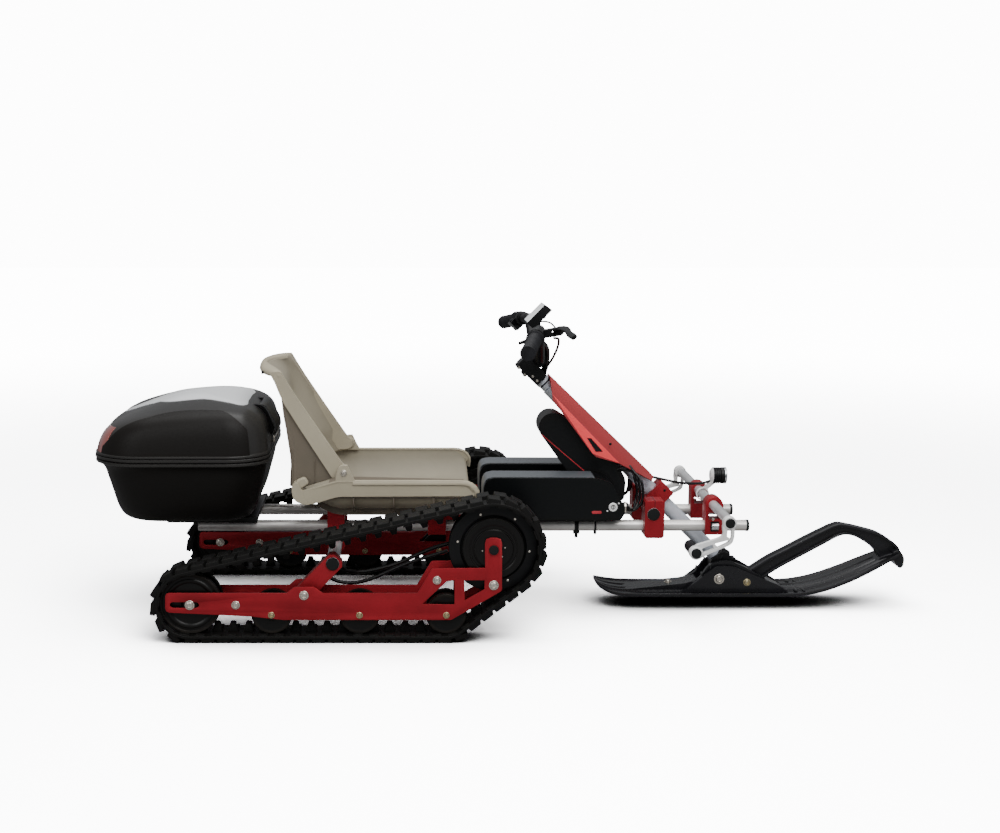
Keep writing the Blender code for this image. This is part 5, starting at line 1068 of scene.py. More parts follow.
# Side view of a front clamp: (x, z)
FRONT_CLAMP = [
    (0.3068, 0.177), (0.3023, 0.1815), (0.3023, 0.259), (0.3053, 0.262), (0.3428, 0.262),
    (0.3458, 0.259), (0.3458, 0.1815), (0.3413, 0.177)
]
# Opening in the front seat bracket, filled by a black plate that stands for the shade inside it: painted
# shade
BRACKET_WINDOW = [(0.451, 0.19, 0.002), (0.451, 0.213, 0.002), (0.47, 0.213, 0.002), (0.47, 0.19, 0.002)]


class SNOWKART_OT_clamps(bpy.types.Operator):
    """Red clamp blocks on the rails, with their screws and black caps"""
    bl_idname = "snow_kart.clamps"
    bl_label = "Clamps and Brackets"

    def execute(self, context):
        for word, side in SIDES.items():
            dressed(f"rear_clamp_{word}", f"clamp_rear_{word}", "frame", "red", 0.0012, 3)
            low, high = sorted((side * 0.07, side * 0.118))
            bm = plate(FRONT_CLAMP, low, high)
            join(bm, block((0.3233, low - 0.0004, 0.245), (0.3247, high + 0.0004, 0.2626)), 1)
            placed(bm, f"clamp_front_{word}", "frame", ["red", "black"],
                   [f"front_clamp_{word}"], edge=0.0009, segments=3)
            dressed(f"foot_bracket_{word}", f"bracket_{word}", "frame", "red", 0.0014, 3)
            face = side * (RAIL_Y + 0.0204)
            # Painted shade: a black plate fills the window, with a bright bar for the rail across it
            bm = bmesh.new()
            join(bm, plate(BRACKET_WINDOW, face - side * 0.002, face), 0)
            join(bm, bar((0.453, face - side * 0.003, 0.201), (0.469, face - side * 0.003, 0.201),
                         0.0088, 40, 0.0006), 1)
            placed(bm, f"bracket_window_{word}", "frame", ["black", "chrome"], angle=35)
            bm = bmesh.new()
            for x, z, y in ((FRONT_TUBE.x + 0.004, RAIL_Z - 0.023, side * RAIL_Y),
                            (REAR_TUBE.x, REAR_TUBE.y - 0.019, side * RAIL_Y)):
                join(bm, socket_bolt(0.0042, 0.0026), 0, along((x, y, z), (0, 0, -1)))
            join(bm, socket_bolt(0.0036, 0.002), 0,
                 along((FOOT_BAR.x, side * (RAIL_Y + 0.02), RAIL_Z + 0.0185), (0, side, 0)))
            placed(bm, f"clamp_bolts_{word}", "frame", ["steel"], angle=35)
        bm = copy_of("column_clamp")
        bmesh.ops.translate(bm, verts=bm.verts, vec=(0.005, 0, -0.002))
        placed(bm, "clamp_column", "frame", ["red"], ["column_clamp"], edge=0.0012,
               segments=3)
        dressed("seat_bracket", "bracket_seat", "frame", "red", 0.0012, 3)
        bm = bmesh.new()
        for side in (-1, 1):
            y = side * 0.026
            for n in (0.022, -0.04):
                spot = column(0.0655, n, y)
                join(bm, socket_bolt(0.003, 0.0016), 0, along(spot, (0, side, 0)))
        placed(bm, "clamp_screws", "frame", ["plug"], angle=35)
        return {"FINISHED"}


# Shares of the case's outline taken by half an end, a corner, a side and so on round it
PLAN_SHARES = (0.065, 0.075, 0.22, 0.075, 0.13, 0.075, 0.22, 0.075, 0.065)


def plan_point(u, inset_rear, inset_front, inset_side):
    """Point round the case's plan, a rectangle with round corners, from the front's middle."""
    x_rear, x_front = CASE_REAR + CASE_BOW + inset_rear, CASE_FRONT - inset_front
    half = CASE_HALF - inset_side
    room = min(half, (x_front - x_rear) / 2)
    front = min(max(CASE_FRONT_CORNER - inset_front * 0.5, 0.02), room * 0.96)
    rear = min(max(CASE_REAR_CORNER - inset_rear * 0.5, 0.02), room * 0.96)
    u = u % 1.0
    for index, share in enumerate(PLAN_SHARES):
        if u <= share or index == 8:
            break
        u -= share
    t = min(u / share, 1.0)
    turn = t * math.pi / 2
    sine, cosine = math.sin(turn), math.cos(turn)
    if index == 0:
        return x_front, -t * (half - front)
    if index == 1:
        return x_front - front + front * cosine, -(half - front) - front * sine
    if index == 2:
        return x_front - front + (x_rear + rear - x_front + front) * t, -half
    if index == 3:
        return x_rear + rear - rear * sine, -(half - rear) - rear * cosine
    if index == 4:
        off = abs(2 * t - 1)
        return x_rear - CASE_BOW * (1 - off * off * (3 - 2 * off)), (half - rear) * (2 * t - 1)
    if index == 5:
        return x_rear + rear - rear * cosine, half - rear + rear * sine
    if index == 6:
        return x_rear + rear + (x_front - front - x_rear - rear) * t, half
    if index == 7:
        return x_front - front + front * sine, half - front + front * cosine
    return x_front, (1 - t) * (half - front)


# Insets of the lid at the rear, front and sides, and the share of its height there
LID_ROWS = [
    (0.002, 0.002, 0.002, 0.01),
    (0.004, 0.003, 0.003, 0.13),
    (0.008, 0.0055, 0.0058, 0.32),
    (0.014, 0.009, 0.01, 0.49),
    (0.022, 0.015, 0.017, 0.63),
    (0.035, 0.026, 0.029, 0.735),
    (0.053, 0.043, 0.049, 0.808),
    (0.079, 0.065, 0.075, 0.858),
    (0.108, 0.09, 0.108, 0.905),
    (0.143, 0.125, 0.155, 0.955),
    (0.17, 0.155, 0.199, 0.99),
    (0.19, 0.18, 0.249, 1.0),
]
# Insets of the tub in the same way, and its height in metres
TUB_ROWS = [
    (0.0852, 0.09, 0.1, CASE_LOW),
    (0.0667, 0.065, 0.076, CASE_LOW + 0.001),
    (0.0519, 0.043, 0.058, 0.238),
    (0.0416, 0.031, 0.043, 0.26),
    (0.0327, 0.021, 0.03, 0.295),
    (0.0245, 0.013, 0.021, 0.325),
    (0.0186, 0.009, 0.016, 0.345),
    (0.0115, 0.006, 0.011, 0.356),
    (0.005, 0.003, 0.004, 0.364),
    (0.002, 0.002, 0.002, 0.377),
]


def lid_height(x):
    """Height of the lid's ridge over the seam, highest towards the front."""
    fall = 0.56 if x < LID_PEAK_X else 1.5
    return LID_RISE - fall * (x - LID_PEAK_X) ** 2


def lid_point(u, share, lift=0.0):
    """Point on the lid round it by u and up it by a share, lifted off its surface."""
    rear, front, aside, height = through(LID_ROWS, share)
    x, y = plan_point(u, rear - lift * 0.6, front - lift * 0.6, aside - lift * 0.8)
    return Vector((x, y, CASE_SEAM + lid_height(x) * height + lift * min(1.0, share * 1.6)))


def tub_point(u, share, lift=0.0):
    """Point on the tub round it by u and up it by a share."""
    rear, front, aside, z = through(TUB_ROWS, share)
    x, y = plan_point(u, rear - lift, front - lift, aside - lift)
    return Vector((x, y, z))


def lid_patch(side, first, last, low, high, lift, columns=56, rows=16):
    """Panel that follows the lid between two places round it and two heights on it."""
    def place(u, v):
        share_low = level(low, u)
        share_high = level(high, u)
        point = lid_point(first + (last - first) * u, share_low + (share_high - share_low) * v, lift)
        return Vector((point.x, -side * point.y, point.z))

    bm = sheet_of(place, columns, rows)
    bmesh.ops.recalc_face_normals(bm, faces=bm.faces)
    middle = Vector(((CASE_REAR + CASE_FRONT) / 2, 0, CASE_SEAM - 0.05))
    outward = sum(face.normal.dot(face.calc_center_median() - middle) for face in bm.faces)
    if outward < 0:
        bmesh.ops.reverse_faces(bm, faces=bm.faces)
    return bm


def case_band(profile, surface, share):
    """Ridge all round the case from an (outward, up) outline."""
    count = len(profile)

    def place(u, v):
        point = profile[int(round(v * count)) % count]
        base = surface(u, share, point[0])
        return Vector((base.x, base.y, CASE_SEAM + point[1]))

    bm = sheet_of(place, 160, count, closed=True)
    return outwards(bm)


# Section of the lid's lower lip: (outward, up)
LID_LIP = [
    (-0.001, 0.001), (0.002, 0.001), (0.003, 0.002), (0.003, 0.0052), (0.0018, 0.0068),
    (-0.001, 0.0085)
]
# Upper edge of the lid's side panel, from front to rear
PANEL_TOPS = (0.3, 0.545, 0.565, 0.575, 0.58, 0.583, 0.587, 0.59, 0.59, 0.587, 0.58, 0.565, 0.535,
              0.44, 0.16)
# Side view of the cheeks beside the latch
CHEEK = [
    (-0.62, 0.47, 0.01), (-0.576, 0.472, 0.014), (-0.55, 0.47, 0.01), (-0.54, 0.456, 0.012),
    (-0.532, 0.438, 0.012), (-0.523, 0.416, 0.008), (-0.53, 0.4, 0.008), (-0.556, 0.396)
]


class SNOWKART_OT_top_case(bpy.types.Operator):
    """Top case: textured tub, domed lid with its panels, trim, gasket and reflectors"""
    bl_idname = "snow_kart.top_case"
    bl_label = "Top Case"

    def execute(self, context):
        tub = sheet_of(tub_point, 176, 30, closed=True)
        floor = [edge for edge in tub.edges if edge.is_boundary
                 and edge.verts[0].co.z < CASE_LOW + 0.001]
        bmesh.ops.holes_fill(tub, edges=floor)
        bmesh.ops.recalc_face_normals(tub, faces=tub.faces)
        placed(tub, "case_tub_shell", "frame", ["case"], ["case_tub"], angle=50,
               wall=0.0045)
        lid = sheet_of(lid_point, 176, 44, closed=True)
        bmesh.ops.recalc_face_normals(lid, faces=lid.faces)
        placed(lid, "case_lid_shell", "case_lid", ["case_gloss"], ["case_lid"],
               angle=60, wall=0.004)
        placed(case_band(LID_LIP, lid_point, 0.0), "case_lid_lip", "case_lid",
               ["case_gloss"], angle=30)
        bm = bmesh.new()
        for top, reach, share in ((-0.0006, 0.003, 1.0), (-0.0098, 0.0034, 0.93)):
            groove = [(-0.002, top), (reach - 0.0008, top), (reach, top - 0.001),
                      (reach, top - 0.0052), (reach - 0.0012, top - 0.0064), (-0.002, top - 0.0072)]
            join(bm, case_band(groove, tub_point, share))
        placed(bm, "case_gasket", "frame", ["case_gloss"], angle=30)
        for word, side in SIDES.items():
            panel = lid_patch(side, 0.11, 0.406, (0.045, 0.045), PANEL_TOPS, 0.0024, 80, 20)
            placed(panel, f"case_panel_{word}", "case_lid", ["case"],
                   edge=0.0022, segments=3, wall=0.005, angle=50)
            lamp = lid_patch(side, 0.4, 0.452, (0.05, 0.05), (0.42, 0.44, 0.43, 0.4), 0.0014, 28, 14)
            placed(lamp, f"case_reflector_{word}", "case_lid", ["reflector"],
                   wall=0.003, edge=0.0008, angle=50)
            cheek = plate(CHEEK, side * 0.046, side * 0.064, 6)
            placed(cheek, f"case_cheek_{word}", "case_lid", ["black"], edge=0.005,
                   segments=5, angle=45)

        # The silver top ends in a point at the rear and in two horns beside the latch
        low = [0.6, 0.6, 0.59, 0.64, 0.73, 0.78, 0.796] + [0.8] * 10 + [0.795, 0.765, 0.68, 0.5]

        def silver_point(u, v):
            start = level(low, 2 * min(u, 1 - u))
            return lid_point(u, start + (1 - start) * v, 0.0012)

        top = sheet_of(silver_point, 200, 20, closed=True)
        bmesh.ops.dissolve_degenerate(top, dist=1e-5, edges=top.edges)
        placed(towards(top, (0, 0, 1)), "case_silver", "case_lid", ["silver"],
               wall=0.003, edge=0.0009, angle=50)
        return {"FINISHED"}


# Side view of the latch flap: (x, z, corner radius)
LATCH_FLAP = [
    (-0.558, 0.47, 0.004), (-0.545, 0.471, 0.008), (-0.5375, 0.46, 0.01), (-0.527, 0.443, 0.014),
    (-0.5165, 0.42, 0.01), (-0.5175, 0.406, 0.003), (-0.5225, 0.406, 0.002), (-0.524, 0.42, 0.008),
    (-0.533, 0.438, 0.012), (-0.545, 0.46, 0.008), (-0.556, 0.462, 0.004)
]


class SNOWKART_OT_latch(bpy.types.Operator):
    """Case latch: grey flap and metal catch, and the rack plate under the case"""
    bl_idname = "snow_kart.latch"
    bl_label = "Case Latch"

    def execute(self, context):
        bm = plate(LATCH_FLAP, -0.06, 0.06, 5)
        placed(bm, "latch_flap", "case_latch", ["flap"], ["case_latch"],
               edge=0.0018, segments=3)
        bm = bmesh.new()
        for y in (-0.048, 0.048):
            join(bm, block((-0.529, y - 0.006, 0.384), (-0.523, y + 0.006, 0.399), 0.0012), 0)
        join(bm, bar((-0.525, -0.056, 0.3925), (-0.525, 0.056, 0.3925), 0.0018, 16), 0)
        join(bm, block((-0.531, -0.052, 0.37), (-0.525, -0.04, 0.376), 0.0012), 0)
        placed(bm, "latch_catch", "case_lid", ["steel"], angle=35)
        dressed("case_rack", "rack_plate", "frame", "black", 0.0016)
        return {"FINISHED"}


def u_section(u, front, rear, half, radius):
    """Point along a trough's plan, from one front edge round its floor to the other."""
    side_run = front - rear - radius
    shares = (0.16, 0.17, 0.34, 0.17, 0.16)
    for index, share in enumerate(shares):
        if u <= share or index == 4:
            break
        u -= share
    t = min(max(u / share, 0.0), 1.0)
    if index == 0:
        return front - side_run * t, -half
    if index == 1:
        turn = t * math.pi / 2
        return rear + radius - radius * math.sin(turn), -half + radius - radius * math.cos(turn)
    if index == 2:
        return rear, (half - radius) * (2 * t - 1)
    if index == 3:
        turn = t * math.pi / 2
        return rear + radius - radius * math.cos(turn), half - radius + radius * math.sin(turn)
    return rear + radius + side_run * t, half


def towards(bm, axis):
    """Turn an open sheet so that its faces look along an axis."""
    bmesh.ops.recalc_face_normals(bm, faces=bm.faces)
    if sum(face.normal.dot(Vector(axis)) * face.calc_area() for face in bm.faces) < 0:
        bmesh.ops.reverse_faces(bm, faces=bm.faces)
    return bm


def swept(points, outline, steps=1):
    """Strip swept along (place, outward) stations from an (outward, up) outline."""
    count = len(outline)

    def place(u, v):
        spot = u * (len(points) - 1)
        index = min(int(spot), len(points) - 2)
        share = spot - index
        centre = points[index][0].lerp(points[index + 1][0], share)
        outward = points[index][1].lerp(points[index + 1][1], share)
        up = points[index][2].lerp(points[index + 1][2], share)
        offset = outline[int(round(v * count)) % count]
        return centre + outward * offset[0] + up * offset[1]

    bm = sheet_of(place, (len(points) - 1) * steps, count, closed=True)
    ends = [edge for edge in bm.edges if edge.is_boundary]
    bmesh.ops.holes_fill(bm, edges=ends)
    return outwards(bm)


# Half of the tray's cross section, from the rim to the middle: (y, z)
TRAY_SECTION = [
    (0.2075, 0.3255), (0.2065, 0.321), (0.2045, 0.311), (0.2005, 0.297), (0.193, 0.282),
    (0.18, 0.269), (0.161, 0.26), (0.135, 0.255), (0.09, 0.253), (0.0, TRAY_FLOOR_Z)
]
# Side view of the base's apron with its ear: (x, z, corner radius)
SEAT_APRON = [
    (-0.44, 0.2724, 0.01), (-0.4226, 0.2765, 0.02), (-0.401, 0.283, 0.02),
    (-0.377, 0.2903, 0.014), (-0.082, 0.2915, 0.006), (-0.0715, 0.302, 0.007),
    (-0.079, 0.315, 0.009), (-0.1, SEAT_RIM_Z, 0.012), (-0.34, SEAT_RIM_Z, 0.003),
    (-0.3516, 0.348, 0.01), (-0.356, 0.3585, 0.009), (-0.3745, 0.3585, 0.01),
    (-0.3795, 0.343, 0.008), (-0.3815, 0.3244, 0.003), (-0.454, 0.3035, 0.002)
]
# Side view of the hinge ear's inner layer
SEAT_EAR = [
    (-0.34, 0.323, 0.003), (-0.3516, 0.348, 0.01), (-0.356, 0.3585, 0.009), (-0.3745, 0.3585, 0.01),
    (-0.3795, 0.343, 0.008), (-0.3815, 0.323)
]
# Section of the rolled rim: (outward, up)
RIM_SECTION = [
    (-0.003, -0.003), (-0.0014, 0.0004), (0.0012, 0.0012), (0.0034, 0.0004), (0.0052, -0.0018),
    (0.0064, -0.0048), (0.007, -0.008), (0.0066, -0.0093), (0.005, -0.0095), (0.003, -0.006)
]
# Rear view of a rib on the apron's inside: (outward, up)
SEAT_RIB = [
    (0.208, 0.29), (0.208, 0.27, 0.006), (0.19, 0.253, 0.01), (0.16, 0.245), (0.16, 0.25),
    (0.185, 0.264), (0.1985, 0.28), (0.203, 0.29)
]
# Side view of the clip behind the ear
SEAT_CLIP = [
    (-0.468, 0.306, 0.004), (-0.469, 0.324, 0.008), (-0.448, 0.333, 0.006), (-0.4385, 0.318, 0.006),
    (-0.456, 0.306, 0.003)
]
# Side view of the drum under the rear of the base
SEAT_DRUM = [
    (-0.454, 0.3035, 0.003), (-0.464, 0.3225, 0.005), (-0.4745, 0.319, 0.01), (-0.478, 0.3, 0.02),
    (-0.47, 0.28, 0.018), (-0.45, 0.2722, 0.01), (-0.436, 0.2728, 0.004), (-0.436, 0.286),
    (-0.448, 0.3)
]
# Side view of the keel under the tray
SEAT_KEEL = [
    (-0.425, 0.262, 0.004), (-0.408, 0.246, 0.02), (-0.375, 0.237, 0.02), (-0.125, 0.237, 0.01),
    (-0.09, 0.252, 0.004), (-0.09, 0.26), (-0.425, 0.268)
]


class SNOWKART_OT_seat_base(bpy.types.Operator):
    """Seat base: moulded tray with rolled rims, ears, ribs and hinge bolts"""
    bl_idname = "snow_kart.seat_base"
    bl_label = "Seat Base"

    def execute(self, context):
        sizes = context.scene.snow_kart_sizes
        section = TRAY_SECTION + [(-y, z) for y, z in reversed(TRAY_SECTION[:-1])]

        def place(u, v):
            y, z = through(section, u)
            flare = max(0.0, (v - 0.93) / 0.07) ** 2
            curl = max(0.0, (v - 0.9) / 0.1) ** 2
            deep = min(1.0, max(0.0, (SEAT_RIM_Z - z) / 0.073))
            x = -0.466 + 0.388 * v - 0.006 * (1 - deep)
            behind = max(0.0, -0.366 - x)
            rise = 0.05 * (1 - math.exp(-330 * behind ** 2.165))
            wall_top = min(SEAT_RIM_Z, 0.324 + (x + 0.3815) * 0.288)
            z = TRAY_FLOOR_Z + (z - TRAY_FLOOR_Z) * (wall_top - TRAY_FLOOR_Z) / (SEAT_RIM_Z - TRAY_FLOOR_Z)
            z = min(z + rise * deep, wall_top) - 0.018 * curl * max(0.0, (z - 0.29) / 0.036)
            return Vector((x, y * (1 + 0.012 * flare), z))

        tray = towards(sheet_of(place, 80, 72), (0, 0, 1))
        # The tray's inside takes the darker copy of the seat plastic: painted shade
        placed(tray, "seat_tray", "frame", ["seat_inside_painted_shade", "seat"], ["seat_base"],
               angle=50, wall=sizes.seat_wall)
        for word, side in SIDES.items():
            bm = plate(SEAT_APRON, side * 0.2065, side * 0.2112, 6)
            placed(bm, f"seat_apron_{word}", "frame", ["seat"], edge=0.0014, segments=3)
            ear = plate(SEAT_EAR, side * 0.196, side * 0.208, 6)
            placed(ear, f"seat_ear_{word}", "frame", ["seat"], edge=0.0018, segments=3)
            path = [(-0.344, SEAT_RIM_Z), (-0.32, SEAT_RIM_Z), (-0.2, SEAT_RIM_Z),
                    (-0.112, SEAT_RIM_Z), (-0.098, 0.3242), (-0.087, 0.32), (-0.078, 0.313),
                    (-0.0722, 0.303), (-0.0712, 0.293), (-0.073, 0.28)]
            stations = []
            for index, (x, z) in enumerate(path):
                before = Vector(path[max(index - 1, 0)])
                after = Vector(path[min(index + 1, len(path) - 1)])
                way = (after - before).normalized()
                narrow = (1.0, 0.9, 0.6)[max(0, index - len(path) + 3)]
                stations.append((Vector((x, side * 0.207, z)), Vector((0, side * narrow, 0)),
                                 Vector((-way.y, 0, way.x)) * narrow))
            placed(swept(stations, RIM_SECTION, steps=4), f"seat_rim_{word}", "frame",
                   ["seat"], angle=60)
            bm = bmesh.new()
            for x in (-0.343, -0.256, -0.169):
                rib = plate(SEAT_RIB, -0.0013, 0.0013, 4)
                turn = Matrix(((0, 1, 0, x), (side, 0, 0, 0), (0, 0, 1, 0), (0, 0, 0, 1)))
                join(bm, rib, None, turn)
            bmesh.ops.recalc_face_normals(bm, faces=bm.faces)
            join(bm, block((-0.396, side * 0.2045, 0.2865), (-0.086, side * 0.208, 0.2895), 0.001, 1))
            # The ribs under the apron take the shaded copy of the plastic: painted shade
            placed(bm, f"seat_ribs_{word}", "frame", ["seat_painted_shade"])
            bm = bmesh.new()
            join(bm, bar((HINGE.x, side * 0.189, HINGE.y), (HINGE.x, side * 0.2075, HINGE.y), 0.0125,
                         32, 0.001), 1)
            join(bm, socket_bolt(0.005, 0.0034, 0.007), 0, across(HINGE.x, side * 0.211, HINGE.y, side))
            join(bm, socket_bolt(0.0056, 0.003, 0.0084), 0, across(HINGE.x, side * 0.1962, HINGE.y, -side))
            placed(bm, f"seat_bolt_{word}", "frame", ["steel", "seat"], angle=35)
            bm = plate(SEAT_CLIP, side * 0.19, side * 0.205, 6)
            placed(bm, f"seat_clip_{word}", "frame", ["seat"], edge=0.004, segments=4)
        rear = plate(SEAT_DRUM, -0.211, 0.211, 6)
        keel = plate(SEAT_KEEL, -0.15, 0.15, 6)
        # The keel under the tray takes the shaded copy of the plastic: painted shade
        placed(keel, "seat_keel", "frame", ["seat_painted_shade"], edge=0.006, segments=4)
        placed(rear, "seat_drum", "frame", ["seat"], edge=0.006, segments=5, angle=50)
        return {"FINISHED"}


# Front edge, wall behind it, height at the front edge, slope back from it, and how
# far the section has turned from a deep trough into the lip's shallow arch
BACK_ROWS = [
    (-0.384, -0.483, 0.3268, 0.33, 0.0), (-0.372, -0.482, 0.342, 0.28, 0.0),
    (-0.368, -0.481, 0.356, 0.23, 0.0), (-0.3824, -0.479, 0.38, 0.18, 0.0),
    (-0.4, -0.484, 0.406, 0.13, 0.0), (-0.4174, -0.489, 0.4325, 0.1, 0.0),
    (-0.4401, -0.4945, 0.466, 0.07, 0.02), (-0.4628, -0.499, 0.4994, 0.05, 0.1),
    (-0.4797, -0.508, 0.524, 0.03, 0.3), (-0.4905, -0.524, 0.543, 0.01, 0.65),
    (-0.4985, -0.541, 0.556, -0.06, 1.0)
]
# Half plan of the lip's inner line: (x, y)
LIP_ARCH = [
    (-0.4985, 0.1765), (-0.5, 0.173), (-0.502, 0.161), (-0.505, 0.148), (-0.5095, 0.13),
    (-0.516, 0.11), (-0.527, 0.078), (-0.537, 0.042), (-0.541, 0.0)
]
# Half plan of the lip's outer line
LIP_OUTER = [
    (-0.499, 0.1885), (-0.508, 0.188), (-0.518, 0.181), (-0.529, 0.167), (-0.54, 0.144),
    (-0.5475, 0.118), (-0.5525, 0.083), (-0.5555, 0.048), (-0.5565, 0.0)
]
# Section of the rolled lip: (share of the way out, up)
LIP_ROLL = [
    (-0.02, -0.006), (0.0, -0.0005), (0.1, 0.003), (0.32, 0.005), (0.6, 0.0048), (0.82, 0.0026),
    (0.95, -0.0012), (1.0, -0.0058), (0.96, -0.0086), (0.89, -0.008), (0.85, -0.003), (0.6, 0.0002),
    (0.3, 0.0002), (0.1, -0.005)
]
# Side view of the back's wing: (x, z, corner radius)
BACK_FLANGE = [
    (-0.524, 0.558, 0.004), (-0.499, 0.56, 0.005), (-0.4797, 0.5254, 0.05), (-0.4401, 0.466, 0.05),
    (-0.4, 0.406, 0.05), (-0.366, 0.3575, 0.008), (-0.3545, 0.348, 0.01), (-0.359, 0.329, 0.008),
    (-0.39, 0.327, 0.004), (-0.4157, 0.3684, 0.03), (-0.444, 0.411, 0.03), (-0.4747, 0.4602, 0.03),
    (-0.4916, 0.4878, 0.02), (-0.5042, 0.5139, 0.012), (-0.511, 0.533, 0.012)
]
# Side view of the web behind the wing
BACK_WEB = [
    (-0.388, 0.3262), (-0.4534, 0.305, 0.004), (-0.478, 0.305, 0.006), (-0.48, 0.372, 0.01),
    (-0.487, 0.418, 0.01), (-0.493, 0.464, 0.01), (-0.498, 0.495), (-0.485, 0.485), (-0.435, 0.41)
]


class SNOWKART_OT_seat_back(bpy.types.Operator):
    """Folding seat back: curved shell with a rolled lip, side flanges and ribs"""
    bl_idname = "snow_kart.seat_back"
    bl_label = "Seat Back"

    def execute(self, context):
        sizes = context.scene.snow_kart_sizes
        arch = LIP_ARCH + [(x, -y) for x, y in reversed(LIP_ARCH[:-1])]

        def place(u, v):
            front, rear, z_front, slope, turned = through(BACK_ROWS, v)
            turned = min(max(turned, 0.0), 1.0)
            x, y = u_section(u, front, rear, 0.1775, min(0.085, (front - rear) * 0.88))
            arch_x, arch_y = through(arch, 1 - u)
            arch_x = front + (arch_x - arch[0][0]) * (rear - front) / (arch[8][0] - arch[0][0])
            x += (arch_x - x) * turned
            y += (arch_y - y) * turned
            return Vector((x, y, z_front + (x - front) * slope))

        shell = towards(sheet_of(place, 100, 56), (1, 0, 0))
        # The shell's inside takes the darker copy of the seat plastic: painted shade
        placed(shell, "seat_back_shell", "seat_back", ["seat_inside_painted_shade", "seat"], ["seat_back"],
               angle=50, wall=sizes.seat_wall)
        # The rolled lip runs round the top from the arch to a squarer outer line
        outer = LIP_OUTER + [(x, -y) for x, y in reversed(LIP_OUTER[:-1])]

        def lip_place(u, v):
            inner_x, inner_y = through(arch, u)
            outer_x, outer_y = through(outer, u)
            out, up = LIP_ROLL[int(round(v * len(LIP_ROLL))) % len(LIP_ROLL)]
            z = 0.5555 + 0.005 * (1 - abs(inner_y / 0.1765) ** 2.5)
            return Vector((inner_x + (outer_x - inner_x) * out, inner_y + (outer_y - inner_y) * out,
                           z + up))

        bm = sheet_of(lip_place, 96, len(LIP_ROLL), closed=True)
        bmesh.ops.holes_fill(bm, edges=[edge for edge in bm.edges if edge.is_boundary])
        placed(outwards(bm), "seat_back_lip", "seat_back", ["seat"], angle=60)
        for word, side in SIDES.items():
            flange = plate(BACK_FLANGE, side * 0.177, side * WING_OUT, 6)
            placed(flange, f"seat_flange_{word}", "seat_back", ["seat"],
                   edge=0.0028, segments=4)
            # The ribs and web behind the wing take the shaded copy of the plastic: painted shade
            bm = bmesh.new()
            for x, low, top in ((-0.476, 0.31, 0.39), (-0.427, 0.315, 0.368)):
                join(bm, block((x - 0.0013, side * 0.18, low), (x + 0.0013, side * 0.1846, top),
                               0.0006, 1))
            placed(bm, f"seat_web_ribs_{word}", "seat_back", ["seat_painted_shade"])
            web = plate(BACK_WEB, side * 0.178, side * 0.1826, 3)
            placed(web, f"seat_web_{word}", "seat_back", ["seat_painted_shade"], edge=0.001)
            bm = block((-0.544, side * 0.138, 0.549), (-0.539, side * 0.148, 0.556), 0.001)
            placed(bm, f"seat_hook_{word}", "seat_back", ["black"])
        return {"FINISHED"}


# Profile of the battery lock: (radius, height)
LOCK_BARREL = [
    (0, 0), (0.0098, 0), (0.0098, 0.0012), (0.0088, 0.002), (0.0058, 0.002), (0.0052, 0.0012),
    (0, 0.0012)
]
# Side view of the charge mark
BATTERY_MARK = [
    (0.182, 0.236, 0.0032), (0.182, 0.2425, 0.0032), (0.204, 0.2425, 0.0032),
    (0.204, 0.236, 0.0032)
]


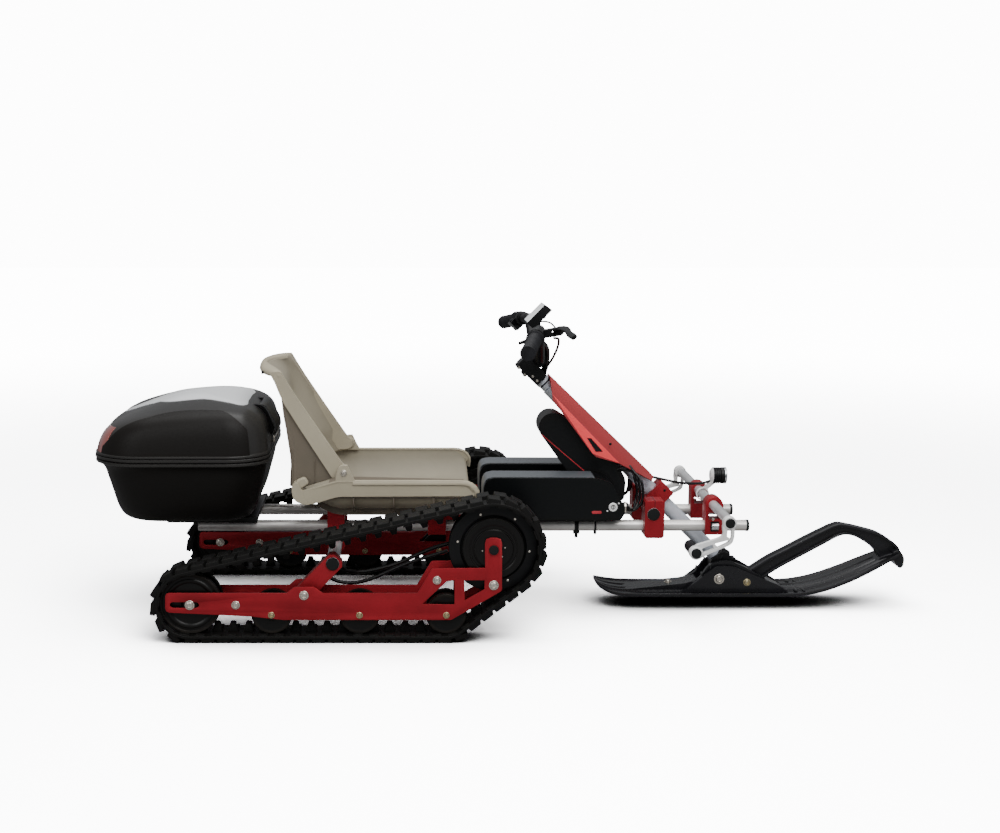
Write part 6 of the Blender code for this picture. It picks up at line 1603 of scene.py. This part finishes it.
class SNOWKART_OT_batteries(bpy.types.Operator):
    """Two satin batteries with their locks, charge marks, connectors and cable ties"""
    bl_idname = "snow_kart.batteries"
    bl_label = "Batteries"

    def execute(self, context):
        for word, side in SIDES.items():
            y = side * RAIL_Y
            front = BATTERY_X[1]
            low = 0.2208
            outline = [(BATTERY_X[0], low + 0.001, 0.004), (BATTERY_X[0], BATTERY_TOP, 0.026),
                       (0.201, BATTERY_TOP - 0.001, 0.022), (0.226, 0.303, 0.03),
                       (front, 0.248, 0.01), (front - 0.004, 0.229, 0.008),
                       (front - 0.012, low, 0.006)]
            bm = plate(outline, y - 0.045, y + 0.045, 10)
            placed(bm, f"battery_shell_{word}", "frame", ["battery"],
                   [f"battery_{word}"], edge=0.0065, segments=5, angle=40)
            # Painted reflection: the grey strip over the top and the rounded rear edge stands for the
            # bright room mirrored in the black shell
            spine = [(BATTERY_X[0] - 0.0008, 0.25), (BATTERY_X[0] - 0.0008, 0.294),
                     (BATTERY_X[0] + 0.007, 0.313), (BATTERY_X[0] + 0.026, BATTERY_TOP + 0.0008)]
            line = smooth_line(spine, 24) + [(0.188, BATTERY_TOP - 0.0002)]
            bm = ribbon(line, 0.002, 0.037)
            bmesh.ops.translate(bm, verts=bm.verts, vec=(0, y, 0))
            placed(bm, f"battery_strip_{word}", "frame", ["strip"], edge=0.0006)
            bm = block((BATTERY_X[0] + 0.02, y - 0.02, 0.2128), (front - 0.04, y + 0.02, low + 0.004),
                       0.001)
            placed(bm, f"battery_foot_{word}", "frame", ["black"])
            bm = bmesh.new()
            outer = y + side * 0.045
            lock = Vector((0.229, outer, 0.251))
            join(bm, revolve(LOCK_BARREL, 36), 0, along(lock, (0, side, 0)))
            join(bm, revolve([(0.0036, 0.0012), (0.005, 0.0012), (0.005, 0.0016), (0.0036, 0.0016)],
                             28, True), 1, along(lock, (0, side, 0)))
            join(bm, block((-0.0009, -0.0034, 0.001), (0.0009, 0.0034, 0.0016), 0.0002, 1), 1,
                 along(lock, (0, side, 0)))
            for dx, dz in ((0.0125, 0.0085), (-0.0125, -0.0085)):
                join(bm, cap(0.002, 0.001), 0, along(lock + Vector((dx, 0, dz)), (0, side, 0)))
            placed(bm, f"battery_lock_{word}", "frame", ["pale", "black"], angle=35)
            bm = plate(BATTERY_MARK, outer, outer + side * 0.001, 5)
            placed(bm, f"battery_mark_{word}", "frame", ["red_mark"], edge=0.0003)
            bm = bmesh.new()
            join(bm, bar((front - 0.004, y, 0.242), (front + 0.012, y, 0.242), 0.0105, 32, 0.002), 0)
            join(bm, bar((front + 0.002, y, 0.242), (front + 0.007, y, 0.242), 0.0118, 32, 0.001), 1)
            placed(bm, f"battery_plug_{word}", "frame", ["black", "steel"], angle=35)
            bm = bmesh.new()
            for x, wide, hang in ((0.153, 0.009, 0.027), (0.195, 0.004, 0.02)):
                tie = revolve([(RAIL_RADIUS - 0.0002, -wide / 2), (RAIL_RADIUS + 0.0014, -wide / 2),
                               (RAIL_RADIUS + 0.0014, wide / 2), (RAIL_RADIUS - 0.0002, wide / 2)],
                              40, True)
                join(bm, tie, None, along((x, y, RAIL_Z), (1, 0, 0)))
                head = RAIL_Z - RAIL_RADIUS - 0.0004
                join(bm, block((x - wide * 0.8, y + min(side * 0.002, side * 0.008), head - 0.005),
                               (x + wide * 0.8, y + max(side * 0.002, side * 0.008), head + 0.003),
                               0.0006, 1))
                join(bm, block((x - wide * 0.4, y + min(side * 0.004, side * 0.0055), RAIL_Z - hang),
                               (x + wide * 0.4, y + max(side * 0.004, side * 0.0055), head), 0.0003, 1))
            placed(bm, f"battery_ties_{word}", "frame", ["plug"], angle=35)
        return {"FINISHED"}


# Side view of the slot in the panel's flange, drawn as a black plate that stands for the shade in the
# opening: painted shade
PANEL_SLOT = [(0.177, 0.395, 0.001), (0.186, 0.394, 0.001), (0.213, 0.364, 0.001), (0.197, 0.364, 0.002)]
# Side view of the controller case: (x, z, corner radius)
CONTROLLER = [
    (0.07, 0.406, 0.012), (0.0715, 0.434, 0.016), (0.101, 0.453, 0.018), (0.133, 0.434, 0.012),
    (0.248, 0.334, 0.012), (0.27, 0.296, 0.012), (0.266, 0.244, 0.012), (0.165, 0.275, 0.006)
]


class SNOWKART_OT_front_panel(bpy.types.Operator):
    """Folded front panel with its slots and screws, and the controller behind it"""
    bl_idname = "snow_kart.front_panel"
    bl_label = "Front Panel and Controller"

    def execute(self, context):
        bm = copy_of("front_panel")
        # Painted light: the large faces that look sideways, the lower flanges, take the brighter copy of
        # the paint
        for face in bm.faces:
            if face.calc_area() > 0.0004 and abs(face.normal.y) > 0.93:
                face.material_index = 1
        flanges = {}
        for side in (-1, 1):
            found = [face for face in bm.faces if face.material_index and face.normal.y * side > 0]
            face = max(found, key=lambda item: item.calc_area())
            flanges[side] = (face.calc_center_median(), face.normal.copy())
        placed(bm, "panel_sheet", "frame", ["panel", "flange"], ["front_panel"],
               edge=0.0005, segments=2, angle=20)
        # Painted shade: black plates on the flanges stand for the dark openings of the slots
        bm = bmesh.new()
        for side, (middle, normal) in flanges.items():
            slot = plate(PANEL_SLOT, -0.0012, 0.001, 3)
            screw = socket_bolt(0.003, 0.0016)
            screw.transform(across(0.23, 0.0, 0.38, side))
            join(slot, screw)
            for vert in slot.verts:
                fall = normal.x * (vert.co.x - middle.x) + normal.z * (vert.co.z - middle.z)
                vert.co.y = middle.y - fall / normal.y + (vert.co.y if abs(vert.co.y) < 0.02 else 0)
            join(bm, slot, 0)
        placed(bm, "panel_slots", "frame", ["black"], angle=35)
        bm = plate(CONTROLLER, -0.04, 0.04, 8)
        placed(bm, "controller_case", "frame", ["black"], ["motor_controller"],
               edge=0.006, segments=5)
        bm = bmesh.new()
        for side in (-1, 1):
            join(bm, bar((0.0765, side * 0.04, 0.399), (0.179, side * 0.04, 0.3115), 0.0011, 10))
        placed(bm, "controller_line", "frame", ["red_mark"], angle=35)
        return {"FINISHED"}


# Side views of the foot rest arm's members, each a little inside the last
FOOT_MEMBERS = (
    [(0.452, 0.25), (0.4625, 0.247, 0.003), (0.4625, 0.22, 0.008), (0.458, 0.208, 0.006),
     (0.449, 0.2025, 0.006), (0.407, 0.184, 0.008), (0.392, 0.176), (0.388, 0.183),
     (0.405, 0.19, 0.004), (0.4215, 0.1965), (0.447, 0.2085, 0.003), (0.453, 0.214, 0.003),
     (0.456, 0.219, 0.003), (0.456, 0.238)],
    [(0.439, 0.256), (0.448, 0.244), (0.4465, 0.2215, 0.002), (0.453, 0.219), (0.453, 0.215),
     (0.449, 0.215, 0.002), (0.4215, 0.2078), (0.3985, 0.199, 0.002), (0.39, 0.192), (0.38, 0.201),
     (0.383, 0.205, 0.004), (0.428, 0.219, 0.006), (0.44, 0.226, 0.006), (0.437, 0.239, 0.004)],
    [(0.4165, 0.207), (0.4215, 0.2085), (0.426, 0.1985), (0.4205, 0.1955)],
)


class SNOWKART_OT_foot_rests(bpy.types.Operator):
    """Foot bar with its skeleton arms, pegs and black plugs"""
    bl_idname = "snow_kart.foot_rests"
    bl_label = "Foot Rests"

    def execute(self, context):
        ends = [(FOOT_BAR.x, way * (FOOT_BAR_HALF - 0.01), FOOT_BAR.y) for way in (-1, 1)]
        bm = bar(*ends, FOOT_BAR_RADIUS, 48, 0.0006)
        placed(bm, "foot_tube", "frame", ["cross"], ["foot_bar"], angle=30)
        for word, side in SIDES.items():
            near, far = side * 0.29, side * 0.302
            bm = bmesh.new()
            for index, member in enumerate(FOOT_MEMBERS):
                join(bm, plate(member, near + side * 0.0003 * index, far - side * 0.0003 * index, 4))
            for spot in (FOOT_HUB, PEG):
                join(bm, bar((spot.x, side * 0.286, spot.y), (spot.x, side * 0.3035, spot.y), 0.0142,
                             40, 0.0012))
            join(bm, bar((PEG.x, side * 0.225, PEG.y), (PEG.x, side * 0.29, PEG.y), 0.0118, 40,
                         0.001), 1)
            for ring in range(7):
                start = 0.228 + ring * 0.0082
                join(bm, bar((PEG.x, side * start, PEG.y), (PEG.x, side * (start + 0.0046), PEG.y),
                             0.0128, 36, 0.0008), 1)
            placed(bm, f"foot_arm_frame_{word}", "frame", ["pale", "soft"],
                   [f"foot_arm_{word}"], edge=0.0012, segments=3, angle=34)
            bm = bmesh.new()
            join(bm, cap(0.0108, 0.0034), 0, across(PEG.x, side * 0.3034, PEG.y, side))
            join(bm, cap(0.0116, 0.0034), 0, across(PEG.x, side * 0.2252, PEG.y, -side))
            join(bm, cap(0.0104, 0.0034), 0, across(FOOT_HUB.x, side * 0.3034, FOOT_HUB.y, side))
            placed(bm, f"foot_caps_{word}", "frame", ["plug"], angle=35)
        return {"FINISHED"}


# Profile of the headlight's rear cap: (radius, height)
LAMP_REAR_CAP = [
    (0, -0.002), (0.012, -0.0016), (0.0176, 0.003), (0.0184, 0.004), (0.018, 0.0046), (0, 0.0046)
]
# Profile of the headlight's lens
LAMP_GLASS = [
    (0, 0.036), (0.01, 0.0357), (0.015, 0.0348), (0.0172, 0.0338), (0.0172, 0.0328), (0, 0.0333)
]


class SNOWKART_OT_headlight(bpy.types.Operator):
    """Headlight: finned black drum, bright bezel and clear lens on its stalk"""
    bl_idname = "snow_kart.headlight"
    bl_label = "Headlight"

    def execute(self, context):
        profile = [(0, 0), (0.011, 0), (0.015, 0.003)]
        for step in range(4):
            start = 0.0045 + step * 0.0042
            profile += [(0.019, start), (0.019, start + 0.0022), (0.0165, start + 0.0026),
                        (0.0165, start + 0.004)]
        profile += [(0.0186, 0.022), (0.019, 0.023), (0.019, 0.031), (0.0165, 0.0325), (0, 0.0325)]
        bm = revolve(profile, 48)
        join(bm, revolve(LAMP_REAR_CAP, 48), 2)
        join(bm, revolve([(0.0168, 0.03), (0.0192, 0.03), (0.0192, 0.0345), (0.018, 0.0352),
                          (0.0168, 0.0345)], 48, True), 1)
        join(bm, revolve([(0, 0.033), (0.006, 0.0322), (0.012, 0.0318), (0.0166, 0.0332)], 48), 1)
        bm.transform(along(LAMP, (1, 0, 0)))
        bore = FOOT_BAR_RADIUS + 0.0018
        rim = bore + 0.0026
        join(bm, revolve([(bore, -0.004), (rim, -0.004), (rim, 0.004), (bore, 0.004)], 40, True),
             2, across(FOOT_BAR.x, LAMP.y, FOOT_BAR.y))
        join(bm, plate([(0.455, 0.2636), (0.4665, 0.2614), (0.488, 0.28), (0.473, 0.281)],
                       LAMP.y - 0.004, LAMP.y + 0.004), 2)
        placed(bm, "lamp_drum", "headlight", ["black", "chrome", "pale"],
               ["headlight"], edge=0.0003, segments=1)
        bm = revolve(LAMP_GLASS, 48)
        bm.transform(along(LAMP, (1, 0, 0)))
        placed(bm, "lamp_lens", "headlight", ["lens"], angle=60)
        return {"FINISHED"}


class SNOWKART_OT_handlebar(bpy.types.Operator):
    """Handlebar, stem, grips, levers, throttle, switch pod and display"""
    bl_idname = "snow_kart.handlebar"
    bl_label = "Handlebar and Controls"

    def execute(self, context):
        sizes = context.scene.snow_kart_sizes
        dressed("handlebar", "bar_tube", "steering", "black", 0.0006)
        dressed("stem", "stem_block", "steering", "black", 0.0036, 4)
        bm = bmesh.new()
        for side in (-1, 1):
            for s in (-0.014, 0.014):
                spot = column(BAR_S + s, BAR_N + 0.018, side * 0.017)
                join(bm, socket_bolt(0.0036, 0.003), 0, along(spot, column(0, 1) - column(0, 0)))
            for s in (-0.334, -0.32):
                spot = column(s, -0.008, side * 0.025)
                join(bm, socket_bolt(0.0034, 0.0026), 0, along(spot, (0, side, 0)))
            for x, z in ((0.025, 0.55), (0.0385, 0.533)):
                join(bm, bar((x, side * 0.016, z), (x, side * 0.0285, z), 0.0046, 28, 0.0008), 1)
                join(bm, cap(0.0026, 0.001), 0, across(x, side * 0.0285, z, side))
        placed(bm, "stem_bolts", "steering", ["steel", "black"], angle=35)
        length = (GRIP_OUTER - GRIP_INNER).length
        for word, side in SIDES.items():
            profile = [(0.0114, 0), (0.0195, 0), (0.0195, 0.0034), (0.0168, 0.0046)]
            pitch = (length - 0.012) / sizes.grip_ribs
            for rib in range(sizes.grip_ribs):
                start = 0.005 + rib * pitch
                profile += [(0.0152, start), (0.016, start + pitch * 0.25),
                            (0.016, start + pitch * 0.7), (0.0152, start + pitch * 0.95)]
            profile += [(0.0162, length - 0.004), (0.0165, length + 0.001), (0.0155, length + 0.0036),
                        (0, length + 0.004)]
            bm = revolve(profile, 48)
            bm.transform(bar_frame(side) @ along((0, 0, 0), (0, side, 0)))
            placed(bm, f"grip_sleeve_{word}", "steering", ["soft"],
                   [f"grip_{word}"], angle=40)
            bm = copy_of(f"brake_lever_{word}")
            nearest = min(bm.verts, key=lambda vert: vert.co.x).co.copy()
            bm.transform(Matrix.Translation(nearest) @ Matrix.Rotation(LEVER_TURN, 4, "Y")
                         @ Matrix.Translation(-nearest))
            join(bm, bar((0.086, side * 0.208, 0.645), (0.103, side * 0.196, 0.6475), 0.0078, 36,
                         0.0015))
            placed(bm, f"lever_{word}", f"brake_lever_{word}", ["black"],
                   [f"brake_lever_{word}"], edge=0.0028, segments=4)
        dressed("thumb_throttle", "throttle_paddle", "throttle", "black", 0.0012)
        dressed("control_pod", "pod_case", "steering", "gloss", 0.0018, 3)
        dressed("pod_button", "pod_push", "pod_button", "soft", 0.0008)
        dressed("display", "display_case", "steering", "black", 0.0016, 3)
        bm = plate([(0.0448, 0.649), (0.044, 0.6498), (0.082, 0.6886), (0.0828, 0.6878)], -0.006, 0.07)
        placed(bm, "display_screen", "steering", ["screen"], edge=0.0003)
        return {"FINISHED"}


# Side view of the leg under the lower crown
LEG_PLATE = [
    (0.472, 0.106, 0.008), (0.496, 0.124, 0.008), (0.518, 0.118, 0.01), (0.522, 0.096, 0.008),
    (0.508, 0.056, 0.014), (0.47, 0.054, 0.014)
]


class SNOWKART_OT_column(bpy.types.Operator):
    """Steerer with its spacers, lower crown and the leg that carries the ski"""
    bl_idname = "snow_kart.column"
    bl_label = "Steering Column"

    def execute(self, context):
        bm = bar(column(-0.345, 0), column(0.24, 0), 0.012, 40, 0.001)
        join(bm, bar(column(-0.311, 0), column(-0.302, 0), 0.0168, 48, 0.0012), 0)
        join(bm, bar(column(-0.299, 0), column(-0.288, 0), 0.0152, 48, 0.001), 0)
        join(bm, bar(column(0.23, 0), column(0.266, 0), 0.0166, 56, 0.001), 0)
        join(bm, bar((SKI_PIVOT.x, -0.047, SKI_PIVOT.y), (SKI_PIVOT.x, 0.047, SKI_PIVOT.y), 0.006), 0)
        placed(bm, "column_steerer", "steering", ["round"], ["steering_spindle"],
               angle=30)
        bm = bar(column(0.262, 0.004), column(0.29, 0.01), 0.0205, 56, 0.004)
        join(bm, bar(column(0.272, 0.005), column(0.277, 0.0065), 0.0218, 56, 0.001))
        join(bm, plate(LEG_PLATE, -0.0205, 0.0205, 6))
        join(bm, bar((0.5262, -0.012, 0.101), (0.5262, 0.012, 0.101), 0.0064, 32, 0.001))
        placed(bm, "column_leg", "steering", ["black"], edge=0.0012, segments=3)
        bm = revolve([(0.0115, -0.0012), (0.015, -0.0012), (0.0156, 0.0), (0.015, 0.0012),
                      (0.0115, 0.0012)], 48, True)
        bm.transform(along(column(-0.3005, 0), column(1, 0) - column(0, 0)))
        placed(bm, "column_seal", "steering", ["soft"], angle=35)
        return {"FINISHED"}


# Half of the blade's ridged upper side: (share of the half width, up)
BLADE_RING = [
    (-1.0, 0.0), (-1.0, 0.0062), (-0.93, 0.007), (-0.88, 0.0036), (-0.5, 0.003), (-0.42, 0.0064),
    (-0.34, 0.0064), (-0.28, 0.003), (-0.14, 0.0034), (-0.1, 0.0062)
]
# Side view of the runner
SKI_KEEL = [(0.3, 0.032, 0.01), (0.354, 0.0145, 0.01), (0.599, 0.0135, 0.01), (0.65, 0.032, 0.01)]
# Side view of the saddle's rear ramp
SADDLE_TAIL = [
    (0.27, 0.032), (0.28, 0.037, 0.004), (0.421, 0.052, 0.02), (0.44, 0.06, 0.004), (0.44, 0.033)
]
# Side view of the saddle's front ramp
SADDLE_NOSE = [
    (0.548, 0.033), (0.548, 0.085, 0.004), (0.557, 0.082, 0.006), (0.6, 0.06, 0.01), (0.648, 0.033)
]
# Side view of the saddle's inner wall
SADDLE_WALL = [
    (0.42, 0.033), (0.421, 0.052, 0.01), (0.445, 0.064, 0.01), (0.463, 0.094, 0.01),
    (0.483, 0.103, 0.012), (0.51, 0.106, 0.01), (0.545, 0.092, 0.008), (0.6, 0.06, 0.01),
    (0.648, 0.033)
]
# Side view of the saddle's outer wall
SADDLE_SIDE = [
    (0.4, 0.034), (0.417, 0.045, 0.006), (0.479, 0.0945, 0.008), (0.521, 0.0945, 0.01),
    (0.557, 0.078, 0.02), (0.626, 0.05, 0.01), (0.646, 0.034)
]
# Side view of the loop's front bumper
SKI_BUMPER = [
    (0.886, 0.124, 0.004), (0.901, 0.13, 0.005), (0.914, 0.112, 0.008), (0.912, 0.09, 0.006),
    (0.903, 0.085, 0.004), (0.89, 0.102, 0.006)
]
# Side view of the bumper's root in the blade
BUMPER_ROOT = [
    (0.85, 0.094, 0.004), (0.86, 0.112, 0.006), (0.894, 0.122, 0.004), (0.908, 0.106, 0.006),
    (0.896, 0.104, 0.004)
]


class SNOWKART_OT_ski(bpy.types.Operator):
    """Ski: ridged blade, runner, front loop, saddle and bolts"""
    bl_idname = "snow_kart.ski"
    bl_label = "Ski"

    def execute(self, context):
        ring = BLADE_RING + [(-y, z) for y, z in BLADE_RING[::-1]]
        ring += [(0.3, 0.0), (-0.3, 0.0), (-1.0, 0.0)]

        def blade_point(u, v):
            x, z, half = through(SKI_ROWS, u)
            share, lift = ring[min(round(v * (len(ring) - 1)), len(ring) - 1)]
            return (x, share * half, z + lift)

        blade = sheet_of(blade_point, 96, len(ring) - 1)
        bmesh.ops.remove_doubles(blade, verts=blade.verts, dist=1e-6)
        bmesh.ops.holes_fill(blade, edges=[edge for edge in blade.edges if edge.is_boundary], sides=0)
        placed(outwards(blade), "ski_blade", "ski", ["ski"], ["ski"], edge=0.001,
               segments=3, angle=30)
        bm = plate(SKI_KEEL, -0.013, 0.013)
        for side in (-1, 1):
            join(bm, plate([(0.33, 0.031), (0.356, 0.025, 0.006), (0.62, 0.025, 0.006),
                            (0.64, 0.031)], side * 0.048, side * 0.054))
        join(bm, plate(SADDLE_TAIL, -0.03, 0.03, 6))
        join(bm, plate(SADDLE_NOSE, -0.024, 0.024, 6))
        for side in (-1, 1):
            join(bm, plate(SADDLE_WALL, side * 0.024, side * 0.034, 6))
        for side in (-1, 1):
            join(bm, plate(SADDLE_SIDE, side * 0.0395, side * 0.0455, 6))
            for x in (0.43, 0.448, 0.466):
                rise = (x - 0.43) * 1.1
                join(bm, plate([(x, 0.034), (x, 0.056 + rise), (x + 0.003, 0.058 + rise),
                                (x + 0.003, 0.034)], side * 0.023, side * 0.04))
        for x in (0.661, 0.679):
            for low in (-0.052, 0.032):
                join(bm, block((x, low, 0.034), (x + 0.005, low + 0.02, 0.04), 0.001))
        placed(bm, "ski_saddle", "ski", ["ski"], edge=0.0014, segments=3)
        outer_line = smooth_line(LOOP_OUTER, 60)
        inner_line = smooth_line(LOOP_INNER, 40)
        bm = plate(outer_line + inner_line[::-1], -0.0075, 0.0075)
        join(bm, ribbon(outer_line, 0.006, 0.0165))
        join(bm, ribbon(inner_line[::-1], 0.0055, 0.0165))
        join(bm, plate(SKI_BUMPER, -0.03, 0.03, 6))
        join(bm, plate(BUMPER_ROOT, -0.024, 0.024, 5))
        placed(bm, "ski_loop", "ski", ["ski"], edge=0.0016, segments=4, angle=40)
        bm = socket_bolt(0.006, 0.004, 0.009)
        bm.transform(along((0.378, 0.0, 0.047), (-0.1, 0, 1)))
        placed(bm, "ski_tail_bolt", "ski", ["steel"], angle=35)
        bm = bmesh.new()
        for side in (-1, 1):
            outer = side * 0.044
            join(bm, socket_bolt(0.008, 0.0045, 0.0118), 0,
                 across(SKI_PIVOT.x, outer + side * 0.0016, SKI_PIVOT.y, side))
            join(bm, socket_bolt(0.0064, 0.004, 0.0084), 1,
                 across(0.551, outer + side * 0.0014, 0.057, side))
        placed(bm, "ski_bolts", "ski", ["steel", "brass"], angle=35)
        return {"FINISHED"}


# Knots of the headlight's lead
LIGHT_LEAD = [
    (0.327, 0.006, 0.295), (0.3649, 0.003, 0.287), (0.398, 0.006, 0.2795), (0.4351, 0.012, 0.2761),
    (0.4598, 0.017, 0.2774), (0.4761, 0.02, 0.283)
]
# Knots of the lever's cable
BRAKE_LEAD = [
    (0.086, -0.2, 0.633), (0.098, -0.175, 0.628), (0.0993, -0.14, 0.6057), (0.0931, -0.09, 0.5754),
    (0.0873, -0.04, 0.5523), (0.085, 0.0, 0.523)
]
# Sideways and rearward offset and radius of each lead in the bundle
BUNDLE = ((0.0, 0.0, 0.0036), (0.007, 0.006, 0.0032), (-0.007, 0.003, 0.003))
# Knots of the display's lead
DISPLAY_LEAD = [
    (0.078, 0.03, 0.648), (0.086, -0.03, 0.6526), (0.0948, -0.06, 0.65), (0.098, -0.12, 0.64),
    (0.07, -0.15, 0.633)
]


class SNOWKART_OT_cables(bpy.types.Operator):
    """Motor, headlight and brake cables and the bundle into the front panel"""
    bl_idname = "snow_kart.cables"
    bl_label = "Cables"

    def execute(self, context):
        bm = copy_of("motor_cable")
        placed(bm, "motor_lead", "frame", ["jacket"], ["motor_cable"], angle=40)
        wire(LIGHT_LEAD, 0.003, "light_lead", "frame", ["light_cable"])
        wire(BRAKE_LEAD, 0.0028, "brake_lead", "steering", ["brake_cable"])
        for index, (y, back, radius) in enumerate(BUNDLE):
            wire([(0.06, -0.1 + y, 0.62), (0.08 - back, -0.06 + y, 0.6067),
                  (0.09 - back, -0.03 + y, 0.5877), (0.091 - back, -0.015 + y, 0.5637),
                  (0.0859 - back, y, 0.533), (0.087 - back, y, 0.512)],
                 radius, f"bundle_{index}", "steering")
        wire(DISPLAY_LEAD, 0.002, "display_lead", "steering")
        for word, side in SIDES.items():
            for index, (out, grow) in enumerate(((0.064, -0.008), (0.074, -0.003), (0.086, 0.002))):
                wire([(0.245, side * 0.035, 0.315), (0.2771, side * 0.05, 0.3199 - grow),
                      (0.293 + grow, side * out, 0.305), (0.3 + grow, side * out, 0.275),
                      (0.296 + grow, side * out, 0.248), (0.28, side * RAIL_Y, 0.234),
                      (0.264, side * RAIL_Y, 0.238 - grow)],
                     0.003, f"battery_lead_{index}_{word}", "frame")
            wire([(-0.42, side * 0.248, 0.15), (-0.39, side * 0.246, 0.118),
                  (-0.35, side * 0.244, 0.108), (-0.305, side * 0.244, 0.117),
                  (-0.23, side * 0.244, 0.15), (-0.14, side * 0.246, 0.18)],
                 0.0038, f"motor_loop_{word}", "frame")
        return {"FINISHED"}


class SNOWKART_OT_stage(bpy.types.Operator):
    """Pale floor, soft lights and the camera"""
    bl_idname = "snow_kart.stage"
    bl_label = "Stage, Lights and Camera"

    def execute(self, context):
        scene = context.scene
        camera = bpy.data.objects.new("camera", bpy.data.cameras.new("camera"))
        scene.collection.objects.link(camera)
        camera.location = CAMERA_AT
        camera.rotation_euler = (CAMERA_TURN, 0, 0)
        camera.data.sensor_width = 36.0
        camera.data.lens = 56.34
        camera.data.shift_x = 0.103
        camera.data.shift_y = 0.0115
        scene.camera = camera
        bm = bmesh.new()
        bmesh.ops.create_grid(bm, x_segments=4, y_segments=4, size=14.0)
        mesh = bpy.data.meshes.new("studio_floor")
        bm.to_mesh(mesh)
        bm.free()
        mesh.materials.append(finish("floor"))
        floor = bpy.data.objects.new("studio_floor", mesh)
        scene.collection.objects.link(floor)
        for name, place, target, size, power in LIGHTS:
            lamp = bpy.data.lights.new(name, "AREA")
            lamp.energy = power
            lamp.size = size
            holder = bpy.data.objects.new(name, lamp)
            scene.collection.objects.link(holder)
            holder.matrix_world = along(place, Vector(place) - Vector(target))
        world = bpy.data.worlds.new("studio")
        world.use_nodes = True
        tree = world.node_tree
        rays = add_node(tree, "ShaderNodeLightPath")
        seen = add_node(tree, "ShaderNodeBackground", None, {"Color": (1, 1, 1, 1), "Strength": BACKDROP})
        room = add_node(tree, "ShaderNodeBackground", None,
                        {"Color": (0.95, 0.97, 1.0, 1), "Strength": ROOM})
        mixed = add_node(tree, "ShaderNodeMixShader", None,
                         {0: rays.outputs["Is Camera Ray"], 1: room.outputs[0], 2: seen.outputs[0]})
        tree.links.new(mixed.outputs[0], tree.nodes["World Output"].inputs["Surface"])
        scene.world = world
        return {"FINISHED"}


class SNOWKART_PT_panel(bpy.types.Panel):
    """Buttons that build each piece of the kart"""
    bl_idname = "SNOWKART_PT_panel"
    bl_label = "Snow Kart"
    bl_space_type = "VIEW_3D"
    bl_region_type = "UI"
    bl_category = "Snow Kart"

    def draw(self, context):
        layout = self.layout
        for group in (context.scene.snow_kart_sizes, context.scene.snow_kart_colours):
            for name in group.bl_rna.properties.keys():
                if name not in ("rna_type", "name"):
                    layout.prop(group, name)
        for operator in OPERATORS:
            layout.operator(operator.bl_idname)


OPERATORS = (SNOWKART_OT_stage, SNOWKART_OT_belts, SNOWKART_OT_wheels, SNOWKART_OT_motors,
             SNOWKART_OT_plates, SNOWKART_OT_tubes, SNOWKART_OT_clamps, SNOWKART_OT_top_case,
             SNOWKART_OT_latch, SNOWKART_OT_seat_base, SNOWKART_OT_seat_back,
             SNOWKART_OT_batteries, SNOWKART_OT_front_panel, SNOWKART_OT_foot_rests,
             SNOWKART_OT_headlight, SNOWKART_OT_handlebar, SNOWKART_OT_column, SNOWKART_OT_ski,
             SNOWKART_OT_cables)
CLASSES = (SnowKartSizes, SnowKartColours) + OPERATORS + (SNOWKART_PT_panel,)


def register():
    for item in CLASSES:
        bpy.utils.register_class(item)
    bpy.types.Scene.snow_kart_sizes = bpy.props.PointerProperty(type=SnowKartSizes)
    bpy.types.Scene.snow_kart_colours = bpy.props.PointerProperty(type=SnowKartColours)


def unregister():
    del bpy.types.Scene.snow_kart_colours
    del bpy.types.Scene.snow_kart_sizes
    for item in reversed(CLASSES):
        bpy.utils.unregister_class(item)


def main():
    register()
    for operator in OPERATORS:
        family, action = operator.bl_idname.split(".")
        getattr(getattr(bpy.ops, family), action)()


if __name__ == "__main__":
    main()
